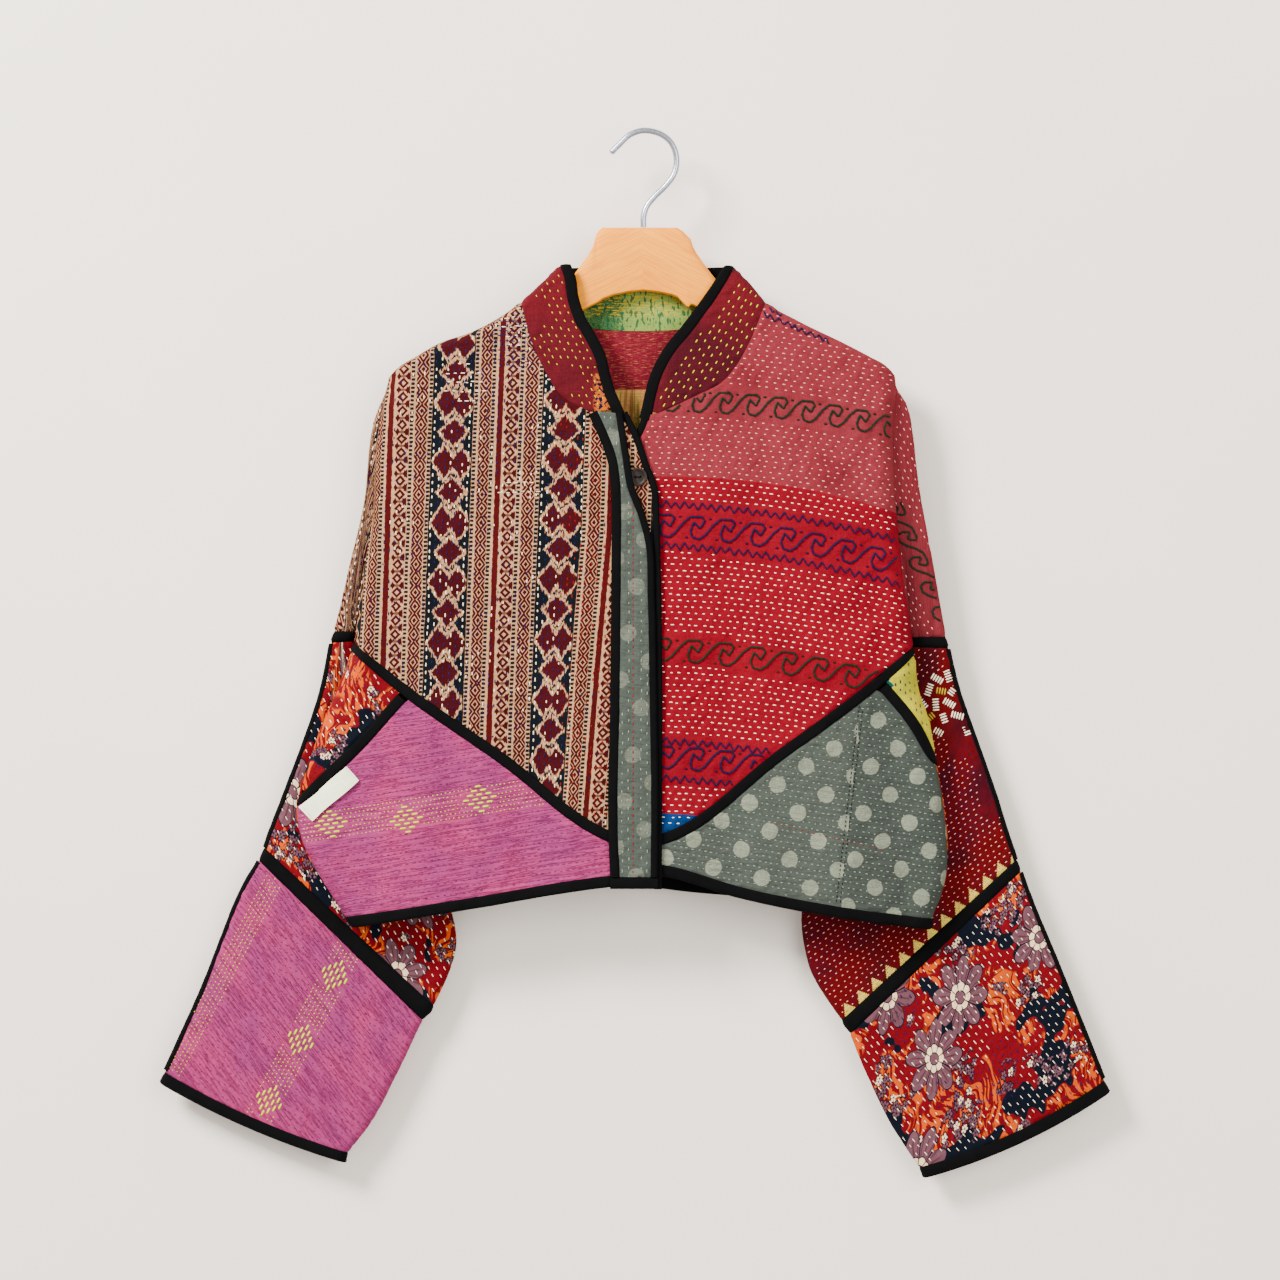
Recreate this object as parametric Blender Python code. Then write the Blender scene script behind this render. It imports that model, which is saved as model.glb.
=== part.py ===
"""Cropped patchwork jacket with a stand collar and a covered front, hung on a wooden hanger.

The tables are in millimetres: x to the right, z up, y away from the front.
The origin is the inside of the hook's top, where the hanger hangs.
The body is two hanging faces, front and back, that meet at the shoulder lines and side folds.
Each cloth piece is cut from one of these faces, 0.3 mm from its neighbour, and is a closed wall.
The sleeves are flattened tubes that hang behind the body.
"""

import math

import bpy
import numpy as np

MM = 0.001

CLOTH = 2.0  # quilted layers of old cotton
BINDING = 3.0  # cloth with a folded tape round it
LABEL = 0.8
SEAM_GAP = 0.3
COLLAR_GAP = 0.5
LAYER_STEP = 3.6  # from the middle of one layer of the front to the next
BINDING_WIDTH = 9.5
NARROW_BINDING = 6.0

SHOULDER_ROUND = 7.0  # how far below a shoulder line the cloth still curves
SIDE_ROUND = 14.0
BACK_DEPTH = 10.0
BREAST_DEPTH = 9.0  # how far forward the front stands at its sides

# Outline of the body: the shoulder and collar line, and the side folds.
SHOULDER_LINE = [  # x, z
    (-222, -240), (-214, -216), (-208, -203), (-198, -192), (-184, -183.5), (-165, -172.5),
    (-140, -164), (-97.6, -138.6), (-82, -124), (-66, -109), (-45, -88), (0, -50),
    (45, -88), (74, -109), (89, -124), (101.7, -138.6), (128, -154), (167, -173),
    (189, -184.5), (200, -190.5), (207, -198), (212, -206), (222, -235),
]
LEFT_FOLD = [  # z, x
    (-190, -204), (-205, -206.5), (-216, -209.5), (-238, -213.5), (-262, -216.5), (-318, -219.5),
    (-352, -225.5),
    (-392, -231), (-421, -235.5), (-456, -248.5), (-485, -261), (-508, -269), (-536, -278.5), (-554, -281.5),
    (-575, -279), (-605, -265), (-634, -247), (-655, -233),
]
RIGHT_FOLD = [  # z, x
    (-190, 207), (-203, 208.5), (-238, 206), (-267, 206), (-304, 208), (-333, 210.5), (-372, 215),
    (-403, 220), (-425, 223), (-460, 228), (-477, 234), (-513, 241), (-546, 247), (-587, 251),
    (-604, 250.5), (-624, 246), (-642, 239), (-660, 236),
]
HANG = [  # z, how far forward of the sides the middle of the front hangs
    (-100, 2), (-140, 3), (-200, 7), (-260, 11), (-350, 15), (-450, 18), (-560, 21), (-660, 24),
]
FRONT_EDGE = [  # z, y of the front face's edge along the armhole and the side
    (-195, 3.4), (-235, 1.5), (-300, 1), (-360, 2.5), (-412, 5.7), (-440, 3), (-480, 2), (-660, 2),
]
BACK_EDGE = [  # z, y of the back face's edge
    (-195, 4.4), (-206, 4.6), (-220, 6.2), (-240, 8.8), (-300, 10.2), (-380, 9.8), (-412, 7.2),
    (-440, 4.2), (-480, 2.7),
    (-660, 2.7),
]
FOLDS = [  # top x, top z, bottom x, bottom z, half width, height
    (-150, -195, -190, -600, 24, 3.5),
    (-85, -250, -100, -640, 18, -3.0),
    (-48, -300, -60, -630, 12, 2.0),
    (-208, -330, -258, -600, 12, 3.0),
    (130, -200, 165, -650, 26, 3.5),
    (62, -270, 80, -640, 18, -3.0),
    (185, -260, 215, -640, 12, -2.5),
    (28, -330, 34, -600, 10, 1.5),
]

# Cut lines, as seen from the front: x, z.
NECK_LEFT = [(-97.6, -138.6), (-91, -165), (-79, -193.5), (-66, -214), (-42, -229)]
NECK_RIGHT = [(101.7, -138.6), (90, -168), (78, -190), (65, -205), (48, -214), (32, -222), (14, -230)]
NECK_BACK = [(-97.6, -138.6), (-80, -149), (-45, -158), (0, -161), (45, -158), (82, -149.5), (101.7, -138.6)]
COLLAR_TAPE_LEFT = [  # middle of the binding on the collar's edge
    (-62, -110), (-58.5, -118), (-55.6, -136), (-50, -152.5), (-40.5, -169), (-33, -185), (-29, -202),
    (-24.5, -216), (-20, -226),
]
COLLAR_TAPE_RIGHT = [
    (72, -112), (58, -133), (37.7, -160.7), (22, -180.5), (13, -197.6), (7.5, -216), (5, -228),
]
COLLAR_BACK_TOP = [(-66.5, -109.5), (-46, -109), (0, -114), (46, -109.5), (74, -108)]
COLLAR_BACK_LINE = [  # lower edge of its binding
    (-76, -118.4), (-46, -118.5), (0, -123.5), (46, -119), (83, -118),
]
RIGHT_EDGE_TAPE = [(4.3, -231), (1, -241), (-4, -251), (-10, -270), (-13, -300), (-13, -450), (-13, -606)]
PLACKET_TAPE = [
    (-14, -230), (-5.3, -247), (4.5, -275), (10.3, -290), (12.1, -317), (13.1, -350),
    (13.9, -400), (13.9, -617),
]
FLY_TAPE_LEFT = [
    (-39, -230), (-31.6, -246), (-23.5, -268), (-20.5, -290), (-19.8, -312), (-20, -350), (-21, -464),
    (-22.5, -570), (-21, -607),
]
FLY_TAPE_RIGHT = [
    (-18, -230), (-15.5, -246), (-12, -268), (-8.5, -290), (0, -312), (5.7, -333), (8.2, -382), (9.8, -464),
    (11, -546), (10.5, -607),
]
YOKE_SEAM_LEFT = [(-236, -421), (-193.5, -455), (-115, -510), (-24, -575), (10, -586)]
YOKE_SEAM_RIGHT = [(-9, -582), (15.6, -577), (114, -508), (196, -447), (223, -424)]
YOKE_SEAM_BACK = [(-236, -421), (-115, -510), (0, -586), (115, -508), (223, -424)]
SIDE_SEAM_LEFT = [(-279.5, -548), (-265, -534), (-234, -505), (-195, -462)]
SIDE_SEAM_RIGHT = [(198, -453), (221, -481), (240.5, -516)]
HEM_TOP_LEFT = [(-240, -641), (-130, -623), (-21, -605.5), (10, -603.5)]
HEM_TOP_RIGHT = [(-9, -595.5), (15.6, -597), (81, -615.5), (130, -626), (190, -636), (241, -642.5)]
HEM_TOP_BACK = [(-243, -640), (-130, -618), (-20, -606), (40, -612.5), (120, -620), (241, -642)]

NECK_SHARE_LEFT = 0.42  # share of the yoke's width at which the shoulder meets the neck
NECK_SHARE_RIGHT = 0.55
YOKE_JUNCTION_LEFT = 0.165  # share of the seam at which the side seam meets it
YOKE_JUNCTION_RIGHT = 0.885

# Where along a piece its points lie. They crowd where the cloth turns over an edge.
SHOULDER_STEPS = [0, 0.005, 0.025, 0.055, 0.1, 0.16, 0.2556, 0.3929, 0.55, 0.78, 1]
SIDE_STEPS = [0, 0.03, 0.08, 0.16, 0.28, 0.46, 0.73, 1]
DOWN_YOKE = [0, 0.0015, 0.006, 0.014, 0.028, 0.06, 0.11, 0.17, 0.25, 0.35, 0.46, 0.58, 0.70, 0.82, 0.92, 1]
NECK_STEPS = [0, 0.008, 0.03, 0.07, 0.15, 0.30, 0.45, 0.60, 0.75, 0.88, 1]

# Sleeve stations from the armhole to the cuff. The outer edge is the fold over the arm.
# Columns: outer x, outer z, inner x, inner z, outer y, inner y, half depth, bow of the ring's line.
RIGHT_SLEEVE = [
    (211, -204, 219.5, -404, 5.5, 14.0, 4.4, -6.0),
    (221, -235, 220.0, -406, 8.0, 14.2, 4.4, -3.0),
    (228, -290, 220.5, -408, 10.0, 14.4, 4.4, -1.0),
    (239, -350, 221.0, -410, 12.0, 14.7, 4.4, 0.0),
    (250, -411.5, 221.4, -412.5, 13.5, 15.0, 4.4, 0.0),
    (252.5, -422, 222.0, -421, 14.0, 15.4, 4.4, 0.0),
    (260.5, -455, 215.0, -452, 17.2, 18.2, 4.5, 0.0),
    (275.5, -498, 195.0, -508, 18.2, 18.2, 4.6, 0.0),
    (291, -542, 163.0, -566, 18.2, 18.2, 4.6, 0.0),
    (302, -577, 135.0, -625, 18.2, 18.2, 4.6, 0.0),
    (306, -588, 139.0, -682, 18.2, 18.2, 4.6, 0.0),
    (308.5, -596, 165.5, -727, 18.2, 18.2, 4.6, 0.0),
    (312.5, -606, 173.0, -739, 18.2, 18.2, 4.7, 0.0),
    (324, -637, 184.5, -767, 18.2, 18.2, 4.8, 2.0),
    (349, -697, 205.5, -811, 18.2, 18.2, 5.0, 5.0),
    (381, -777, 229.5, -848.5, 18.0, 18.0, 5.2, 7.0),
    (386, -787.5, 233.5, -858, 18.0, 18.0, 5.2, 7.0),
]
LEFT_SLEEVE = [
    (-211, -208, -232.2, -394, 5.8, 14.0, 4.4, 0.0),
    (-221, -248, -233.0, -398.5, 6.4, 14.2, 4.4, 0.0),
    (-226.5, -300, -234.0, -402, 7.8, 14.4, 4.4, 0.5),
    (-238, -350, -234.8, -405.2, 11.0, 14.7, 4.4, 0.0),
    (-251.5, -407, -235.2, -408, 13.5, 15.0, 4.4, 0.0),
    (-254.5, -417.5, -236.0, -416.5, 14.0, 15.4, 4.4, 0.0),
    (-261.5, -452, -229.0, -450, 17.2, 18.2, 4.5, 0.0),
    (-271, -483, -214.0, -502, 18.2, 18.2, 4.6, 0.0),
    (-285, -521, -192.0, -562, 18.2, 18.2, 4.6, 0.0),
    (-298, -555, -166.0, -615, 18.2, 18.2, 4.6, 0.0),
    (-305, -573, -153.0, -665, 18.2, 18.2, 4.6, 0.0),
    (-309.5, -586, -171.0, -715, 18.2, 18.2, 4.6, 0.0),
    (-314.5, -597, -180.5, -728, 18.2, 18.2, 4.7, 0.0),
    (-332, -629, -198.5, -765, 18.2, 18.2, 4.8, 1.0),
    (-360, -700, -220.0, -807, 18.2, 18.2, 5.0, 3.0),
    (-391.5, -770, -241.5, -836.5, 18.0, 18.0, 5.2, 5.0),
    (-396, -780, -243.5, -845.5, 18.0, 18.0, 5.2, 5.0),
]
UPPER, UPPER_BAND, MIDDLE = (0, 4), (4, 5), (5, 11)
LOWER_BAND, CUFF_PANEL, CUFF = (11, 12), (12, 15), (15, 16)
SLEEVE_EDGE_ROUND = 6.5  # how far from its fold the sleeve's face reaches its full depth
SLEEVE_EDGE_STEPS = [0, 0.8, 3.0, 6.5]
SLEEVE_FACE_STEPS = 3
ARMHOLE_GAP = 1.8  # how far from the body's folds the sleeve's rings begin
ARMHOLE_GROWTH = 1.2
OVERARM_LIFT = 1.4  # thickness of the overarm tape

BUTTON_CENTRE = (-2.5, -282.5)
BUTTON_RADIUS = 7.5
BUTTON_THICKNESS = 2.2
BUTTON_HOLE_RADIUS = 0.9
BUTTON_HOLE_OFFSET = 2.0
LABEL_START = (-278, -551.5)
LABEL_END = (-240, -518)
LABEL_HEIGHT = 15.2

HOOK_WIRE = 5.0
HOOK_LINE = [  # x, z of the wire's middle
    (2, -76.5), (2.1, -68), (4.5, -60), (10.7, -52), (20.2, -42.6), (26.8, -33.6), (29.2, -23.8),
    (27.9, -13.9),
    (23.8, -6.2), (16.8, -0.6), (8.4, 2.2), (0, 2.5), (-9, -0.8), (-17.6, -8.6), (-25, -16),
]
HANGER_MIDDLE = 1.6
HANGER_THICKNESS = 11.0
RIGHT_BOARD = [  # x, top z, bottom z
    (0.2, -77, -128.8), (12, -77, -130), (24, -77, -132.5), (33, -77, -136), (36.2, -79.5, -138.5),
    (41.5, -93.5, -141), (50, -106.5, -145.5), (60, -119.5, -150), (80, -134, -160), (100.3, -144, -170),
    (126, -155.5, -181), (150, -167.0, -191), (172, -178, -200), (182, -184, -205), (187, -189.5, -201),
]
CROWN_WIDTH = 4.4  # flat along the board's top, under the shoulder line
CROWN_DROP = 5.0
SHOULDER_CLEARANCE = 2.0  # from the shoulder line to the board under it

CLOTH_COLOURS = {
    "ikat": (0.47, 0.26, 0.19), "pink": (0.52, 0.10, 0.11), "magenta": (0.57, 0.13, 0.33),
    "sage": (0.21, 0.25, 0.21), "flowers": (0.48, 0.06, 0.04), "lime": (0.55, 0.55, 0.18),
    "bordeaux": (0.30, 0.02, 0.03), "crimson": (0.36, 0.01, 0.03), "black": (0.006, 0.006, 0.007),
    "label": (0.80, 0.77, 0.68), "horn": (0.09, 0.055, 0.04), "beech": (0.72, 0.46, 0.26),
    "steel": (0.62, 0.63, 0.65),
}


# Curves


def curve(points):
    """A smooth line through the points, as a function of the share from 0 to 1 along their chords."""
    points = np.array(points, float)
    chords = np.linalg.norm(np.diff(points, axis=0), axis=1)
    knots = np.concatenate([[0], np.cumsum(chords)]) / chords.sum()
    return through(points, knots)


def through(points, knots):
    """Cubic spans through the points at the given knots, with slopes from the neighbouring points."""
    slopes = np.gradient(points, knots, axis=0)

    def at(share):
        share = np.clip(np.asarray(share, float), knots[0], knots[-1])
        span = np.clip(np.searchsorted(knots, share, side="right") - 1, 0, len(knots) - 2)
        length = knots[span + 1] - knots[span]
        t = ((share - knots[span]) / length)[..., None]
        length = length[..., None]
        start, end = points[span], points[span + 1]
        return (
            start * (1 + 2 * t) * (1 - t) ** 2
            + end * t**2 * (3 - 2 * t)
            + slopes[span] * length * t * (1 - t) ** 2
            + slopes[span + 1] * length * t**2 * (t - 1)
        )

    return at


def height_function(table):
    """A smooth function through a table of (position, value), read along its finely divided curve."""
    dense = curve(table)(np.linspace(0, 1, 400))
    order = np.argsort(dense[:, 0])
    positions, values = dense[order, 0], dense[order, 1]
    return lambda position: np.interp(position, positions, values)


def chain(parts, joints):
    """One edge from several curves end to end. joints are the shares at which one gives way to the next."""
    bounds = [0, *joints, 1]

    def at(share):
        share = np.asarray(share, float)
        found = np.zeros(share.shape + (2,))
        for part, low, high in zip(parts, bounds[:-1], bounds[1:]):
            inside = (share >= low) & (share <= high)
            found[inside] = part((share[inside] - low) / (high - low))
        return found

    return at


def between(line, low, high):
    """The stretch of a line from share low to share high, which may run backwards."""
    return lambda share: line(low + (high - low) * np.asarray(share, float))


def beside(line, distance):
    """The line moved sideways by distance, to the left of the way it runs."""

    def at(share):
        share = np.asarray(share, float)
        ahead = line(np.clip(share + 1e-3, 0, 1)) - line(np.clip(share - 1e-3, 0, 1))
        ahead /= np.linalg.norm(ahead, axis=-1, keepdims=True)
        return line(share) + distance * np.stack([-ahead[..., 1], ahead[..., 0]], axis=-1)

    return at


def straight(start, end):
    return curve([start, end])


# The two faces of the body


shoulder_height = height_function(SHOULDER_LINE)
left_fold = height_function(LEFT_FOLD)
right_fold = height_function(RIGHT_FOLD)
hang_depth = height_function(HANG)
front_edge = height_function(FRONT_EDGE)
back_edge = height_function(BACK_EDGE)


def smooth_step(value, low, high):
    share = np.clip((value - low) / (high - low), 0, 1)
    return share**2 * (3 - 2 * share)


def round_share(distance, reach):
    """0 at an edge and 1 past reach, along a quarter circle."""
    inside = 1 - np.clip(distance / reach, 0, 1)
    return np.sqrt(np.clip(1 - inside**2, 0, 1))


def side_distance(x, z):
    return np.clip(np.minimum(x - left_fold(z), right_fold(z) - x), 0, None)


def top_distance(x, z):
    return np.clip(shoulder_height(x) - z, 0, None)


def outline_normal(x, z):
    """The way out of the body's outline in the plane of the faces, from its nearest point."""
    near = 0.5
    rise = (shoulder_height(x + near) - shoulder_height(x - near)) / (2 * near)
    left_lean = left_fold(z + near) - left_fold(z - near)
    right_lean = right_fold(z + near) - right_fold(z - near)
    fold = np.where(x < 0, left_lean, right_lean)
    over_top = np.stack([-rise, 0 * x, np.ones_like(x)], axis=-1)
    over_side = np.stack([np.sign(x), 0 * x, -np.sign(x) * fold / (2 * near)], axis=-1)
    found = np.where((top_distance(x, z) < side_distance(x, z))[..., None], over_top, over_side)
    return found / np.linalg.norm(found, axis=-1, keepdims=True)


def fold_relief(x, z):
    """Soft ridges and troughs that run down the front, each as high as its table row says."""
    relief = np.zeros_like(x)
    for top_x, top_z, bottom_x, bottom_z, width, height in FOLDS:
        down = np.clip((top_z - z) / (top_z - bottom_z), 0, 1)
        middle = top_x + (bottom_x - top_x) * down
        relief += height * smooth_step(down, 0, 0.45) * np.exp(-(((x - middle) / width) ** 2))
    return relief


def face_depth(x, z, facing):
    """y of the middle of the cloth. facing is -1 on the front and 1 on the back.

    The two faces share the depth of the shoulder line and part below it. Each comes from its side edges
    to its full depth along a quarter turn.
    """
    ridge = 3.9 * smooth_step(np.abs(x), 188, 206)
    if facing < 0:
        crown = np.clip(1 - (x / 262) ** 2, 0, 1)
        full = -(BREAST_DEPTH + hang_depth(z) * crown + fold_relief(x, z))
        edge = front_edge(z)
    else:
        full = BACK_DEPTH + 0 * x
        edge = back_edge(z)
    from_side, from_top = side_distance(x, z), top_distance(x, z)
    base = ridge + (edge - ridge) * from_top / (from_top + from_side + 1e-6)
    swing = full - edge
    turned = round_share(from_side, np.clip(1.5 * np.abs(swing), 3, SIDE_ROUND))
    eased = smooth_step(from_side, 0, 12)
    sharp = smooth_step(np.abs(swing), 1, 3)
    share = np.minimum(turned * sharp + eased * (1 - sharp), round_share(from_top, SHOULDER_ROUND))
    depth = base + (full - base) * share
    collar = smooth_step(np.abs(x), 112, 100)
    return depth + facing * (SEAM_GAP / 2 + 0.05 + 0.15 * collar)


def left_lap(x):
    """How far the left front stands out where it laps over the right one."""
    return LAYER_STEP * smooth_step(x, -78, -40)


def fly_lift(x, z):
    """The fly strip stands one layer further out, and a little more where it passes over the button."""
    bulge = 2.6 * np.exp(-(((z - BUTTON_CENTRE[1]) / 30) ** 2))
    return left_lap(x) + LAYER_STEP + bulge


def no_lift(x, z):
    return np.zeros_like(x)


def lap_lift(x, z):
    return left_lap(x)


# Solids


def material(name):
    """A plain surface of the piece's main colour."""
    found = bpy.data.materials.get(name) or bpy.data.materials.new(name)
    found.use_nodes = True
    shader = found.node_tree.nodes["Principled BSDF"]
    shader.inputs["Base Color"].default_value = (*CLOTH_COLOURS[name], 1)
    shader.inputs["Roughness"].default_value = {"steel": 0.3, "beech": 0.45, "horn": 0.35}.get(name, 0.85)
    shader.inputs["Metallic"].default_value = 1.0 if name == "steel" else 0.0
    return found


def add_solid(name, points, faces, colour):
    """A closed mesh from points in millimetres. Its faces are turned outwards if they point in."""
    points = np.asarray(points, float)
    faces = [tuple(face) for face in faces]
    volume = 0.0
    for face in faces:
        first = points[face[0]]
        for second, third in zip(face[1:-1], face[2:]):
            volume += np.dot(first, np.cross(points[second], points[third]))
    if volume < 0:
        faces = [face[::-1] for face in faces]
    mesh = bpy.data.meshes.new(name)
    mesh.from_pydata((points * MM).tolist(), [], faces)
    mesh.materials.append(material(colour))
    mesh.shade_smooth()
    mesh.set_sharp_from_angle(angle=math.radians(50))
    piece = bpy.data.objects.new(name, mesh)
    bpy.context.scene.collection.objects.link(piece)
    return piece


def grid_faces(first, rows, columns, wrap=False):
    """Quads over a grid of points numbered row by row from first."""
    found = []
    for row in range(rows - 1):
        for column in range(columns if wrap else columns - 1):
            after = (column + 1) % columns
            here = first + row * columns
            found.append((here + column, here + after, here + columns + after, here + columns + column))
    return found


def wall(name, middle, normals, low, high, colour):
    """A closed wall over an open grid, from low to high along its normals."""
    rows, columns = middle.shape[:2]
    count = rows * columns
    upper, under = middle + normals * high, middle + normals * low
    points = np.concatenate([upper.reshape(-1, 3), under.reshape(-1, 3)])
    outer = grid_faces(0, rows, columns)
    inner = [face[::-1] for face in grid_faces(count, rows, columns)]
    index = np.arange(count).reshape(rows, columns)
    rim = np.concatenate([index[0, :], index[1:, -1], index[-1, -2::-1], index[-2:0:-1, 0]])
    sides = []
    for here, after in zip(rim, np.roll(rim, -1)):
        sides.append((after, here, here + count, after + count))
    return add_solid(name, points, outer + inner + sides, colour)


def face_grid(flat, facing, lift):
    """The flat points (x, z) of a piece set on the front or the back face, with the face's own normals."""
    x, z = flat[..., 0], flat[..., 1]
    near = 0.15

    def depth(x, z):
        return face_depth(x, z, facing) + facing * lift(x, z)

    slope_x = (depth(x + near, z) - depth(x - near, z)) / (2 * near)
    slope_z = (depth(x, z + near) - depth(x, z - near)) / (2 * near)
    normals = facing * np.stack([-slope_x, np.ones_like(x), -slope_z], axis=-1)
    steep = (np.hypot(slope_x, slope_z) > 2) | ((np.abs(x) > 196) & (z > -215))
    on_edge = steep & (np.minimum(side_distance(x, z), top_distance(x, z)) < 0.08)
    normals = np.where(on_edge[..., None], outline_normal(x, z), normals)
    middle = np.stack([x, depth(x, z), z], axis=-1)
    return middle, normals / np.linalg.norm(normals, axis=-1, keepdims=True)


def patch(top, bottom, left, right, across, down):
    """Flat points of a four-sided piece: each is a mean of its edges, weighed by how near they are.

    The ends of the left and right edges are eased onto the corners of the top and bottom ones.
    """
    across, down = np.array(across, float), np.array(down, float)
    u, v = across[None, :, None], down[:, None, None]
    upper, lower = top(across)[None], bottom(across)[None]
    start, end = left(down)[:, None], right(down)[:, None]
    start = start + (upper[:, :1] - start[:1]) * (1 - v) ** 8 + (lower[:, :1] - start[-1:]) * v**8
    end = end + (upper[:, -1:] - end[:1]) * (1 - v) ** 8 + (lower[:, -1:] - end[-1:]) * v**8
    corners = (1 - u) * (1 - v) * upper[:, :1] + u * (1 - v) * upper[:, -1:]
    corners = corners + (1 - u) * v * lower[:, :1] + u * v * lower[:, -1:]
    return (1 - v) * upper + v * lower + (1 - u) * start + u * end - corners


def cloth(name, flat, colour, facing=-1, lift=no_lift, thickness=CLOTH):
    middle, normals = face_grid(flat, facing, lift)
    return wall(name, middle, normals, -thickness / 2, thickness / 2, colour)


def strip(name, line, shares, width, facing=-1, lift=no_lift, colour="black", ends=""):
    """A binding of even width along a line. ends names the side folds on which it ends."""
    above, below = on_folds(beside(line, width / 2), ends), on_folds(beside(line, -width / 2), ends)
    band(name, above, below, shares, facing, lift, colour)


def band(name, above, below, shares, facing=-1, lift=no_lift, colour="black"):
    """A binding between two lines."""
    shares = np.array(shares, float)
    cloth(name, np.stack([above(shares), below(shares)]), colour, facing, lift, BINDING)


def share_at(line, height):
    """The share at which a line that runs down passes a height."""
    shares = np.linspace(0, 1, 400)
    return float(np.interp(-height, -line(shares)[:, 1], shares))


def on_folds(line, ends):
    """The line with its start moved sideways to the left fold, its end to the right fold, or both."""

    def at(share):
        share = np.asarray(share, float)
        found = line(share)
        if "left" in ends:
            start = line(0.0)
            found[..., 0] += (left_fold(start[1]) - start[0]) * (1 - share) ** 12
        if "right" in ends:
            end = line(1.0)
            found[..., 0] += (right_fold(end[1]) - end[0]) * share**12
        if ends:
            found[..., 0] = np.clip(found[..., 0], left_fold(found[..., 1]), right_fold(found[..., 1]))
        return found

    return at


def ridge(start, end):
    """The stretch of the shoulder and collar line from x start to x end."""

    def at(share):
        x = start + (end - start) * np.asarray(share, float)
        return np.stack([x, shoulder_height(x)], axis=-1)

    return at


def evenly(low, high, count):
    return np.linspace(low, high, count)


def merged(*lists):
    """The shares of several lists in order, each once."""
    every = np.unique(np.round(np.concatenate([np.asarray(part, float) for part in lists]), 6))
    return every[np.concatenate([[True], np.diff(every) > 1e-4])]


# Edges that several pieces share


HALF = BINDING_WIDTH / 2 + SEAM_GAP + 0.12
HALF_NARROW = NARROW_BINDING / 2 + SEAM_GAP
TIP_LEFT, TIP_RIGHT = -206.0, 207.0

shoulder_left = ridge(TIP_LEFT, NECK_LEFT[0][0])
shoulder_right = ridge(NECK_RIGHT[0][0], TIP_RIGHT)
neck_left, neck_right, neck_back = curve(NECK_LEFT), curve(NECK_RIGHT), curve(NECK_BACK)
seam_left, seam_right = curve(YOKE_SEAM_LEFT), curve(YOKE_SEAM_RIGHT)
seam_back = curve(YOKE_SEAM_BACK)
placket = curve(PLACKET_TAPE)
right_edge = curve(RIGHT_EDGE_TAPE)


def fold_line(function, top, bottom):
    """A side fold from height top to height bottom."""

    def at(share):
        z = top + (bottom - top) * np.asarray(share, float)
        return np.stack([function(z), z], axis=-1)

    return at


def pulled(line, goal, end, power=8):
    """The line with one end (0 or 1) moved to goal, easing out along the rest."""

    def at(share):
        share = np.asarray(share, float)[..., None]
        near = share if end else 1 - share
        return line(share[..., 0]) + (np.asarray(goal, float) - line(float(end))) * near**power

    return at


def lifted(line, up):
    return lambda share: line(share) + np.array([0, up])


def on_ridge(line, ends=(0,)):
    """The line with its start or end moved up or down onto the shoulder and collar line."""
    for end in ends:
        place = line(float(end))
        line = pulled(line, (place[0], shoulder_height(place[0])), end, 12)
    return line


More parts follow.
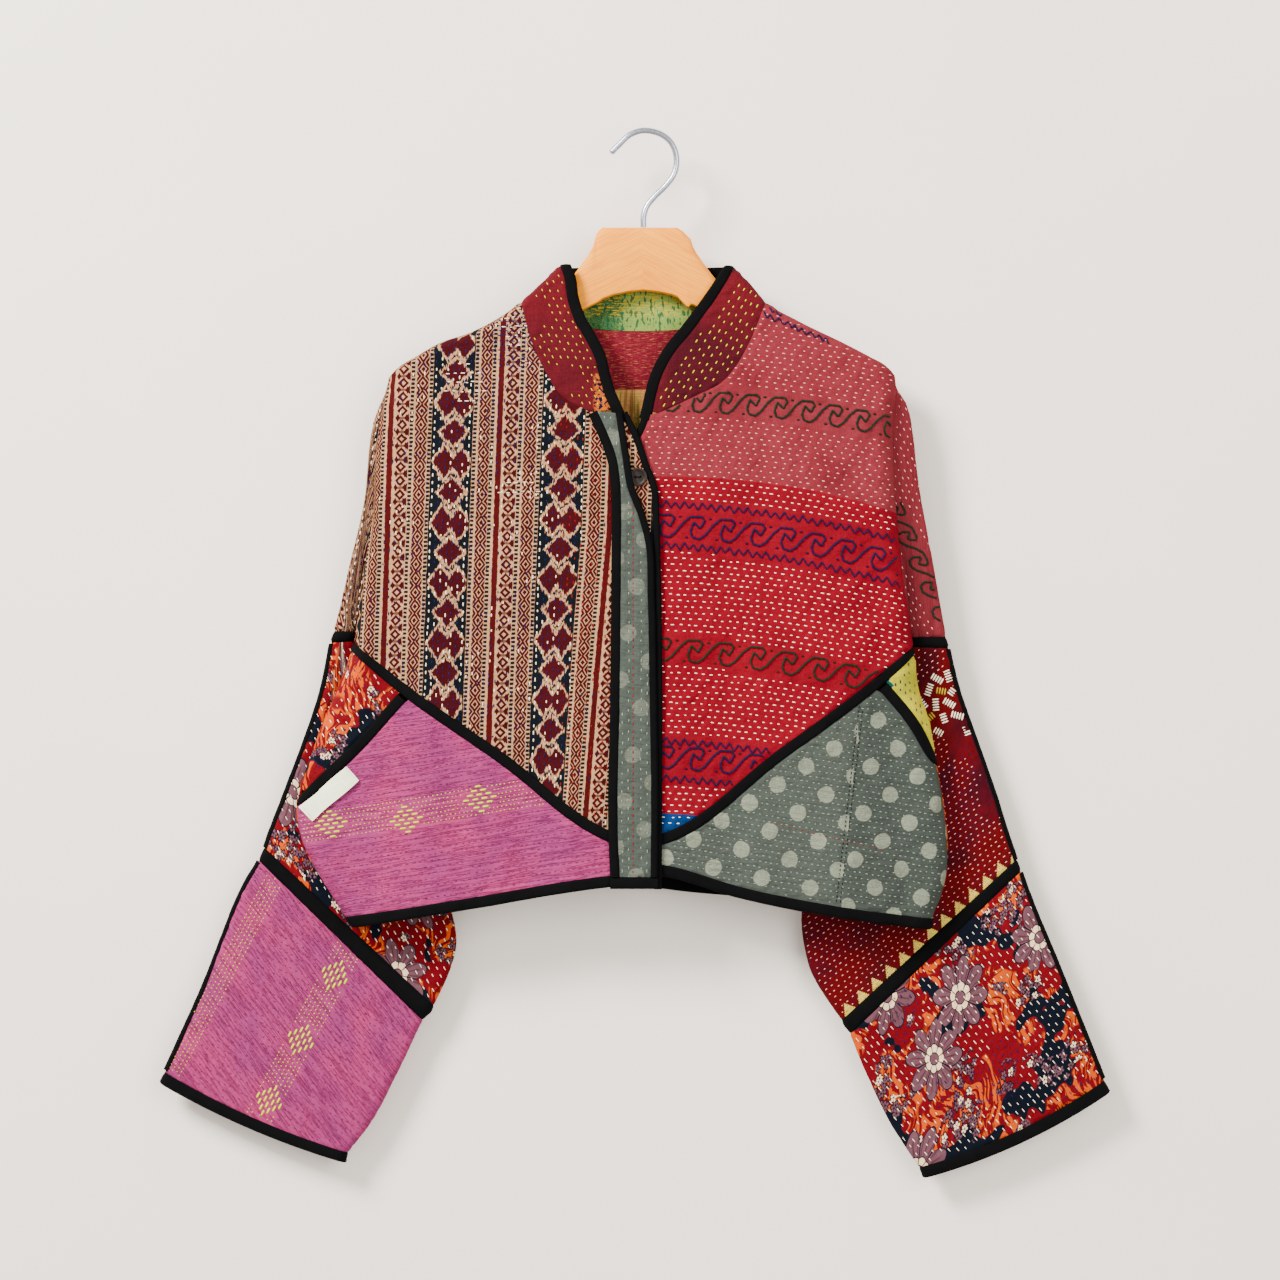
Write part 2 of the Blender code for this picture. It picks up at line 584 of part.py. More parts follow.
def make_front_left():
    """Ikat yoke, flowered gusset, magenta lower front and their bindings."""
    seam_top = on_folds(beside(seam_left, HALF), "left")
    seam_low = on_folds(beside(seam_left, -HALF), "left")
    placket_edge = beside(placket, -HALF_NARROW)
    placket_share = share_at(placket_edge, seam_top(0.985)[1])
    yoke_front = between(placket_edge, 0, placket_share)
    top = chain(
        [shoulder_left, neck_left, straight(NECK_LEFT[-1], yoke_front(0.0))], [NECK_SHARE_LEFT, 0.88]
    )
    low_start = YOKE_JUNCTION_LEFT + 0.054
    across = merged(
        NECK_SHARE_LEFT * np.array(SHOULDER_STEPS),
        NECK_SHARE_LEFT + (0.88 - NECK_SHARE_LEFT) * np.array(NECK_STEPS),
        [0.94, 1, low_start],
    )
    bottom = lambda share: seam_top(0.985 * np.asarray(share, float))
    yoke_side = fold_line(left_fold, top(0.0)[1], seam_top(0.0)[1])
    flat = patch(top, bottom, yoke_side, yoke_front, across, DOWN_YOKE)
    cloth("front_yoke_left", flat, "ikat", lift=lap_lift)
    seam_shares = 0.985 * across
    strip("yoke_seam_left", seam_left, seam_shares, BINDING_WIDTH, lift=lap_lift, ends="left")

    side_seam = curve(SIDE_SEAM_LEFT)
    strip("side_seam_left", side_seam, SIDE_STEPS, BINDING_WIDTH, lift=lap_lift, ends="left")
    side_high = on_folds(beside(side_seam, HALF), "left")
    side_low = on_folds(beside(side_seam, -HALF - 0.5), "left")
    gusset_shares = across[across < YOKE_JUNCTION_LEFT + 1e-6]
    gusset_top = between(seam_low, 0, 0.985 * gusset_shares[-2])
    gusset_end = SIDE_STEPS[3]
    corner_z = side_high(gusset_end)[1] + 2
    corner = np.array([left_fold(corner_z), corner_z])
    flat = patch(
        gusset_top,
        straight(corner, side_high(gusset_end)),
        fold_line(left_fold, gusset_top(0.0)[1], corner_z),
        pulled(between(side_high, 1, gusset_end), gusset_top(1.0), 0, 3),
        gusset_shares[:-1] / gusset_shares[-2],
        (1 - np.array(SIDE_STEPS[:2:-1])) / (1 - gusset_end),
    )
    cloth("side_gusset_left", flat, "flowers", lift=lap_lift)

    hem = on_folds(curve(HEM_TOP_LEFT), "left")
    low_shares = across[across > low_start - 1e-6]
    low_across = (low_shares - low_start) / (1 - low_start)
    low_top = between(seam_low, 0.985 * low_start, 0.985)
    hem_edge = between(lifted(hem, SEAM_GAP), 0, 0.985)
    side_length = 0.5
    low_side = chain(
        [between(side_low, 1, 0), fold_line(left_fold, side_low(0.0)[1], hem_edge(0.0)[1])], [side_length]
    )
    flat = patch(
        low_top,
        hem_edge,
        pulled(low_side, low_top(0.0), 0, 60),
        straight(low_top(1.0), hem_edge(1.0)),
        merged(low_across, [0.01, 0.03, 0.06]),
        merged(side_length * (1 - np.array(SIDE_STEPS)), evenly(side_length, 1, 5)),
    )
    cloth("lower_front_left", flat, "magenta", lift=lap_lift)
    hem_shares = 0.985 * merged(low_across, [0.01, 0.03, 0.06])
    hem_middle = lifted(hem, -BINDING_WIDTH / 2)
    strip("hem_front_left", hem_middle, hem_shares, BINDING_WIDTH, lift=lap_lift, ends="left")
    placket_shares = merged(placket_share * np.array([0] + DOWN_YOKE[5:]), evenly(placket_share, 1, 3))
    strip("placket_tape", placket, placket_shares, NARROW_BINDING, lift=lap_lift)


def make_front_right():
    """Pink and red yoke, lime gusset, grey lower front and their bindings."""
    seam_top = on_folds(beside(seam_right, HALF), "right")
    seam_low = on_folds(beside(seam_right, -HALF), "right")
    edge = beside(right_edge, HALF_NARROW)
    edge_share = share_at(edge, seam_top(0.012)[1])
    yoke_front = between(edge, 0, edge_share)
    inner = 0.03
    top = chain(
        [straight(yoke_front(0.0), NECK_RIGHT[-1]), between(neck_right, 1, 0), shoulder_right],
        [inner, NECK_SHARE_RIGHT],
    )
    low_end = YOKE_JUNCTION_RIGHT - 0.046
    across = merged(
        [0],
        NECK_SHARE_RIGHT - (NECK_SHARE_RIGHT - inner) * np.array(NECK_STEPS),
        1 - (1 - NECK_SHARE_RIGHT) * np.array(SHOULDER_STEPS),
        [low_end],
    )
    bottom = lambda share: seam_top(0.012 + 0.988 * np.asarray(share, float))
    side = fold_line(right_fold, top(1.0)[1], seam_top(1.0)[1])
    cloth("front_yoke_right", patch(top, bottom, yoke_front, side, across, DOWN_YOKE), "pink")
    seam_shares = 0.012 + 0.988 * across
    strip("yoke_seam_right", seam_right, seam_shares, BINDING_WIDTH, ends="right")

    side_seam = curve(SIDE_SEAM_RIGHT)
    strip("side_seam_right", side_seam, 1 - np.array(SIDE_STEPS[::-1]), BINDING_WIDTH, ends="right")
    side_high = on_folds(beside(side_seam, HALF), "right")
    side_low = on_folds(beside(side_seam, -HALF - 0.5), "right")
    gusset_shares = seam_shares[across > YOKE_JUNCTION_RIGHT + 0.01]
    gusset_top = between(seam_low, gusset_shares[0], 1)
    gusset_end = 1 - SIDE_STEPS[3]
    corner_z = side_high(gusset_end)[1] + 2
    corner = np.array([right_fold(corner_z), corner_z])
    flat = patch(
        gusset_top,
        straight(side_high(gusset_end), corner),
        pulled(between(side_high, 0, gusset_end), gusset_top(0.0), 0, 3),
        fold_line(right_fold, gusset_top(1.0)[1], corner_z),
        (gusset_shares - gusset_shares[0]) / (1 - gusset_shares[0]),
        (1 - np.array(SIDE_STEPS[:2:-1])) / gusset_end,
    )
    cloth("side_gusset_right", flat, "lime")

    hem = on_folds(curve(HEM_TOP_RIGHT), "right")
    low_top = between(seam_low, 0.012, 0.012 + 0.988 * low_end)
    hem_edge = between(lifted(hem, 0.4), 0.012, 1)
    side_length = 0.45
    low_side = chain(
        [side_low, fold_line(right_fold, side_low(1.0)[1], hem_edge(1.0)[1])], [side_length]
    )
    low_across = merged(across[across < low_end + 1e-6] / low_end, [0.94, 0.97, 0.99])
    flat = patch(
        low_top,
        hem_edge,
        straight(low_top(0.0), hem_edge(0.0)),
        pulled(low_side, low_top(1.0), 0, 60),
        low_across,
        merged(side_length * (1 - np.array(SIDE_STEPS)), evenly(side_length, 1, 5)),
    )
    cloth("lower_front_right", flat, "sage")
    hem_shares = 0.012 + 0.988 * low_across
    strip("hem_front_right", lifted(hem, -BINDING_WIDTH / 2), hem_shares, BINDING_WIDTH, ends="right")
    edge_shares = merged(edge_share * np.array([0] + DOWN_YOKE[5:]), evenly(edge_share, 1, 3))
    strip("right_edge_tape", right_edge, edge_shares, NARROW_BINDING)


def make_back():
    """Plain back yoke, two lower pieces and their bindings."""
    top = chain([shoulder_left, neck_back, shoulder_right], [0.3, 0.7])
    shoulder_steps, neck_steps = np.array(SHOULDER_STEPS), np.array(NECK_STEPS)
    left_half = np.concatenate([0.3 * shoulder_steps, 0.3 + 0.2 * neck_steps[:-1], [0.498]])
    across = merged(left_half, 1 - left_half)
    seam_top = on_folds(beside(seam_back, HALF), "left right")
    seam_low = on_folds(beside(seam_back, -HALF), "left right")
    sides = (
        fold_line(left_fold, top(0.0)[1], seam_top(0.0)[1]),
        fold_line(right_fold, top(1.0)[1], seam_top(1.0)[1]),
    )
    down = [step for step in DOWN_YOKE if step not in (0.0015, 0.11, 0.25, 0.46, 0.70)]
    cloth("back_yoke", patch(top, seam_top, *sides, across, down), "crimson", facing=1)
    hem = on_folds(curve(HEM_TOP_BACK), "left right")
    hem_shares = []
    for side, low, high in (("left", 0, 0.498), ("right", 0.502, 1)):
        fold = left_fold if side == "left" else right_fold
        shares = np.clip(across[(across >= low - 1e-6) & (across <= high + 1e-6)], low, high)
        strip("back_seam_" + side, seam_back, shares, BINDING_WIDTH, facing=1, ends="left right")
        piece_top, piece_hem = between(seam_low, low, high), between(lifted(hem, SEAM_GAP), low, high)
        outer, inner = (0.0, 1.0) if side == "left" else (1.0, 0.0)
        at_fold = fold_line(fold, piece_top(outer)[1], piece_hem(outer)[1])
        inside = straight(piece_top(inner), piece_hem(inner))
        edges = (at_fold, inside) if side == "left" else (inside, at_fold)
        flat = patch(piece_top, piece_hem, *edges, (shares - low) / (high - low), evenly(0, 1, 6))
        cloth("lower_back_" + side, flat, "flowers", facing=1)
        hem_shares.extend(shares)
    hem_middle = lifted(hem, -BINDING_WIDTH / 2)
    strip("hem_back", hem_middle, hem_shares, BINDING_WIDTH, facing=1, ends="left right")


def make_collar():
    """Stand collar: two front pieces and the back one, inside the neck seam, with a bound edge."""
    neck_steps = np.array(NECK_STEPS)
    tape_left, tape_right = curve(COLLAR_TAPE_LEFT), curve(COLLAR_TAPE_RIGHT)
    turn = [0, 0.2, 0.45, 0.7, 1]
    half = BINDING_WIDTH / 2
    left_neck, left_inner = beside(neck_left, COLLAR_GAP), on_ridge(beside(tape_left, -HALF))
    flat = patch(
        ridge(left_neck(0.0)[0], left_inner(0.0)[0]),
        straight(left_neck(1.0), left_inner(1.0)),
        left_neck,
        left_inner,
        turn,
        neck_steps,
    )
    cloth("collar_front_left", flat, "bordeaux", lift=lap_lift)
    edges = (beside(tape_left, half), on_ridge(beside(tape_left, -half)))
    band("collar_tape_left", *edges, neck_steps, lift=lap_lift)
    right_neck, right_inner = beside(neck_right, -COLLAR_GAP), on_ridge(beside(tape_right, HALF))
    flat = patch(
        ridge(right_inner(0.0)[0], right_neck(0.0)[0]),
        straight(right_inner(1.0), right_neck(1.0)),
        right_inner,
        right_neck,
        turn,
        neck_steps,
    )
    cloth("collar_front_right", flat, "bordeaux")
    edges = (on_ridge(beside(tape_right, half)), beside(tape_right, -half))
    band("collar_tape_right", *edges, neck_steps)
    across = merged(0.5 * neck_steps, 1 - 0.5 * neck_steps)
    back_neck, back_line = on_ridge(beside(neck_back, COLLAR_GAP), (0, 1)), curve(COLLAR_BACK_LINE)
    back_inner = on_ridge(pulled(beside(back_line, -0.8), (83.8, shoulder_height(83.8)), 1, 12))
    flat = patch(
        back_inner,
        back_neck,
        ridge(back_inner(0.0)[0], back_neck(0.0)[0]),
        ridge(back_inner(1.0)[0], back_neck(1.0)[0]),
        across,
        turn,
    )
    cloth("collar_back", flat, "bordeaux", facing=1)
    band("collar_tape_back", curve(COLLAR_BACK_TOP), back_line, across, facing=1)


def make_fly():
    """Grey strip bound all round, over the left front."""
    left_tape, right_tape = curve(FLY_TAPE_LEFT), curve(FLY_TAPE_RIGHT)
    shares = merged(evenly(0, 0.3, 10), evenly(0.3, 1, 11))
    strip("fly_tape_left", left_tape, shares, 8.0, lift=fly_lift)
    strip("fly_tape_right", right_tape, shares, NARROW_BINDING, lift=fly_lift)
    left_inner, right_inner = beside(left_tape, 4.0 + SEAM_GAP), beside(right_tape, -HALF_NARROW)
    cloth(
        "fly_strip",
        patch(
            straight(left_inner(0.0), right_inner(0.0)),
            straight(left_inner(1.0), right_inner(1.0)),
            left_inner,
            right_inner,
            [0, 0.33, 0.67, 1],
            shares,
        ),
        "sage",
        lift=fly_lift,
    )
    bottom = straight((-25, -612), (13.5, -612))
    strip("fly_tape_bottom", bottom, evenly(0, 1, 5), 9.0, lift=fly_lift)


def make_button():
    """Round horn button with a raised rim and two holes, on the left front beside the fly."""
    x, z = BUTTON_CENTRE
    base = float(face_depth(np.array(x), np.array(z), -1)) - left_lap(np.array(x)) - CLOTH / 2 - SEAM_GAP
    profile = [  # radius as a share of the button's, depth as a share of its thickness
        (0.0, 0.0), (0.80, 0.0), (1.0, 0.35), (1.0, 0.75), (0.93, 1.0), (0.80, 0.98), (0.68, 0.78),
        (0.0, 0.74),
    ]
    count = 20
    turns = np.arange(count) * 2 * math.pi / count
    points = []
    for radius, depth in profile[1:-1]:
        ring = np.stack(
            [
                x + BUTTON_RADIUS * radius * np.cos(turns),
                np.full(count, base - BUTTON_THICKNESS * depth),
                z + BUTTON_RADIUS * radius * np.sin(turns),
            ],
            axis=-1,
        )
        points.extend(ring.tolist())
    rings = len(profile) - 2
    faces = grid_faces(0, rings, count, wrap=True)
    points.append([x, base, z])
    points.append([x, base - BUTTON_THICKNESS * profile[-1][1], z])
    centre, front = len(points) - 2, len(points) - 1
    last = (rings - 1) * count
    for step in range(count):
        after = (step + 1) % count
        faces.append((after, step, centre))
        faces.append((last + step, last + after, front))
    button = add_solid("button", points, faces, "horn")
    for side in (-1, 1):
        bpy.ops.mesh.primitive_cylinder_add(
            vertices=12,
            radius=BUTTON_HOLE_RADIUS * MM,
            depth=3 * BUTTON_THICKNESS * MM,
            location=((x + side * BUTTON_HOLE_OFFSET) * MM, base * MM, z * MM),
            rotation=(math.pi / 2, 0, 0),
        )
        cutter = bpy.context.object
        cutter.name = "button_hole_cutter"
        cutter.hide_render = True
        cutter.display_type = "WIRE"
        hole = button.modifiers.new("Hole", "BOOLEAN")
        hole.object = cutter
        hole.operation = "DIFFERENCE"
        hole.solver = "EXACT"


def make_label():
    """Small plain woven label on the side seam's lower edge."""
    start, end = np.array(LABEL_START, float), np.array(LABEL_END, float)
    along = (end - start) / np.linalg.norm(end - start)
    down = np.array([along[1], -along[0]])
    shares = evenly(0, 1, 9)[None, :, None]
    drops = evenly(0, LABEL_HEIGHT, 5)[:, None, None]
    flat = start + (end - start) * shares + down * drops
    middle, normals = face_grid(flat, -1, lap_lift)
    low = BINDING / 2 + 0.9
    wall("label", middle, normals, low, low + LABEL, "label")


# Sleeves


def sleeve_ring(table, station):
    """Points round one ring: along the front from the outer edge to the inner one, and back behind.

    Beside each point it gives how much its normal leans past the outer edge, past the inner edge and along y.
    """
    values = through(np.array(table, float), np.arange(len(table), dtype=float))(station)
    outer, inner = values[0:2], values[2:4]
    outer_y, inner_y, half_depth, bow = values[4:8]
    side = 1 if table[0][0] > 0 else -1
    width = np.linalg.norm(inner - outer)
    reach = min(SLEEVE_EDGE_ROUND, width / 3)
    edge = np.array(SLEEVE_EDGE_STEPS) * reach / SLEEVE_EDGE_STEPS[-1]
    face = np.linspace(edge[-1], width - edge[-1], SLEEVE_FACE_STEPS + 2)[1:-1]
    places = np.concatenate([edge, face, width - edge[::-1]])
    share = places / width
    ahead = (inner - outer) / width
    aside = side * np.array([-ahead[1], ahead[0]])
    flat = outer + (inner - outer) * share[:, None] + (aside * bow) * (4 * share * (1 - share))[:, None]
    fold = right_fold(flat[:, 1]) if side > 0 else left_fold(flat[:, 1])
    clear = side * (side * fold + ARMHOLE_GAP + ARMHOLE_GROWTH * station)
    inside = np.clip(side * (clear - flat[:, 0]), 0, None)
    flat[:, 0] += side * inside * smooth_step(flat[:, 1], -412, -396)
    centre = outer_y + (inner_y - outer_y) * share**3
    nearest = np.minimum(places, width - places)
    depth = half_depth * round_share(nearest, reach)
    rest = 1 - np.clip(nearest / reach, 0, 1)
    lean = np.stack([rest * (places < width / 2), rest * (places > width / 2), np.sqrt(1 - rest**2)], axis=-1)
    front = np.stack([flat[:, 0], centre - depth, flat[:, 1]], axis=-1)
    back = np.stack([flat[:, 0], centre + depth, flat[:, 1]], axis=-1)
    ring = np.concatenate([front, back[-2:0:-1]])
    leans = np.concatenate([lean * np.array([1, 1, -1]), lean[-2:0:-1]])
    return ring, leans


def sleeve_tube(name, table, stretch, rows, thickness, colour):
    """A closed wall round one stretch of a sleeve, open at both ends. Returns its middle and normals."""
    first, last = table[stretch[0]], table[stretch[1]]
    length = abs(last[1] - first[1]) + abs(last[3] - first[3])
    inset = SEAM_GAP / max(length / 2, 1) * (stretch[1] - stretch[0])
    stations = np.linspace(stretch[0] + inset, stretch[1] - inset, rows)
    rings = [sleeve_ring(table, station) for station in stations]
    middle = np.array([ring for ring, lean in rings])
    leans = np.array([lean for ring, lean in rings])
    columns = middle.shape[1]
    side = 1 if table[0][0] > 0 else -1
    past = []
    for column, turn in ((0, side), (columns // 2, -side)):
        run = np.gradient(middle[:, column], axis=0)
        across = turn * np.stack([-run[:, 2], 0 * run[:, 0], run[:, 0]], axis=-1)
        past.append(across / np.linalg.norm(across, axis=-1, keepdims=True))
    normals = leans[..., 0:1] * past[0][:, None] + leans[..., 1:2] * past[1][:, None]
    normals = normals + leans[..., 2:3] * np.array([0, 1, 0])
    count = rows * columns
    half = thickness / 2
    outer, inner = middle + normals * half, middle - normals * half
    points = np.concatenate([outer.reshape(-1, 3), inner.reshape(-1, 3)])
    faces = grid_faces(0, rows, columns, wrap=True)
    faces += [face[::-1] for face in grid_faces(count, rows, columns, wrap=True)]
    for column in range(columns):
        after = (column + 1) % columns
        last = (rows - 1) * columns
        faces.append((after, column, count + column, count + after))
        faces.append((last + column, last + after, count + last + after, count + last + column))
    add_solid(name, points, faces, colour)
    return middle, normals


def overarm_tape(name, middle, normals):
    """A tape on the sleeve's outer fold, made from the sleeve's own points and moved out."""
    columns = [middle.shape[1] - 2, middle.shape[1] - 1, 0, 1, 2]
    low = CLOTH / 2 + SEAM_GAP
    wall(name, middle[:, columns], normals[:, columns], low, low + OVERARM_LIFT, "black")


def make_sleeve(side, table, upper_cloth, middle_cloth, cuff_cloth):
    sleeve_tube("sleeve_upper_" + side, table, UPPER, 5, CLOTH, upper_cloth)
    sleeve_tube("sleeve_upper_band_" + side, table, UPPER_BAND, 2, BINDING, "black")
    middle, normals = sleeve_tube("sleeve_middle_" + side, table, MIDDLE, 9, CLOTH, middle_cloth)
    overarm_tape("overarm_tape_middle_" + side, middle, normals)
    sleeve_tube("sleeve_lower_band_" + side, table, LOWER_BAND, 2, BINDING, "black")
    middle, normals = sleeve_tube("sleeve_cuff_panel_" + side, table, CUFF_PANEL, 6, CLOTH, cuff_cloth)
    overarm_tape("overarm_tape_cuff_" + side, middle, normals)
    sleeve_tube("cuff_tape_" + side, table, CUFF, 2, BINDING, "black")


# Hanger


def make_hook():
    """Round wire bent to a hook: rings square to its line, closed at both ends."""
    line = curve(HOOK_LINE)
    shares = evenly(0, 1, 28)
    ahead = line(np.clip(shares + 0.005, 0, 1)) - line(np.clip(shares - 0.005, 0, 1))
    ahead /= np.linalg.norm(ahead, axis=-1, keepdims=True)
    turns = np.arange(10) * math.pi / 5
    radius = HOOK_WIRE / 2
    aside = radius * np.cos(turns)[None, :]
    x = line(shares)[:, :1] - ahead[:, 1:] * aside
    z = line(shares)[:, 1:] + ahead[:, :1] * aside
    y = radius * np.sin(turns)[None, :] + 0 * x
    points = np.stack([x, y, z], axis=-1).reshape(-1, 3)
    faces = grid_faces(0, len(shares), len(turns), wrap=True)
    faces.append(tuple(range(len(turns)))[::-1])
    faces.append(tuple(range(len(points) - len(turns), len(points))))
    add_solid("hanger_hook", points, faces, "steel")


def make_board(name, side):
    """One board of the hanger: an eight-sided bar whose sections follow the table."""
    sections = []
    half = HANGER_THICKNESS / 2
    for x, top, bottom in RIGHT_BOARD:
        drop = max(0, top - (shoulder_height(HANGER_MIDDLE + side * x) - SHOULDER_CLEARANCE))
        top, bottom = top - drop, bottom - drop
        edge = min(CROWN_DROP, (top - bottom) / 3)
        ring = [
            (-CROWN_WIDTH / 2, top), (CROWN_WIDTH / 2, top), (half, top - edge), (half, bottom + 3),
            (half - 3, bottom), (3 - half, bottom), (-half, bottom + 3), (-half, top - edge),
        ]
        sections.append([(HANGER_MIDDLE + side * x, y, z) for y, z in ring])
    points = np.array(sections).reshape(-1, 3)
    count = len(sections[0])
    faces = grid_faces(0, len(sections), count, wrap=True)
    faces.append(tuple(range(count))[::-1])
    faces.append(tuple(range(len(points) - count, len(points))))
    add_solid(name, points, faces, "beech")


def main():
    for leftover in list(bpy.data.objects):
        bpy.data.objects.remove(leftover)
    make_hook()
    make_board("hanger_board_left", -1)
    make_board("hanger_board_right", 1)
    make_front_left()
    make_front_right()
    make_back()
    make_collar()
    make_fly()
    make_button()
    make_label()
    make_sleeve("left", LEFT_SLEEVE, "ikat", "flowers", "magenta")
    make_sleeve("right", RIGHT_SLEEVE, "pink", "crimson", "flowers")


main()
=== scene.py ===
"""The looks of a cropped patchwork jacket with a stand collar, hung on a wooden hanger.

The tables are in millimetres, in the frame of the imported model: x to the right, z up, y away from the front.
Each cloth piece is a thin closed shell on the form of its solid: a fine grid on the front or back face of the
body or round a sleeve, raised by creases, by the ripple of quilting and by a dent at each stitch.
Threads are small closed grains laid on that grid. Prints are worked out in the materials.
"""

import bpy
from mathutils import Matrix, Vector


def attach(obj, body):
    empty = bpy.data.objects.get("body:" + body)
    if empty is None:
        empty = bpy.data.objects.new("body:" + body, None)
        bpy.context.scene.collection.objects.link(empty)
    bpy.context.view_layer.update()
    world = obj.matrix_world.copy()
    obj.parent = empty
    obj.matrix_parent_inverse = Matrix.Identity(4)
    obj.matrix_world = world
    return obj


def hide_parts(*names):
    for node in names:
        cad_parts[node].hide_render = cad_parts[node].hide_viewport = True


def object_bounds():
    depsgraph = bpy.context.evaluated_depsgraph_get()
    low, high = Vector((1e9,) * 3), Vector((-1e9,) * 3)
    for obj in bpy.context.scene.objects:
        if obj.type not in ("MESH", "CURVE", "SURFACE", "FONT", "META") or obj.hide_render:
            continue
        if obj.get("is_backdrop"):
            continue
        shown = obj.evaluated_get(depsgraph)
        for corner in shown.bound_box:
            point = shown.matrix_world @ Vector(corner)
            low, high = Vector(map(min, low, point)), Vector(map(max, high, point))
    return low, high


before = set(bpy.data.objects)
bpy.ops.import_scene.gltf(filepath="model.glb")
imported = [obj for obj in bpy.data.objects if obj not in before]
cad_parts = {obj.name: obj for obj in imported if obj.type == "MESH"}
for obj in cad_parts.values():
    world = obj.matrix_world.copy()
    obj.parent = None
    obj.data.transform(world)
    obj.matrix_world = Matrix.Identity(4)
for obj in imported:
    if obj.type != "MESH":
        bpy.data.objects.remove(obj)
CAD_BOX = [list(corner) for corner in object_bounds()]

import functools
import math

import bpy
import numpy as np

MM = 0.001
CLOTH = 2.0  # quilted layers of old cotton
BINDING = 3.0  # cloth with a folded tape round it
LABEL = 0.8
LAYER_STEP = 3.6  # from the middle of one layer of the front to the next
BINDING_WIDTH = 9.5
NARROW_BINDING = 6.0

SHOULDER_ROUND = 7.0  # how far below a shoulder line the cloth still curves
SIDE_ROUND = 14.0
BACK_DEPTH = 10.0
BREAST_DEPTH = 9.0  # how far forward the front stands at its sides

# Outline of the body: the shoulder and collar line, and the side folds.
SHOULDER_LINE = [  # x, z
    (-222, -240), (-214, -216), (-208, -203), (-198, -192), (-184, -183.5), (-165, -172.5),
    (-140, -164), (-97.6, -138.6), (-82, -124), (-66, -109), (-45, -88), (0, -50),
    (45, -88), (74, -109), (89, -124), (101.7, -138.6), (128, -154), (167, -173),
    (189, -184.5), (200, -190.5), (207, -198), (212, -206), (222, -235),
]
LEFT_FOLD = [  # z, x
    (-190, -204), (-205, -206.5), (-216, -209.5), (-238, -213.5), (-262, -216.5), (-318, -219.5),
    (-352, -225.5), (-392, -231), (-421, -235.5), (-456, -248.5), (-485, -261), (-508, -269), (-536, -278.5),
    (-554, -281.5), (-575, -279), (-605, -265), (-634, -247), (-655, -233),
]
RIGHT_FOLD = [  # z, x
    (-190, 207), (-203, 208.5), (-238, 206), (-267, 206), (-304, 208), (-333, 210.5), (-372, 215),
    (-403, 220), (-425, 223), (-460, 228), (-477, 234), (-513, 241), (-546, 247), (-587, 251),
    (-604, 250.5), (-624, 246), (-642, 239), (-660, 236),
]
HANG = [  # z, how far forward of the sides the middle of the front hangs
    (-100, 2), (-140, 3), (-200, 7), (-260, 11), (-350, 15), (-450, 18), (-560, 21), (-660, 24),
]
FRONT_EDGE = [  # z, y of the front face's edge along the armhole and the side
    (-195, 3.4), (-235, 1.5), (-300, 1), (-360, 2.5), (-412, 5.7), (-440, 3), (-480, 2), (-660, 2),
]
BACK_EDGE = [  # z, y of the back face's edge
    (-195, 4.4), (-206, 4.6), (-220, 6.2), (-240, 8.8), (-300, 10.2), (-380, 9.8), (-412, 7.2), (-440, 4.2),
    (-480, 2.7), (-660, 2.7),
]
FOLDS = [  # top x, top z, bottom x, bottom z, half width, height
    (-150, -195, -190, -600, 24, 3.5),
    (-85, -250, -100, -640, 18, -3.0),
    (-48, -300, -60, -630, 12, 2.0),
    (-208, -330, -258, -600, 12, 3.0),
    (130, -200, 165, -650, 26, 3.5),
    (62, -270, 80, -640, 18, -3.0),
    (185, -260, 215, -640, 12, -2.5),
    (28, -330, 34, -600, 10, 1.5),
]

# Cut lines, as seen from the front: x, z.
NECK_LEFT = [(-97.6, -138.6), (-91, -165), (-79, -193.5), (-66, -214), (-42, -229)]
NECK_RIGHT = [(101.7, -138.6), (90, -168), (78, -190), (65, -205), (48, -214), (32, -222), (14, -230)]
NECK_BACK = [(-97.6, -138.6), (-80, -149), (-45, -158), (0, -161), (45, -158), (82, -149.5), (101.7, -138.6)]
COLLAR_TAPE_LEFT = [  # middle of the binding on the collar's edge
    (-62, -110), (-58.5, -118), (-55.6, -136), (-50, -152.5), (-40.5, -169), (-33, -185), (-29, -202),
    (-24.5, -216), (-20, -226),
]
COLLAR_TAPE_RIGHT = [
    (72, -112), (58, -133), (37.7, -160.7), (22, -180.5), (13, -197.6), (7.5, -216), (5, -228),
]
COLLAR_BACK_TOP = [(-66.5, -109.5), (-46, -109), (0, -114), (46, -109.5), (74, -108)]
COLLAR_BACK_LINE = [  # lower edge of its binding
    (-76, -118.4), (-46, -118.5), (0, -123.5), (46, -119), (83, -118),
]
RIGHT_EDGE_TAPE = [(4.3, -231), (1, -241), (-4, -251), (-10, -270), (-13, -300), (-13, -450), (-13, -606)]
PLACKET_TAPE = [
    (-14, -230), (-5.3, -247), (4.5, -275), (10.3, -290), (12.1, -317), (13.1, -350), (13.9, -400),
    (13.9, -617),
]
FLY_TAPE_LEFT = [
    (-39, -230), (-31.6, -246), (-23.5, -268), (-20.5, -290), (-19.8, -312), (-20, -350), (-21, -464),
    (-22.5, -570), (-21, -607),
]
FLY_TAPE_RIGHT = [
    (-18, -230), (-15.5, -246), (-12, -268), (-8.5, -290), (0, -312), (5.7, -333), (8.2, -382), (9.8, -464),
    (11, -546), (10.5, -607),
]
YOKE_SEAM_LEFT = [(-236, -421), (-193.5, -455), (-115, -510), (-24, -575), (10, -586)]
YOKE_SEAM_RIGHT = [(-9, -582), (15.6, -577), (114, -508), (196, -447), (223, -424)]
YOKE_SEAM_BACK = [(-236, -421), (-115, -510), (0, -586), (115, -508), (223, -424)]
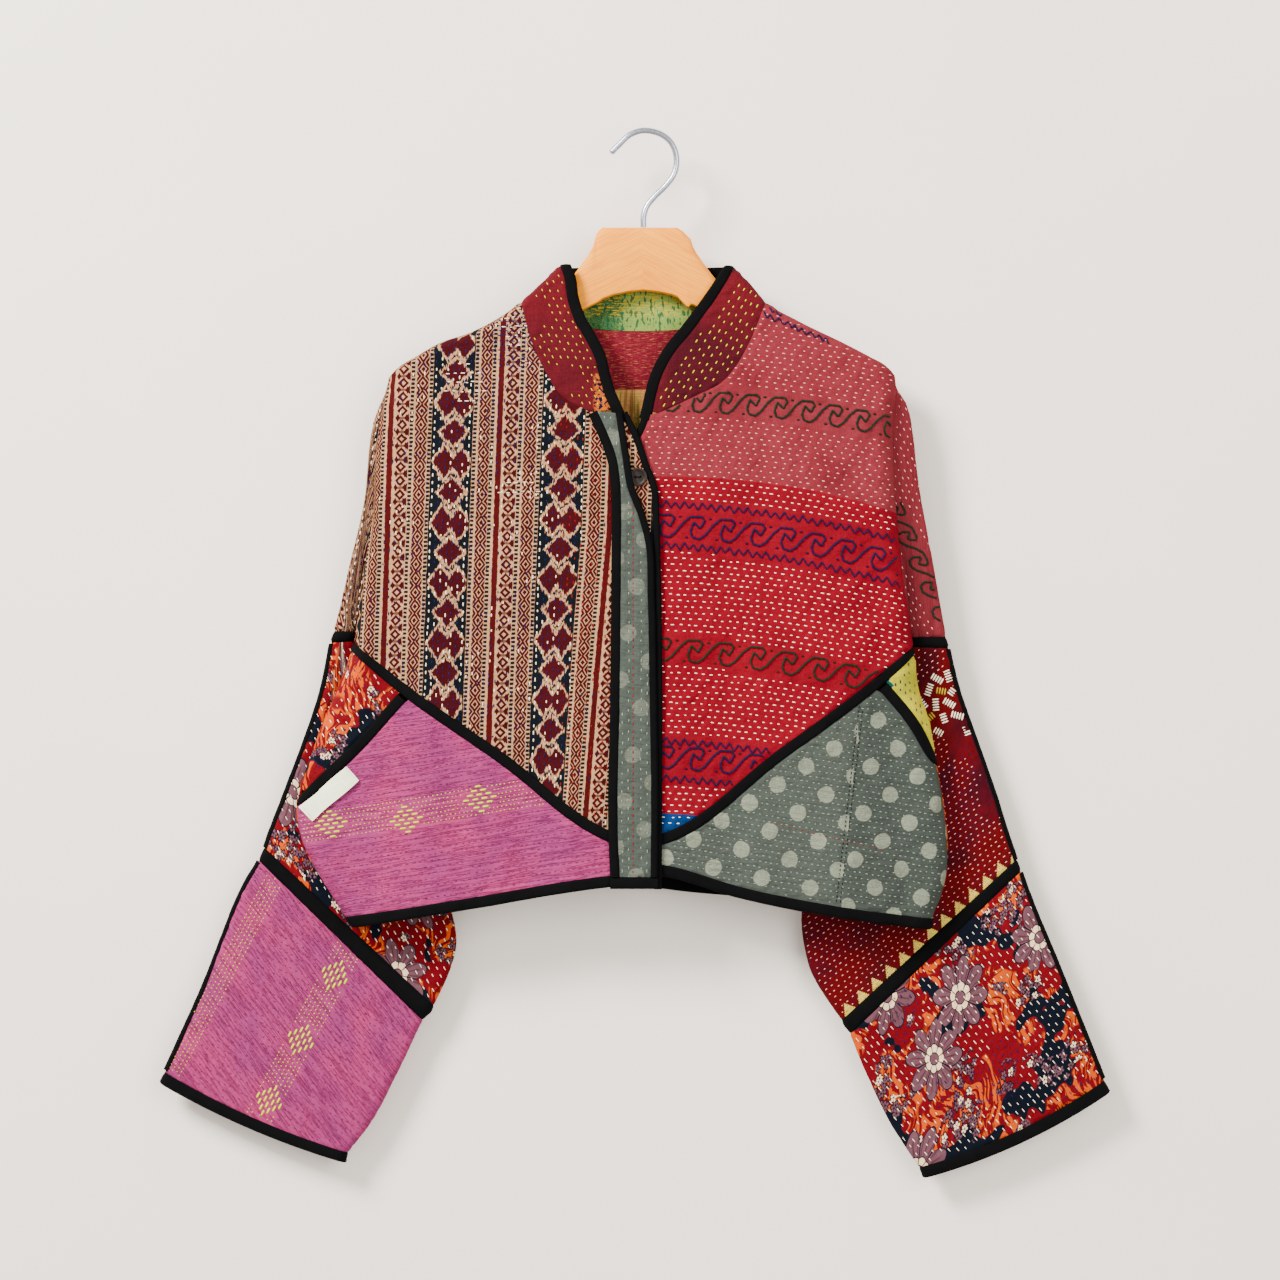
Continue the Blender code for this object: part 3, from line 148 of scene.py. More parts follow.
SIDE_SEAM_LEFT = [(-279.5, -548), (-265, -534), (-234, -505), (-195, -462)]
SIDE_SEAM_RIGHT = [(198, -453), (221, -481), (240.5, -516)]
HEM_TOP_LEFT = [(-240, -641), (-130, -623), (-21, -605.5), (10, -603.5)]
HEM_TOP_RIGHT = [(-9, -595.5), (15.6, -597), (81, -615.5), (130, -626), (190, -636), (241, -642.5)]
HEM_TOP_BACK = [(-243, -640), (-130, -618), (-20, -606), (40, -612.5), (120, -620), (241, -642)]

NECK_SHARE_LEFT = 0.42  # share of the yoke's width at which the shoulder meets the neck
NECK_SHARE_RIGHT = 0.55
YOKE_JUNCTION_LEFT = 0.165  # share of the seam at which the side seam meets it
YOKE_JUNCTION_RIGHT = 0.885

# Where along a piece its points lie. They crowd where the cloth turns over an edge.
SHOULDER_STEPS = [0, 0.005, 0.025, 0.055, 0.1, 0.16, 0.2556, 0.3929, 0.55, 0.78, 1]
SIDE_STEPS = [0, 0.03, 0.08, 0.16, 0.28, 0.46, 0.73, 1]
DOWN_YOKE = [0, 0.0015, 0.006, 0.014, 0.028, 0.06, 0.11, 0.17, 0.25, 0.35, 0.46, 0.58, 0.70, 0.82, 0.92, 1]
NECK_STEPS = [0, 0.008, 0.03, 0.07, 0.15, 0.30, 0.45, 0.60, 0.75, 0.88, 1]

# Sleeve stations from the armhole to the cuff. The outer edge is the fold over the arm.
# Columns: outer x, outer z, inner x, inner z, outer y, inner y, half depth, bow of the ring's line.
RIGHT_SLEEVE = [
    (211, -204, 219.5, -404, 5.5, 14.0, 4.4, -6.0),
    (221, -235, 220.0, -406, 8.0, 14.2, 4.4, -3.0),
    (228, -290, 220.5, -408, 10.0, 14.4, 4.4, -1.0),
    (239, -350, 221.0, -410, 12.0, 14.7, 4.4, 0.0),
    (250, -411.5, 221.4, -412.5, 13.5, 15.0, 4.4, 0.0),
    (252.5, -422, 222.0, -421, 14.0, 15.4, 4.4, 0.0),
    (260.5, -455, 215.0, -452, 17.2, 18.2, 4.5, 0.0),
    (275.5, -498, 195.0, -508, 18.2, 18.2, 4.6, 0.0),
    (291, -542, 163.0, -566, 18.2, 18.2, 4.6, 0.0),
    (302, -577, 135.0, -625, 18.2, 18.2, 4.6, 0.0),
    (306, -588, 139.0, -682, 18.2, 18.2, 4.6, 0.0),
    (308.5, -596, 165.5, -727, 18.2, 18.2, 4.6, 0.0),
    (312.5, -606, 173.0, -739, 18.2, 18.2, 4.7, 0.0),
    (324, -637, 184.5, -767, 18.2, 18.2, 4.8, 2.0),
    (349, -697, 205.5, -811, 18.2, 18.2, 5.0, 5.0),
    (381, -777, 229.5, -848.5, 18.0, 18.0, 5.2, 7.0),
    (386, -787.5, 233.5, -858, 18.0, 18.0, 5.2, 7.0),
]
LEFT_SLEEVE = [
    (-211, -208, -232.2, -394, 5.8, 14.0, 4.4, 0.0),
    (-221, -248, -233.0, -398.5, 6.4, 14.2, 4.4, 0.0),
    (-226.5, -300, -234.0, -402, 7.8, 14.4, 4.4, 0.5),
    (-238, -350, -234.8, -405.2, 11.0, 14.7, 4.4, 0.0),
    (-251.5, -407, -235.2, -408, 13.5, 15.0, 4.4, 0.0),
    (-254.5, -417.5, -236.0, -416.5, 14.0, 15.4, 4.4, 0.0),
    (-261.5, -452, -229.0, -450, 17.2, 18.2, 4.5, 0.0),
    (-271, -483, -214.0, -502, 18.2, 18.2, 4.6, 0.0),
    (-285, -521, -192.0, -562, 18.2, 18.2, 4.6, 0.0),
    (-298, -555, -166.0, -615, 18.2, 18.2, 4.6, 0.0),
    (-305, -573, -153.0, -665, 18.2, 18.2, 4.6, 0.0),
    (-309.5, -586, -171.0, -715, 18.2, 18.2, 4.6, 0.0),
    (-314.5, -597, -180.5, -728, 18.2, 18.2, 4.7, 0.0),
    (-332, -629, -198.5, -765, 18.2, 18.2, 4.8, 1.0),
    (-360, -700, -220.0, -807, 18.2, 18.2, 5.0, 3.0),
    (-391.5, -770, -241.5, -836.5, 18.0, 18.0, 5.2, 5.0),
    (-396, -780, -243.5, -845.5, 18.0, 18.0, 5.2, 5.0),
]
# First and last station of each stretch of the sleeve.
UPPER = (0, 4)
UPPER_BAND = (4, 5)
MIDDLE = (5, 11)
LOWER_BAND = (11, 12)
CUFF_PANEL = (12, 15)
CUFF = (15, 16)
SLEEVE_EDGE_ROUND = 6.5  # how far from its fold the sleeve's face reaches its full depth
ARMHOLE_GAP = -1.2  # how far from the body's folds the sleeve's rings begin
ARMHOLE_GROWTH = 0.3
OVERARM_LIFT = 1.4  # thickness of the overarm tape

BUTTON_CENTRE = (-2.5, -282.5)
BUTTON_RADIUS = 7.5
BUTTON_THICKNESS = 2.2
BUTTON_HOLE_RADIUS = 0.9
BUTTON_HOLE_OFFSET = 2.0
LABEL_START = (-278, -551.5)
LABEL_END = (-240, -518)
LABEL_HEIGHT = 15.2
LABEL_LENGTH = 51.0
LABEL_GRID = (46, 20)  # points along it and down it
LABEL_SEAMS = (1.3, 49.4)  # how far along it its two rows of stitches lie
LABEL_OVER_BAND = 0.9  # how far it stands out from the band under it

HOOK_WIRE = 5.0
HOOK_LINE = [  # x, z of the wire's middle
    (2, -76.5), (2.1, -68), (4.5, -60), (10.7, -52), (20.2, -42.6), (26.8, -33.6), (29.2, -23.8),
    (27.9, -13.9), (23.8, -6.2), (16.8, -0.6), (8.4, 2.2), (0, 2.5), (-9, -0.8), (-17.6, -8.6), (-25, -16),
]
HANGER_MIDDLE = 1.6
HANGER_THICKNESS = 11.0
RIGHT_BOARD = [  # x, top z, bottom z
    (0.2, -77, -128.8), (12, -77, -130), (24, -77, -132.5), (33, -77, -136), (36.2, -79.5, -138.5),
    (41.5, -93.5, -141), (50, -106.5, -145.5), (60, -119.5, -150), (80, -134, -160), (100.3, -144, -170),
    (126, -155.5, -181), (150, -167.0, -191), (172, -178, -200), (182, -184, -205), (187, -189.5, -201),
]
CROWN_WIDTH = 4.4  # flat along the board's top, under the shoulder line
CROWN_DROP = 5.0
SHOULDER_CLEARANCE = 2.0  # from the shoulder line to the board under it


# Curves


def curve(points):
    """A smooth line through the points, as a function of the share from 0 to 1 along their chords."""
    points = np.array(points, float)
    chords = np.linalg.norm(np.diff(points, axis=0), axis=1)
    knots = np.concatenate([[0], np.cumsum(chords)]) / chords.sum()
    return through(points, knots)


def through(points, knots):
    """Cubic spans through the points at the given knots, with slopes from the neighbouring points."""
    slopes = np.gradient(points, knots, axis=0)

    def at(share):
        share = np.clip(np.asarray(share, float), knots[0], knots[-1])
        span = np.clip(np.searchsorted(knots, share, side="right") - 1, 0, len(knots) - 2)
        length = knots[span + 1] - knots[span]
        t = ((share - knots[span]) / length)[..., None]
        length = length[..., None]
        start, end = points[span], points[span + 1]
        return (
            start * (1 + 2 * t) * (1 - t) ** 2
            + end * t**2 * (3 - 2 * t)
            + slopes[span] * length * t * (1 - t) ** 2
            + slopes[span + 1] * length * t**2 * (t - 1)
        )

    return at


def height_function(table):
    """A smooth function through a table of (position, value), read along its finely divided curve."""
    dense = curve(table)(np.linspace(0, 1, 400))
    order = np.argsort(dense[:, 0])
    positions, values = dense[order, 0], dense[order, 1]
    return lambda position: np.interp(position, positions, values)


def chain(parts, joints):
    """One edge from several curves end to end. joints are the shares at which one gives way to the next."""
    bounds = [0, *joints, 1]

    def at(share):
        share = np.asarray(share, float)
        found = np.zeros(share.shape + (2,))
        for part, low, high in zip(parts, bounds[:-1], bounds[1:]):
            inside = (share >= low) & (share <= high)
            found[inside] = part((share[inside] - low) / (high - low))
        return found

    return at


def between(line, low, high):
    """The stretch of a line from share low to share high, which may run backwards."""
    return lambda share: line(low + (high - low) * np.asarray(share, float))


def beside(line, distance):
    """The line moved sideways by distance, to the left of the way it runs."""

    def at(share):
        share = np.asarray(share, float)
        ahead = line(np.clip(share + 1e-3, 0, 1)) - line(np.clip(share - 1e-3, 0, 1))
        ahead /= np.linalg.norm(ahead, axis=-1, keepdims=True)
        return line(share) + distance * np.stack([-ahead[..., 1], ahead[..., 0]], axis=-1)

    return at


def straight(start, end):
    return curve([start, end])


# The two faces of the body


shoulder_height = height_function(SHOULDER_LINE)
left_fold = height_function(LEFT_FOLD)
right_fold = height_function(RIGHT_FOLD)
hang_depth = height_function(HANG)
front_edge = height_function(FRONT_EDGE)
back_edge = height_function(BACK_EDGE)


def smooth_step(value, low, high):
    share = np.clip((value - low) / (high - low), 0, 1)
    return share**2 * (3 - 2 * share)


def round_share(distance, reach):
    """0 at an edge and 1 past reach, along a quarter circle."""
    inside = 1 - np.clip(distance / reach, 0, 1)
    return np.sqrt(np.clip(1 - inside**2, 0, 1))


def side_distance(x, z):
    return np.clip(np.minimum(x - left_fold(z), right_fold(z) - x), 0, None)


def top_distance(x, z):
    return np.clip(shoulder_height(x) - z, 0, None)


def outline_normal(x, z):
    """The way out of the body's outline in the plane of the faces, from its nearest point."""
    near = 0.5
    rise = (shoulder_height(x + near) - shoulder_height(x - near)) / (2 * near)
    left_run = left_fold(z + near) - left_fold(z - near)
    right_run = right_fold(z + near) - right_fold(z - near)
    fold = np.where(x < 0, left_run, right_run)
    over_top = np.stack([-rise, 0 * x, np.ones_like(x)], axis=-1)
    over_side = np.stack([np.sign(x), 0 * x, -np.sign(x) * fold / (2 * near)], axis=-1)
    found = np.where((top_distance(x, z) < side_distance(x, z))[..., None], over_top, over_side)
    return found / np.linalg.norm(found, axis=-1, keepdims=True)


def fold_relief(x, z):
    """Soft ridges and troughs that run down the front, each as high as its table row says."""
    relief = np.zeros_like(x)
    for top_x, top_z, bottom_x, bottom_z, width, height in FOLDS:
        down = np.clip((top_z - z) / (top_z - bottom_z), 0, 1)
        middle = top_x + (bottom_x - top_x) * down
        relief += height * smooth_step(down, 0, 0.45) * np.exp(-(((x - middle) / width) ** 2))
    return relief


CROWN_HALF = 262.0  # how far from the middle the front's crown reaches


def face_depth(x, z, facing):
    """y of the middle of the cloth. facing is -1 on the front and 1 on the back.

    The two faces share the depth of the shoulder line and part below it. Each comes from its side edges
    to its full depth along a quarter turn.
    """
    ridge = 3.9 * smooth_step(np.abs(x), 188, 206)
    if facing < 0:
        crown = np.clip(1 - (x / CROWN_HALF) ** 2, 0, 1)
        full = -(BREAST_DEPTH + hang_depth(z) * crown + fold_relief(x, z))
        edge = front_edge(z)
    else:
        full = BACK_DEPTH + 0 * x
        edge = back_edge(z)
    from_side, from_top = side_distance(x, z), top_distance(x, z)
    base = ridge + (edge - ridge) * from_top / (from_top + from_side + 1e-6)
    swing = full - edge
    turned = round_share(from_side, np.clip(1.5 * np.abs(swing), 3, SIDE_ROUND))
    soft = smooth_step(from_side, 0, 12)
    sharp = smooth_step(np.abs(swing), 1, 3)
    share = np.minimum(turned * sharp + soft * (1 - sharp), round_share(from_top, SHOULDER_ROUND))
    return base + (full - base) * share


def left_lap(x):
    """How far the left front stands out where it laps over the right one."""
    return LAYER_STEP * smooth_step(x, -78, -40)


def fly_lift(x, z):
    """The fly strip stands one layer further out, and a little more where it passes over the button."""
    bulge = 2.6 * np.exp(-(((z - BUTTON_CENTRE[1]) / 30) ** 2))
    return left_lap(x) + LAYER_STEP + bulge


def no_lift(x, z):
    return np.zeros_like(x)


def lap_lift(x, z):
    return left_lap(x)


# Grids on the faces


def face_grid(flat, facing, lift):
    """The flat points (x, z) of a piece set on the front or the back face, with the face's own normals."""
    x, z = flat[..., 0], flat[..., 1]
    near = 0.15

    def depth(x, z):
        return face_depth(x, z, facing) + facing * lift(x, z)

    slope_x = (depth(x + near, z) - depth(x - near, z)) / (2 * near)
    slope_z = (depth(x, z + near) - depth(x, z - near)) / (2 * near)
    normals = facing * np.stack([-slope_x, np.ones_like(x), -slope_z], axis=-1)
    steep = (np.hypot(slope_x, slope_z) > 2) | ((np.abs(x) > 196) & (z > -215))
    on_edge = steep & (np.minimum(side_distance(x, z), top_distance(x, z)) < 0.08)
    normals = np.where(on_edge[..., None], outline_normal(x, z), normals)
    middle = np.stack([x, depth(x, z), z], axis=-1)
    return middle, normals / np.linalg.norm(normals, axis=-1, keepdims=True)


def patch(top, bottom, left, right, across, down):
    """Flat points of a four-sided piece: each is a mean of its edges, weighed by how near they are.

    The ends of the left and right edges are eased onto the corners of the top and bottom ones.
    """
    across, down = np.array(across, float), np.array(down, float)
    u, v = across[None, :, None], down[:, None, None]
    upper, lower = top(across)[None], bottom(across)[None]
    start, end = left(down)[:, None], right(down)[:, None]
    start = start + (upper[:, :1] - start[:1]) * (1 - v) ** 8 + (lower[:, :1] - start[-1:]) * v**8
    end = end + (upper[:, -1:] - end[:1]) * (1 - v) ** 8 + (lower[:, -1:] - end[-1:]) * v**8
    corners = (1 - u) * (1 - v) * upper[:, :1] + u * (1 - v) * upper[:, -1:]
    corners = corners + (1 - u) * v * lower[:, :1] + u * v * lower[:, -1:]
    return (1 - v) * upper + v * lower + (1 - u) * start + u * end - corners


def share_at(line, height):
    """The share at which a line that runs down passes a height."""
    shares = np.linspace(0, 1, 400)
    return float(np.interp(-height, -line(shares)[:, 1], shares))


def nearest_share(line, point, low, high):
    """The share between low and high at which a line comes nearest to a point."""
    tried = np.linspace(low, high, 400)
    return tried[np.argmin(np.linalg.norm(line(tried) - point, axis=-1))]


def on_folds(line, ends):
    """The line with its start moved sideways to the left fold, its end to the right fold, or both."""

    def at(share):
        share = np.asarray(share, float)
        found = line(share)
        if "left" in ends:
            start = line(0.0)
            found[..., 0] += (left_fold(start[1]) - start[0]) * (1 - share) ** 12
        if "right" in ends:
            end = line(1.0)
            found[..., 0] += (right_fold(end[1]) - end[0]) * share**12
        if ends:
            found[..., 0] = np.clip(found[..., 0], left_fold(found[..., 1]), right_fold(found[..., 1]))
        return found

    return at


def ridge(start, end):
    """The stretch of the shoulder and collar line from x start to x end."""

    def at(share):
        x = start + (end - start) * np.asarray(share, float)
        return np.stack([x, shoulder_height(x)], axis=-1)

    return at


def evenly(low, high, count):
    return np.linspace(low, high, count)


def merged(*lists):
    """The shares of several lists in order, each once."""
    every = np.unique(np.round(np.concatenate([np.asarray(part, float) for part in lists]), 6))
    return every[np.concatenate([[True], np.diff(every) > 1e-4])]


# Edges that several pieces share


RUN_UNDER = 0.8  # how far a cloth's edge runs under its binding
HALF = BINDING_WIDTH / 2 - RUN_UNDER  # from a binding's middle to the edge of its cloth
HALF_NARROW = NARROW_BINDING / 2 - RUN_UNDER
TIP_LEFT, TIP_RIGHT = -206.0, 207.0
COLLAR_OVERLAP = 0.3

shoulder_left = ridge(TIP_LEFT, NECK_LEFT[0][0])
shoulder_right = ridge(NECK_RIGHT[0][0], TIP_RIGHT)
neck_left, neck_right, neck_back = curve(NECK_LEFT), curve(NECK_RIGHT), curve(NECK_BACK)
seam_left, seam_right = curve(YOKE_SEAM_LEFT), curve(YOKE_SEAM_RIGHT)
seam_back = curve(YOKE_SEAM_BACK)
placket = curve(PLACKET_TAPE)
right_edge = curve(RIGHT_EDGE_TAPE)


def fold_line(function, top, bottom):
    """A side fold from height top to height bottom."""

    def at(share):
        z = top + (bottom - top) * np.asarray(share, float)
        return np.stack([function(z), z], axis=-1)

    return at


def pulled(line, goal, end, power=8):
    """The line with one end (0 or 1) moved to goal, easing out along the rest."""

    def at(share):
        share = np.asarray(share, float)[..., None]
        near = share if end else 1 - share
        return line(share[..., 0]) + (np.asarray(goal, float) - line(float(end))) * near**power

    return at


def lifted(line, up):
    return lambda share: line(share) + np.array([0, up])


def on_ridge(line, ends=(0,)):
    """The line with its start or end moved up or down onto the shoulder and collar line."""
    for end in ends:
        place = line(float(end))
        line = pulled(line, (place[0], shoulder_height(place[0])), end, 12)
    return line


# Meshes


def finer(shares, length, cell):
    """The shares, with each gap parted evenly: on a line of that length, no part is longer than cell."""
    shares = np.asarray(shares, float)
    parts = []
    for low, high in zip(shares[:-1], shares[1:]):
        count = max(1, math.ceil((high - low) * length / cell))
        parts.append(np.linspace(low, high, count, endpoint=False))
    return np.concatenate([*parts, shares[-1:]])


def grid_quads(rows, columns, wrap=False):
    """Corners of the quads between the points of a grid that is numbered row by row."""
    index = np.arange(rows * columns).reshape(rows, columns)
    if wrap:
        index = np.concatenate([index, index[:, :1]], axis=1)
    corners = (index[:-1, :-1], index[:-1, 1:], index[1:, 1:], index[1:, :-1])
    return np.stack([corner.ravel() for corner in corners], axis=-1)


def outward(points, faces):
    """The faces turned round if the volume that they enclose, summed from corner triangles, is negative."""
    volume = 0.0
    for second in range(1, faces.shape[1] - 1):
        a, b, c = points[faces[:, 0]], points[faces[:, second]], points[faces[:, second + 1]]
        volume += np.einsum("ij,ij->i", a, np.cross(b, c)).sum()
    return faces[:, ::-1] if volume < 0 else faces


def new_object(name, points, faces, finishes, chosen=None, place=None, sharp=60):
    """A mesh object from points in millimetres and lists of corners, one finish number a face.

    place gives each point's (u, v) in the cloth, in millimetres, kept as the UV map "cloth" in metres.
    """
    mesh = bpy.data.meshes.new(name)
    mesh.from_pydata((points * MM).tolist(), [], faces)
    for finish in finishes:
        mesh.materials.append(finish)
    if chosen is not None:
        mesh.polygons.foreach_set("material_index", np.asarray(chosen, np.int32))
    if place is not None:
        corners = np.empty(len(mesh.loops), np.int32)
        mesh.loops.foreach_get("vertex_index", corners)
        layer = mesh.uv_layers.new(name="cloth")
        layer.data.foreach_set("uv", (place[corners] * MM).astype(np.float32).ravel())
    mesh.shade_smooth()
    mesh.set_sharp_from_angle(angle=math.radians(sharp))
    mesh.validate()
    piece = bpy.data.objects.new(name, mesh)
    bpy.context.scene.collection.objects.link(piece)
    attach(piece, "root")
    return piece


def shell(name, outer, inner, finishes, place=None, wrap=False, sharp=60):
    """A closed shell between two grids of points. Its inner side takes the second finish, and its rims keep
    the first.
    """
    rows, columns = outer.shape[:2]
    count = rows * columns
    points = np.concatenate([outer.reshape(-1, 3), inner.reshape(-1, 3)])
    front = grid_quads(rows, columns, wrap)
    back = front[:, ::-1] + count
    index = np.arange(count).reshape(rows, columns)
    if wrap:
        rims = [index[0], index[-1, ::-1]]
    else:
        rims = [np.concatenate([index[0, :], index[1:, -1], index[-1, -2::-1], index[-2:0:-1, 0]])]
    sides = []
    for rim in rims:
        after = np.roll(rim, -1)
        sides.append(np.stack([after, rim, rim + count, after + count], axis=-1))
    faces = outward(points, np.concatenate([front, back, *sides]))
    chosen = np.zeros(len(faces), int)
    if len(finishes) > 1:
        chosen[len(front):len(front) + len(back)] = 1
    if place is not None:
        place = np.concatenate([place.reshape(-1, 2)] * 2)
    return new_object(name, points, faces.tolist(), finishes, chosen, place, sharp)


def pipe(points, widths, sides, up=None):
    """Points and faces of a closed round pipe along a line: rings square to it, with a point at each end.

    up holds a direction for each point that the rings keep upright, and by default it is the y axis.
    """
    count = len(points)
    ahead = np.gradient(points, axis=0)
    ahead /= np.linalg.norm(ahead, axis=-1, keepdims=True)
    up = np.array([0.0, 1.0, 0.0]) if up is None else up
    aside = np.cross(ahead, up)
    aside /= np.linalg.norm(aside, axis=-1, keepdims=True)
    over = np.cross(aside, ahead)
    turns = (np.arange(sides) + 0.5) * 2 * math.pi / sides
    widths = np.broadcast_to(widths, (count,))
    ring = np.cos(turns)[:, None] * aside[:, None] + np.sin(turns)[:, None] * over[:, None]
    rings = points[:, None] + ring * widths[:, None, None] / 2
    found = np.concatenate([rings.reshape(-1, 3), points[:1], points[-1:]])
    quads = grid_quads(count, sides, wrap=True)
    here = np.arange(sides)
    after = np.roll(here, -1)
    first, last = count * sides, count * sides + 1
    start = np.stack([after, here, np.full(sides, first)], axis=-1)
    end = np.stack([here, after, np.full(sides, last)], axis=-1)
    end[:, :2] += (count - 1) * sides
    return found, quads, np.concatenate([start, end])


# Relief of the cloth


def waviness(x, z, size, seed):
    """Soft random relief from -1 to 1: random heights on a square lattice of a size, with eased spans."""
    heights = np.random.default_rng(seed).uniform(-1, 1, (64, 64))
    a, b = x / size + 31.3, z / size + 97.7
    i, j = np.floor(a).astype(int), np.floor(b).astype(int)
    s, t = a - i, b - j
    s, t = s * s * (3 - 2 * s), t * t * (3 - 2 * t)
    corner = lambda across, up: heights[(i + across) % 64, (j + up) % 64]
    low = corner(0, 0) * (1 - s) + corner(1, 0) * s
    high = corner(0, 1) * (1 - s) + corner(1, 1) * s
    return low * (1 - t) + high * t


def creases_at(x, z, table):
    """Height of soft creases: each is a bell across a straight line, eased away at both its ends."""
    relief = np.zeros_like(x)
    for start_x, start_z, end_x, end_z, width, height in table:
        run_x, run_z = end_x - start_x, end_z - start_z
        length = math.hypot(run_x, run_z)
        along = ((x - start_x) * run_x + (z - start_z) * run_z) / length**2
        wander = 0.25 * width * np.sin(along * length / 11 + start_x)
        aside = ((x - start_x) * run_z - (z - start_z) * run_x) / length + wander
        soft = smooth_step(along, 0, 0.3) * (1 - smooth_step(along, 0.65, 1))
        relief += height * soft * np.exp(-((aside / width) ** 2))
    return relief


def edge_distance(flat, sides="tblr"):
    """How far each point of a grid is from its top, bottom, left and right rims, or from those in sides."""
    steps_across = np.linalg.norm(np.diff(flat, axis=1), axis=-1)
    steps_down = np.linalg.norm(np.diff(flat, axis=0), axis=-1)
    from_left = np.pad(np.cumsum(steps_across, axis=1), ((0, 0), (1, 0)))
    from_top = np.pad(np.cumsum(steps_down, axis=0), ((1, 0), (0, 0)))
    ways = {"l": from_left, "r": from_left[:, -1:] - from_left, "t": from_top, "b": from_top[-1:] - from_top}
    return np.min([ways[side] for side in sides], axis=0) if sides else np.full(flat.shape[:2], 99.0)


class Plan:
    """Finds the point of a grid nearest to a place (x, z), from a map of 1 mm squares."""

    def __init__(self, x, z, edge):
        self.x, self.z, self.edge = x.ravel(), z.ravel(), edge.ravel()
        self.low = np.floor([self.x.min(), self.z.min()]) - 4
        self.size = (np.ceil([self.x.max(), self.z.max()]) - self.low + 5).astype(int)
        self.squares = np.full(self.size, -1)
        column, row = self.square(self.x, self.z)
        reach = range(-2, 3)
        offsets = sorted(((a, b) for a in reach for b in reach), key=lambda pair: -math.hypot(*pair))
        for across, up in offsets:
            self.squares[column + across, row + up] = np.arange(len(self.x))

    def square(self, x, z):
        column = np.clip(np.round(x - self.low[0]).astype(int), 0, self.size[0] - 1)
        row = np.clip(np.round(z - self.low[1]).astype(int), 0, self.size[1] - 1)
        return column, row

    def nearest(self, x, z):
        """Number of the nearest grid point, or -1 off the piece."""
        return self.squares[self.square(x, z)]

    def inside(self, x, z, margin):
        """Whether a place is on the piece and at least margin from its rim."""
        found = self.nearest(x, z)
        return (found >= 0) & (self.edge[found] >= margin)


def lay_on(plan, points, normals, flat):
    """Places (x, z) set on a surface: on the plane of its nearest grid point, with that point's normal."""
    near = plan.nearest(flat[..., 0], flat[..., 1])
    base, normal = points.reshape(-1, 3)[near], normals.reshape(-1, 3)[near]
    slope = normal[..., 0] * (flat[..., 0] - base[..., 0]) + normal[..., 2] * (flat[..., 1] - base[..., 2])
    steep = np.where(np.abs(normal[..., 1]) < 0.35, 0.35 * np.sign(normal[..., 1] + 1e-9), normal[..., 1])
    y = base[..., 1] - slope / steep
    return np.stack([flat[..., 0], y, flat[..., 1]], axis=-1), normal


# Sewing


class Stitches:
    """Straight stitches of one thread: their ends (x, z) and their width."""

    def __init__(self, thread, starts, ends, width):
        self.thread, self.starts, self.ends, self.width = thread, starts, ends, width

    def kept(self, mask):
        return Stitches(self.thread, self.starts[mask], self.ends[mask], self.width)

    def middles(self):
        return (self.starts + self.ends) / 2

    def on(self, plan, margin):
        """The stitches whose middles lie on the piece, at least margin from its rim."""
        return self.kept(plan.inside(*self.middles().T, margin))


def running(
    thread, plan, angle, spacing, pitch, dash, seed, width=1.5, sag=None, where=None, margin=2.5, wander=0.5,
):
    """Rows of running stitches over a piece.

    A row runs at the angle, in degrees from x. Its stitches lie a pitch apart, half a pitch on from those of
    the row before, each moved and lengthened a little at random, and the row wanders softly aside.
    sag(x) lowers a row by that much.
    """
    chance = np.random.default_rng(seed)
    turn = math.radians(angle)
    cosine, sine = math.cos(turn), math.sin(turn)
    along = plan.x * cosine + plan.z * sine
    aside = -plan.x * sine + plan.z * cosine
    slack = 45 if sag else 0
    first, last = (aside.min() - slack) / spacing, (aside.max() + slack) / spacing
    rows = np.arange(math.floor(first), math.ceil(last) + 1)
    steps = np.arange(math.floor(along.min() / pitch) - 1, math.ceil(along.max() / pitch) + 2)
    row, step = np.meshgrid(rows, steps, indexing="ij")
    shift = 0.5 * (row % 2) + chance.uniform(-0.2, 0.2, (len(rows), 1))
    middle = (step + shift + chance.uniform(-0.13, 0.13, row.shape)) * pitch
    half = dash * (0.5 + chance.uniform(-0.14, 0.18, row.shape))
    offset = row * spacing + chance.uniform(-0.07, 0.07, row.shape) * spacing

    def place(distance):
        drift = wander * waviness(distance, row * 3.0, 55, seed + 1) * spacing
        b = offset + drift
        flat = np.stack([distance * cosine - b * sine, distance * sine + b * cosine], axis=-1)
        if sag:
            flat[..., 1] -= sag(flat[..., 0])
        return flat.reshape(-1, 2)

    found = Stitches(thread, place(middle - half), place(middle + half), width)
    centre = found.middles()
    mask = plan.inside(centre[:, 0], centre[:, 1], margin)
    if where is not None:
        mask &= where(centre[:, 0], centre[:, 1])
    return found.kept(mask)


def stitch_line(thread, start, way, steps, dash, width):
    """Stitches in a line from start along a direction, one at each of the steps."""
    starts = np.array(start, float) + way * steps[:, None]
    return Stitches(thread, starts, starts + way * dash, width)


def direction(start, end):
    """Unit vector from start to end."""
    run = np.array(end, float) - np.array(start, float)
    return run / np.linalg.norm(run)


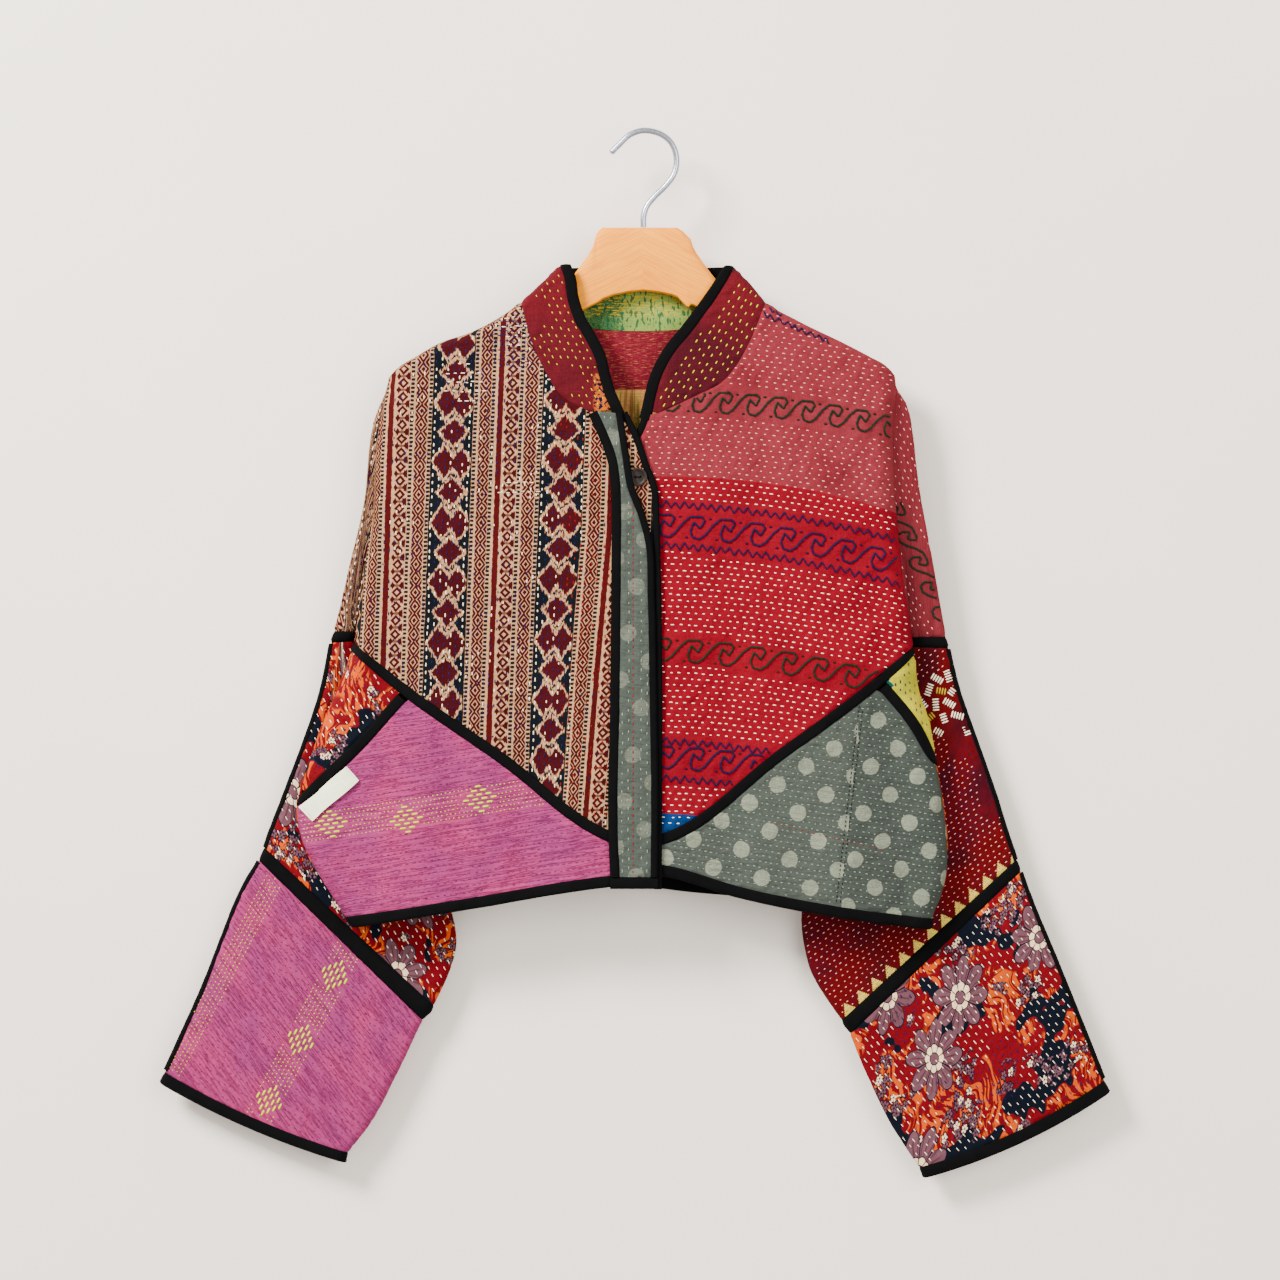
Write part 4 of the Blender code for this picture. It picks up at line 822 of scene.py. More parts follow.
def dents(x, z, stitches):
    """How far the stitches pull the cloth in: a long bell round each, deepest under the thread."""
    depth = np.zeros(x.size)
    flat_x, flat_z = x.ravel(), z.ravel()
    for sewn in stitches:
        run = sewn.ends - sewn.starts
        length = np.linalg.norm(run, axis=1)
        way = run / length[:, None]
        centre = sewn.middles()
        for first in range(0, len(centre), 100):
            part = slice(first, first + 100)
            from_x = flat_x[None] - centre[part, :1]
            from_z = flat_z[None] - centre[part, 1:]
            along = (from_x * way[part, :1] + from_z * way[part, 1:]) / (length[part, None] / 2 + 1.3)
            aside = (from_x * way[part, 1:] - from_z * way[part, :1]) / 1.7
            depth += DENT * np.exp(-(along**2 + aside**2)).sum(axis=0)
    return np.minimum(depth, 1.6 * DENT).reshape(x.shape)


def grains(sewn, plan, points, normals):
    """Closed meshes of straight stitches: a four-sided thread that arches over the cloth between its ends."""
    starts, normal = lay_on(plan, points, normals, sewn.starts)
    ends, _ = lay_on(plan, points, normals, sewn.ends)
    run = ends - starts
    side = np.cross(normal, run)
    side /= np.linalg.norm(side, axis=-1, keepdims=True) + 1e-9
    half = sewn.width / 2
    corners = [side * half, normal * half * 0.85, -side * half, -normal * half * 0.6]
    rings = []
    for share in (0.2, 0.8):
        middle = starts + run * share + normal * 0.12 * sewn.width
        rings.append(np.stack([middle + corner for corner in corners], axis=1))
    poles = [(starts - normal * 0.25)[:, None], (ends - normal * 0.25)[:, None]]
    count = len(starts)
    found = np.concatenate([poles[0], rings[0], rings[1], poles[1]], axis=1).reshape(-1, 3)
    first = np.arange(count)[:, None] * 10
    here = np.arange(4)
    after = (here + 1) % 4
    zero = np.zeros(4, int)
    start = np.stack([zero, 1 + here, 1 + after], axis=-1)
    end = np.stack([zero + 9, 5 + after, 5 + here], axis=-1)
    quads = np.stack([1 + here, 5 + here, 5 + after, 1 + after], axis=-1)
    triangles = (np.concatenate([start, end])[None] + first[:, :, None]).reshape(-1, 3)
    quads = (quads[None] + first[:, :, None]).reshape(-1, 4)
    return found, quads, triangles


def thread_line(path, width, plan, points, normals):
    """Closed mesh of one embroidered line: a pipe along the path, thinner where two stitches meet."""
    flat = np.asarray(path, float)
    lengths = np.concatenate([[0], np.cumsum(np.linalg.norm(np.diff(flat, axis=0), axis=1))])
    steps = np.arange(0, lengths[-1], 1.1)
    flat = np.stack([np.interp(steps, lengths, flat[:, axis]) for axis in (0, 1)], axis=-1)
    middle, normal = lay_on(plan, points, normals, flat)
    beat = np.abs(np.sin(math.pi * steps / 4.0))
    middle = middle + normal * (0.10 + 0.15 * beat[:, None])
    return pipe(middle, width * (0.72 + 0.28 * beat), 5, normal)


def sewing(name, stitches, lines, plan, points, normals):
    """One object of all the threads on a piece. lines are (thread, width, list of paths)."""
    found_points, found_faces, chosen, threads = [], [], [], []
    count = 0

    def add(parts, thread):
        nonlocal count
        piece_points, quads, triangles = parts
        if thread not in threads:
            threads.append(thread)
        for faces in (quads, triangles):
            found_faces.extend((faces + count).tolist())
            chosen.extend([threads.index(thread)] * len(faces))
        found_points.append(piece_points)
        count += len(piece_points)

    for sewn in stitches:
        if len(sewn.starts):
            add(grains(sewn, plan, points, normals), sewn.thread)
    for thread, width, paths in lines:
        for path in paths:
            for stretch in stretches_on(path, plan):
                add(thread_line(stretch, width, plan, points, normals), thread)
    if not count:
        return None
    finishes = [thread_finish(thread) for thread in threads]
    return new_object(name, np.concatenate(found_points), found_faces, finishes, chosen, sharp=180)


def stretches_on(path, plan):
    """The stretches of a path that lie on a piece, each at least 4 mm long."""
    path = np.asarray(path, float)
    lengths = np.concatenate([[0], np.cumsum(np.linalg.norm(np.diff(path, axis=0), axis=1))])
    steps = np.arange(0, lengths[-1], 0.8)
    fine = np.stack([np.interp(steps, lengths, path[:, axis]) for axis in (0, 1)], axis=-1)
    on = plan.inside(fine[:, 0], fine[:, 1], 2.0)
    breaks = np.flatnonzero(np.diff(on.astype(int))) + 1
    parts = np.split(np.arange(len(fine)), breaks)
    return [fine[part] for part in parts if on[part[0]] and len(part) > 5]


# One turn of the scrolling line, in millimetres from its crest. The next turn begins a repeat further on.
SCROLL_REPEAT = 26.0
SCROLL = [  # x, z
    (-5.2, 8.8), (4.6, 9.4), (7.1, 6.6), (3.2, -0.2), (-2.2, 4.8), (-5.2, -2.9), (-3.4, -7.9), (2.4, -8.9),
    (7.6, -5.2), (14.6, 3.4),
]


def scroll_line(start, turns, repeat, middle, height=1.0):
    """A row of running scrolls from x = start, one each repeat. middle(x) is the row's height."""
    narrow = repeat / SCROLL_REPEAT
    points = []
    for turn in range(turns):
        points.extend((start + turn * repeat + x * narrow, z * height) for x, z in SCROLL)
    flat = np.array(points)
    flat[:, 1] += middle(flat[:, 0])
    return flat


def scroll_dashes(thread, start, turns, repeat, middle, height=1.0):
    """The single stitch between each two crests, above and below the row."""
    x = start + np.arange(turns) * repeat
    starts, ends = [], []
    for ahead, up in ((0.46, 8.2), (0.67, -8.2)):
        for half, found in ((-1.4, starts), (1.4, ends)):
            place = x + ahead * repeat + half
            found.append(np.stack([place, middle(place) + up * height], axis=-1))
    return Stitches(thread, np.concatenate(starts), np.concatenate(ends), 1.6)


def turned(flat, origin, angle):
    """A row that was made along x from 0, turned about 0 and moved to the origin."""
    cosine, sine = math.cos(math.radians(angle)), math.sin(math.radians(angle))
    x, z = flat[:, 0], flat[:, 1]
    return np.stack([origin[0] + x * cosine - z * sine, origin[1] + x * sine + z * cosine], axis=-1)


def zigzag(start, end, middle, pitch=7.5, height=5.4):
    """A zigzag row: straight stitches up and down between two heights about its middle."""
    x = np.arange(start, end, pitch / 2)
    up = np.where(np.arange(len(x)) % 2 == 0, height / 2, -height / 2)
    return np.stack([x + 0.9 * np.sin(x * 1.7), middle(x) + up * (1 + 0.25 * np.sin(x * 2.9))], axis=-1)


# Finishes

TONES = {  # screen values of red, green and blue
    "cream": (210, 184, 156), "maroon": (112, 22, 30), "night": (24, 30, 40), "stripe": (130, 28, 30),
    "dusty pink": (186, 86, 96), "scarlet": (190, 40, 64), "blue": (6, 96, 158),
    "magenta": (202, 110, 162), "magenta warm": (206, 104, 148), "magenta cool": (188, 108, 160),
    "sage": (122, 129, 119), "sage deep": (104, 113, 104), "dot": (184, 187, 172), "red": (176, 34, 50),
    "orange": (232, 142, 24), "navy": (22, 30, 50), "saffron": (222, 150, 24), "mauve": (160, 118, 128),
    "pale": (230, 220, 204), "lime": (216, 210, 116), "lime deep": (190, 188, 94), "teal": (10, 120, 112),
    "bordeaux": (140, 38, 50), "weave": (176, 62, 62), "inner red": (174, 52, 76), "plum": (112, 28, 44),
    "rust": (152, 42, 54), "crimson": (158, 22, 36), "crimson deep": (118, 14, 32),
    "violet": (70, 34, 96), "temple": (222, 210, 144), "leaf": (48, 132, 92), "grass": (176, 192, 126),
    "corn": (222, 202, 60), "tan": (226, 194, 144), "tan deep": (190, 156, 108), "black": (13, 12, 15),
    "label": (240, 234, 224), "white thread": (236, 230, 222), "grey thread": (190, 194, 182),
    "pink thread": (232, 206, 200), "blue thread": (44, 36, 136), "red thread": (206, 22, 44),
    "green thread": (20, 66, 36), "indigo thread": (36, 20, 92), "yellow thread": (232, 230, 92),
    "violet thread": (72, 50, 110), "dark thread": (28, 26, 32), "magenta thread": (172, 92, 148),
    "straw thread": (216, 202, 118), "horn": (84, 60, 44), "horn dark": (46, 34, 28),
    "beech": (252, 212, 104), "beech dark": (240, 192, 88), "steel": (206, 208, 212),
    "wall": (236, 231, 228),
}


STUDIO_LIGHT = 3.3  # how bright a white surface is in the scene


def display_table():
    """Brightness in the scene, as steps of its logarithm, against the value that the screen shows for it."""
    x = np.linspace(0, 1, 2000)
    shown = 15.5 * x**6 - 40.14 * x**5 + 31.96 * x**4 - 6.868 * x**3 + 0.4298 * x**2 + 0.1191 * x - 0.00232
    return x, np.maximum.accumulate(shown)


DISPLAY_MIX = np.array([
    [0.84247906, 0.0784336, 0.07922375],
    [0.04232824, 0.87846864, 0.07916613],
    [0.04237565, 0.0784336, 0.87914297],
])


def tone(name):
    """The reflectance that shows as a tone on the screen, with the display's curve and its mixing undone."""
    steps, shown = display_table()
    mixed = DISPLAY_MIX @ (np.array(TONES[name]) / 255)
    bright = 2 ** (np.interp(mixed, shown, steps) * 16.5 - 12.47393)
    found = np.linalg.inv(DISPLAY_MIX) @ bright / STUDIO_LIGHT
    return tuple(np.clip(found, 0.0015, 0.93).tolist())


class Value:
    """A number or colour in a node tree, so that a sum of sockets reads as a sum."""

    def __init__(self, tree, socket):
        self.tree, self.socket = tree, socket

    def __add__(self, other):
        return calculate(self.tree, "ADD", self, other)

    def __sub__(self, other):
        return calculate(self.tree, "SUBTRACT", self, other)

    def __rsub__(self, other):
        return calculate(self.tree, "SUBTRACT", other, self)

    def __mul__(self, other):
        return calculate(self.tree, "MULTIPLY", self, other)

    def __truediv__(self, other):
        return calculate(self.tree, "DIVIDE", self, other)

    def __gt__(self, other):
        return calculate(self.tree, "GREATER_THAN", self, other)

    def __lt__(self, other):
        return calculate(self.tree, "LESS_THAN", self, other)

    __radd__, __rmul__ = __add__, __mul__


def plug(tree, socket, value):
    if isinstance(value, Value):
        tree.links.new(value.socket, socket)
    elif isinstance(value, str):
        socket.default_value = (*tone(value), 1)
    else:
        socket.default_value = value


def calculate(tree, operation, *values):
    node = tree.nodes.new("ShaderNodeMath")
    node.operation = operation
    for socket, value in zip(node.inputs, values):
        plug(tree, socket, value)
    return Value(tree, node.outputs[0])


def size_of(value):
    return calculate(value.tree, "ABSOLUTE", value)


def fraction(value):
    return calculate(value.tree, "FRACT", value)


def whole(value):
    return calculate(value.tree, "FLOOR", value)


def lower(a, b):
    return calculate(a.tree, "MINIMUM", a, b)


def higher(a, b):
    return calculate(a.tree, "MAXIMUM", a, b)


def hypotenuse(a, b):
    return calculate(a.tree, "SQRT", a * a + b * b)


def eased(value, low, high):
    """0 at low and 1 at high, or the other way round, with an eased step between."""
    node = value.tree.nodes.new("ShaderNodeMapRange")
    node.interpolation_type = "SMOOTHSTEP"
    plug(value.tree, node.inputs["Value"], value)
    turned = low > high
    node.inputs["From Min"].default_value = high if turned else low
    node.inputs["From Max"].default_value = low if turned else high
    node.inputs["To Min"].default_value = 1.0 if turned else 0.0
    node.inputs["To Max"].default_value = 0.0 if turned else 1.0
    return Value(value.tree, node.outputs["Result"])


def within(value, low, high, edge=0.25):
    """1 from low to high and 0 outside, with soft edges."""
    return eased(value, low - edge, low + edge) * eased(value, high + edge, high - edge)


def nearest_repeat(value, repeat):
    """Signed distance to the nearest multiple of the repeat."""
    return (fraction(value / repeat + 0.5) - 0.5) * repeat


def point(x, y, z=0.0):
    tree = x.tree
    node = tree.nodes.new("ShaderNodeCombineXYZ")
    for socket, value in zip(node.inputs, (x, y, z)):
        plug(tree, socket, value)
    return Value(tree, node.outputs[0])


def noise(place, detail=2.0, rough=0.5):
    """Soft noise, about 0.3 to 0.7, of a unit size."""
    node = place.tree.nodes.new("ShaderNodeTexNoise")
    plug(place.tree, node.inputs["Vector"], place)
    node.inputs["Scale"].default_value = 1.0
    node.inputs["Detail"].default_value = detail
    node.inputs["Roughness"].default_value = rough
    return Value(place.tree, node.outputs[0])


def cells(place, feature="F1"):
    """Nearest random seed of a unit lattice: distance, colour, and the way to it."""
    node = place.tree.nodes.new("ShaderNodeTexVoronoi")
    node.voronoi_dimensions = "2D"
    node.feature = feature
    plug(place.tree, node.inputs["Vector"], place)
    node.inputs["Scale"].default_value = 1.0
    tree = place.tree
    away = tree.nodes.new("ShaderNodeVectorMath")
    away.operation = "SUBTRACT"
    tree.links.new(place.socket, away.inputs[0])
    tree.links.new(node.outputs["Position"], away.inputs[1])
    distance, hue = Value(tree, node.outputs["Distance"]), Value(tree, node.outputs["Color"])
    return distance, hue, Value(tree, away.outputs[0])


def parts(value):
    node = value.tree.nodes.new("ShaderNodeSeparateXYZ")
    value.tree.links.new(value.socket, node.inputs[0])
    return [Value(value.tree, output) for output in node.outputs]


def blend(mask, below, above):
    """The colour above where the mask is 1, over the colour below. Colours may be names of tones."""
    tree = mask.tree
    node = tree.nodes.new("ShaderNodeMix")
    node.data_type = "RGBA"
    plug(tree, node.inputs[0], mask)
    plug(tree, node.inputs[6], below)
    plug(tree, node.inputs[7], above)
    return Value(tree, node.outputs[2])


def shaded(colour, factor):
    tree = factor.tree
    node = tree.nodes.new("ShaderNodeVectorMath")
    node.operation = "SCALE"
    if isinstance(colour, str):
        node.inputs[0].default_value = tone(colour)
    else:
        tree.links.new(colour.socket, node.inputs[0])
    tree.links.new(factor.socket, node.inputs["Scale"])
    return Value(tree, node.outputs[0])


def group(name, inputs, outputs, make):
    """A shader node group, built once. make takes the inputs as values and returns the outputs in order."""
    found = bpy.data.node_groups.get(name)
    if found:
        return found
    found = bpy.data.node_groups.new(name, "ShaderNodeTree")
    for title, default in inputs:
        socket = found.interface.new_socket(title, in_out="INPUT", socket_type="NodeSocketFloat")
        socket.default_value = default
    for title in outputs:
        found.interface.new_socket(title, in_out="OUTPUT", socket_type="NodeSocketFloat")
    entry, leave = found.nodes.new("NodeGroupInput"), found.nodes.new("NodeGroupOutput")
    made = make(*[Value(found, entry.outputs[title]) for title, _ in inputs])
    for title, value in zip(outputs, made):
        found.links.new(value.socket, leave.inputs[title])
    return found


def cotton_grain_and_pucker_shade(u, v, slub, seed):
    """Worn hand-woven cotton: threads both ways, thicker slubs among them, large faded patches, and painted
    shade of the puckers.
    """
    threads = noise(point(u * 0.25, v * 2.4, seed), 1.0) + noise(point(u * 2.4, v * 0.25, seed + 4.0), 1.0)
    slubs = noise(point(u * 0.05, v * 0.9, seed + 8.0), 2.0)
    slubs = slubs + noise(point(u * 0.9, v * 0.05, seed + 12.0), 2.0)
    patches = noise(point(u * 0.022, v * 0.022, seed + 16.0), 3.0)
    crumple_and_shade = noise(point(u * 0.11, v * 0.13, seed + 20.0), 3.0, 0.6)
    worn = (patches - 0.5) * 0.55
    # Painted shade and light: the colour follows the puckers' crumpled relief, darker where it sinks and
    # lighter where it rises.
    shade = (threads - 1.0) * 0.55 + (slubs - 1.0) * slub + worn + (crumple_and_shade - 0.5) * 0.3 + 1.0
    height = threads * 0.22 + slubs * slub * 0.6 + crumple_and_shade * 2.4
    return shade, height, patches


def use_group(tree, found, **values):
    node = tree.nodes.new("ShaderNodeGroup")
    node.node_tree = found
    for title, value in values.items():
        plug(tree, node.inputs[title], value)
    return [Value(tree, output) for output in node.outputs]


class Finish:
    """A material that is being made: its shader, and the places that its patterns read, in millimetres."""

    def __init__(self, name, roughness=0.9, gloss=0.05):
        self.material = bpy.data.materials.new(name)
        self.material.use_nodes = True
        self.tree = self.material.node_tree
        self.shader = self.tree.nodes["Principled BSDF"]
        self.shader.inputs["Roughness"].default_value = roughness
        self.shader.inputs["Specular IOR Level"].default_value = gloss

    def weave(self):
        """u across and v up the cloth."""
        node = self.tree.nodes.new("ShaderNodeUVMap")
        node.uv_map = "cloth"
        u, v, _ = parts(Value(self.tree, node.outputs[0]))
        return u * 1000.0, v * 1000.0

    def place(self):
        """x, y and z in the model's frame."""
        node = self.tree.nodes.new("ShaderNodeTexCoord")
        return [axis * 1000.0 for axis in parts(Value(self.tree, node.outputs["Object"]))]

    def set_colour(self, colour):
        plug(self.tree, self.shader.inputs["Base Color"], colour)

    def set_bump(self, height, distance, strength=1.0):
        node = self.tree.nodes.new("ShaderNodeBump")
        node.inputs["Distance"].default_value = distance * MM
        node.inputs["Strength"].default_value = strength
        plug(self.tree, node.inputs["Height"], height)
        self.tree.links.new(node.outputs["Normal"], self.shader.inputs["Normal"])

    def grain(self, u, v, slub=0.5, seed=0.0):
        inputs = [("U", 0.0), ("V", 0.0), ("Slub", 0.5), ("Seed", 0.0)]
        found = group("Cotton grain and pucker shade", inputs, ["Shade", "Height", "Patches"], cotton_grain_and_pucker_shade)
        return use_group(self.tree, found, U=u, V=v, Slub=slub, Seed=seed)


def printed(name, slub, seed, bump=0.6):
    """Makes a cotton of the print that follows: a function that returns its material, made once.

    A print gives the colour and the extra height, or None, at each place (u, v) of the cloth, and the cloth's
    grain shades it, with painted shade of its puckers. patches tells worn stretches apart.
    """

    def wrap(print_on):
        @functools.cache
        def cotton():
            made = Finish(name)
            u, v = made.weave()
            shade, height, patches = made.grain(u, v, slub, seed)
            colour, extra = print_on(u, v, patches)
            made.set_colour(shaded(colour, shade))
            made.set_bump(height if extra is None else height + extra, bump)
            return made.material

        return cotton

    return wrap


IKAT_START = 203.8  # how far left of the middle the first repeat begins
IKAT_REPEAT = 89.0
LATTICE_REPEAT = 11.4
HEART_REPEAT = 49.0
TICK_REPEAT = 3.4


@printed("Ikat cotton", 0.35, 1.0)
def ikat(u, v, patches):
    """Stripes of a tied and block-printed cloth: maroon bars, small figures, ticks, lattice, tied figures.

    The stripes lean a little towards the front edge as they fall, more so beside it. The widest are navy,
    with maroon lozenges, linked in pairs and outlined in cream.
    """
    wobble = noise(point(u * 0.25, v * 0.25, 3.0), 2.0) - 0.5
    lean = (v * -1.0 - 159.0) * 0.034 + eased(u, -100.0, -30.0) * (higher(v * -1.0 - 330.0, 0.0) * 0.05 - 3.7)
    u = u + IKAT_START + lean + wobble * 1.6
    v = v + wobble * 1.2
    place = fraction(u / IKAT_REPEAT) * IKAT_REPEAT
    colour = blend(within(place, 0.0, 4.7), "cream", "stripe")
    cross = size_of(nearest_repeat(v, LATTICE_REPEAT)) / (LATTICE_REPEAT / 2)
    between_cross = size_of(nearest_repeat(v + LATTICE_REPEAT / 2, LATTICE_REPEAT)) / (LATTICE_REPEAT / 2)
    ink = None
    for middle, half in ((27.3, 5.0), (79.0, 4.6)):
        aside = size_of(place - middle)
        lattice = aside / 4.2 + cross
        lines = within(lattice, 0.64, 1.16, 0.06) + within(lattice, 1.32, 1.86, 0.06)
        lines = lines + eased(lattice, 0.46, 0.38)
        lines = lines * eased(aside, half + 0.4, half - 0.2)
        ink = lines if ink is None else ink + lines
    aside = size_of(place - 11.6)
    ring = within(aside / 3.8 + cross * 1.45, 0.48, 1.20, 0.08) * eased(aside, 5.0, 4.4)
    leaf = eased(size_of(place - 16.8) / 3.0 + between_cross * 1.5, 1.05, 0.9) * within(place, 6.0, 17.3)
    stem = within(place, 6.2, 17.0) * eased(between_cross, 0.24, 0.14)
    drops = eased(size_of(aside - 3.6) / 1.9 + between_cross * 1.6, 1.05, 0.85) * eased(aside, 5.4, 5.0)
    ink = ink + ring + leaf + stem * 0.8 + drops
    colour = blend(lower(ink, 1.0), colour, "maroon")
    ladder = within(fraction(v / TICK_REPEAT), 0.17, 0.80, 0.07)
    ticks = within(place, 17.8, 20.9) + within(place, 32.9, 35.8)
    ticks = ticks + within(place, 69.8, 72.8) + within(place, 83.9, 87.0)
    colour = blend(ticks * ladder, colour, "night")
    feather = noise(point(u * 0.8, v * 0.12, 9.0), 2.0, 0.6) - 0.5
    rough = noise(point(u * 0.16, v * 0.16, 15.0), 1.0) - 0.5
    height = v + 221.0 - whole(u / IKAT_REPEAT) * 2.5 + feather * 11.0
    across = place - 53.4 + rough * 5.0
    pair = nearest_repeat(height, HEART_REPEAT)
    single = nearest_repeat(height + HEART_REPEAT / 2, HEART_REPEAT)

    def lozenge(middle, up, half_width, half_height):
        """Distance outside a lozenge."""
        steep = half_width * half_height / math.hypot(half_width, half_height)
        return (size_of(across - middle) / half_width + size_of(up) / half_height - 1.0) * steep

    outline = lower(lozenge(-6.2, pair, 8.5, 12.4), lozenge(7.2, pair + 1.0, 8.3, 11.8))
    outline = lower(outline, lozenge(0.6, single, 10.4, 10.8))
    outline = lower(outline, higher(size_of(pair) - 1.6, size_of(across) - 7.0))
    link = size_of(lozenge(0.4, nearest_repeat(height + HEART_REPEAT / 4, HEART_REPEAT / 2), 7.0, 4.6)) + 1.6
    outline = lower(outline, link)
    knot = blend(eased(outline, 0.0, 0.9), "maroon", "cream")
    knot = blend(eased(outline, 1.9, 2.6), knot, "night")
    colour = blend(within(place, 36.4, 69.0), colour, knot)
    edge_lines = within(place, 35.9, 36.9, 0.15) + within(place, 68.6, 69.6, 0.15)
    return blend(edge_lines, colour, "night"), None


BORDER_Z, BLUE_Z = -281.7, -555.5


@printed("Pink and scarlet cotton", 0.25, 2.0, 0.7)
def pink_and_scarlet(u, v, patches):
    """Dusty pink above a border, scarlet below it, and a blue corner at the bottom."""
    v = v + (noise(point(u * 0.04, 1.0, 2.0), 1.0) - 0.5) * 1.5
    pink = blend(eased(patches, 0.35, 0.65), "dusty pink", "rust")
    pink = blend(eased(patches, 0.2, 1.1), "dusty pink", pink)
    colour = blend(eased(v, BORDER_Z + 0.4, BORDER_Z - 0.4), pink, "scarlet")
    return blend(eased(v, BLUE_Z + 0.4, BLUE_Z - 0.4), colour, "blue"), None


@printed("Magenta cotton", 0.3, 3.0, 0.6)
def magenta(u, v, patches):
    """Slubby magenta with fine pulled lines that rise a little to the right, and painted shade in their dips
    and in the crinkle.
    """
    a, b = u * 0.985 + v * 0.17, v * 0.985 - u * 0.17
    lines = noise(point(a * 0.020, b * 0.30, 5.0), 2.0, 0.55)
    fine = noise(point(a * 0.07, b * 0.85, 8.0), 2.0, 0.6)
    pulled_in = within(lines, 0.47, 0.50, 0.02)
    colour = blend(eased(patches, 0.3, 0.7), "magenta cool", "magenta warm")
    colour = blend(patches * 0.0 + 0.5, colour, "magenta")
    # Painted shade: the colour is darker along the sunken pulled lines and rises and falls with the fine
    # crinkle's height.
    return shaded(colour, pulled_in * -0.07 + (fine - 0.5) * 0.16 + 1.01), pulled_in * -1.3 + fine * 0.7


DOT_ACROSS, DOT_DOWN, DOT_RADIUS = (23.0, 14.8), (16.4, -23.0), 6.7


def dots(u, v):
    """Mask of round dots on a slanted lattice, each a little uneven."""
    (ax, az), (bx, bz) = DOT_ACROSS, DOT_DOWN
    size = ax * bz - az * bx
    first = (u * bz - v * bx) / size
    second = (v * ax - u * az) / size
    first, second = nearest_repeat(first, 1.0), nearest_repeat(second, 1.0)
    uneven = noise(point(u * 0.12, v * 0.12, 6.0), 2.0) - 0.5
    distance = hypotenuse(first * ax + second * bx, first * az + second * bz) + uneven * 2.6
    return eased(distance, DOT_RADIUS + 0.3, DOT_RADIUS - 0.3)


@printed("Sage dotted cotton", 0.3, 4.0, 0.6)
def sage(u, v, patches):
    """Sage grey with off-white dots. Past its seam the dots are shifted, and the cloth is deeper."""
    past = eased(u + v * -0.0975 - 224.2, -0.4, 0.4)
    colour = blend(past * 0.5 + eased(patches, 0.35, 0.7) * 0.4, "sage", "sage deep")
    mask = dots(u + past * 9.0, v + past * 7.0)
    worn = noise(point(u * 0.5, v * 0.5, 7.0), 2.0)
    ribs = noise(point(u * 0.05 - v * 0.01, v * 0.30 + u * 0.05, 3.0), 2.0)
    faint = eased(u, 10.0, 16.0) * 0.6 + 0.4
    return blend(mask * (worn * 0.5 + 0.5) * faint, colour, "dot"), ribs * 2.2


def flower(place, petals, reach, depth):
    """Flowers about random seeds: distance from the seed less the scalloped outline, petals' lines, hues."""
    _, pick, away = cells(place)
    x, y, _ = parts(away)
    first, second, third = parts(pick)
    turn = calculate(x.tree, "ARCTAN2", y, x) + first * 6.0
    lobe = size_of(calculate(x.tree, "COSINE", turn * (petals / 2)))
    streaks = calculate(x.tree, "COSINE", turn * (petals * 3.0))
    radius = hypotenuse(x, y)
    return radius, radius - (lobe * depth + (reach - depth)), lobe, streaks, second, third


@printed("Flowered cotton", 0.25, 5.0)
def floral(u, v, patches):
    """Crowded garden print: red and navy ground, orange flames, sprays of small florets, large daisies."""
    bend = noise(point(u * 0.03, v * 0.03, 11.0), 1.0) - 0.5
    other = noise(point(u * 0.03, v * 0.03, 31.0), 1.0) - 0.5
    a, b = u + bend * 50.0, v + other * 50.0
    ground = noise(point(u * 0.024, v * 0.024, 13.0), 2.0, 0.5)
    colour = blend(eased(ground, 0.555, 0.563), "red", "navy")
    flames = noise(point(a * 0.24, b * 0.055, 17.0), 2.0, 0.5)
    sheaf = noise(point(u * 0.02, v * 0.02, 23.0), 1.0)
    flame = eased(flames, 0.50, 0.52) * eased(ground, 0.555, 0.545) * eased(sheaf, 0.45, 0.48)
    colour = blend(flame, colour, "orange")
    colour = blend(within(flames, 0.505, 0.515, 0.004) * eased(sheaf, 0.44, 0.47) * 0.5, colour, "navy")
    a, b = u + bend * 6.0, v + other * 6.0
    radius, outline, lobe, streaks, hue, _ = flower(point(a / 6.8, b / 6.8), 5, 0.56, 0.24)
    spray = blend(hue > 0.74, "mauve", "pale")
    spray = blend(eased(outline, -0.15, -0.08), spray, "navy")
    spray = blend(eased(lobe, 0.36, 0.22) + eased(radius, 0.13, 0.08), spray, "navy")
    spray = blend(eased(outline, 0.03, 0.07), spray, colour)
    sprays = noise(point(u * 0.030, v * 0.030, 21.0), 1.0)
    colour = blend(eased(sprays, 0.56, 0.57), colour, spray)
    radius, outline, lobe, streaks, hue, shown = flower(point(a / 68.0 + 4.3, b / 68.0 + 1.7), 8, 0.42, 0.17)
    daisy = blend(eased(streaks, 0.35, 0.9) * eased(radius, 0.38, 0.26) * 0.6, "mauve", "plum")
    daisy = blend(eased(hue, 0.78, 0.88) * eased(radius, 0.2, 0.34) * 0.45, daisy, "pale")
    daisy = blend(eased(lobe, 0.18, 0.09) + eased(outline, -0.020, -0.008), daisy, "navy")
    scallop = radius - (lobe * 0.02 + 0.13)
    daisy = blend(eased(scallop, 0.012, 0.004), daisy, "navy")
    heart = blend(eased(lobe, 0.30, 0.15), "pale", "navy")
    heart = blend(eased(radius, 0.078, 0.070), heart, "navy")
    heart = blend(eased(radius, 0.065, 0.058), heart, "mauve")
    daisy = blend(eased(scallop, 0.0, -0.008), daisy, heart)
    return blend(eased(outline, 0.006, 0.0) * (shown > 0.42), colour, daisy), None


@printed("Lime cotton", 0.4, 6.0, 0.4)
def lime(u, v, patches):
    """Lime yellow, with a teal patch at the inner corner."""
    colour = blend(eased(patches, 0.4, 0.65), "lime", "lime deep")
    corner = hypotenuse(u - 196.0, v + 452.0) + (noise(point(u * 0.3, v * 0.3, 2.0), 2.0) - 0.5) * 12.0
    return blend(eased(corner, 9.5, 8.5), colour, "teal"), None


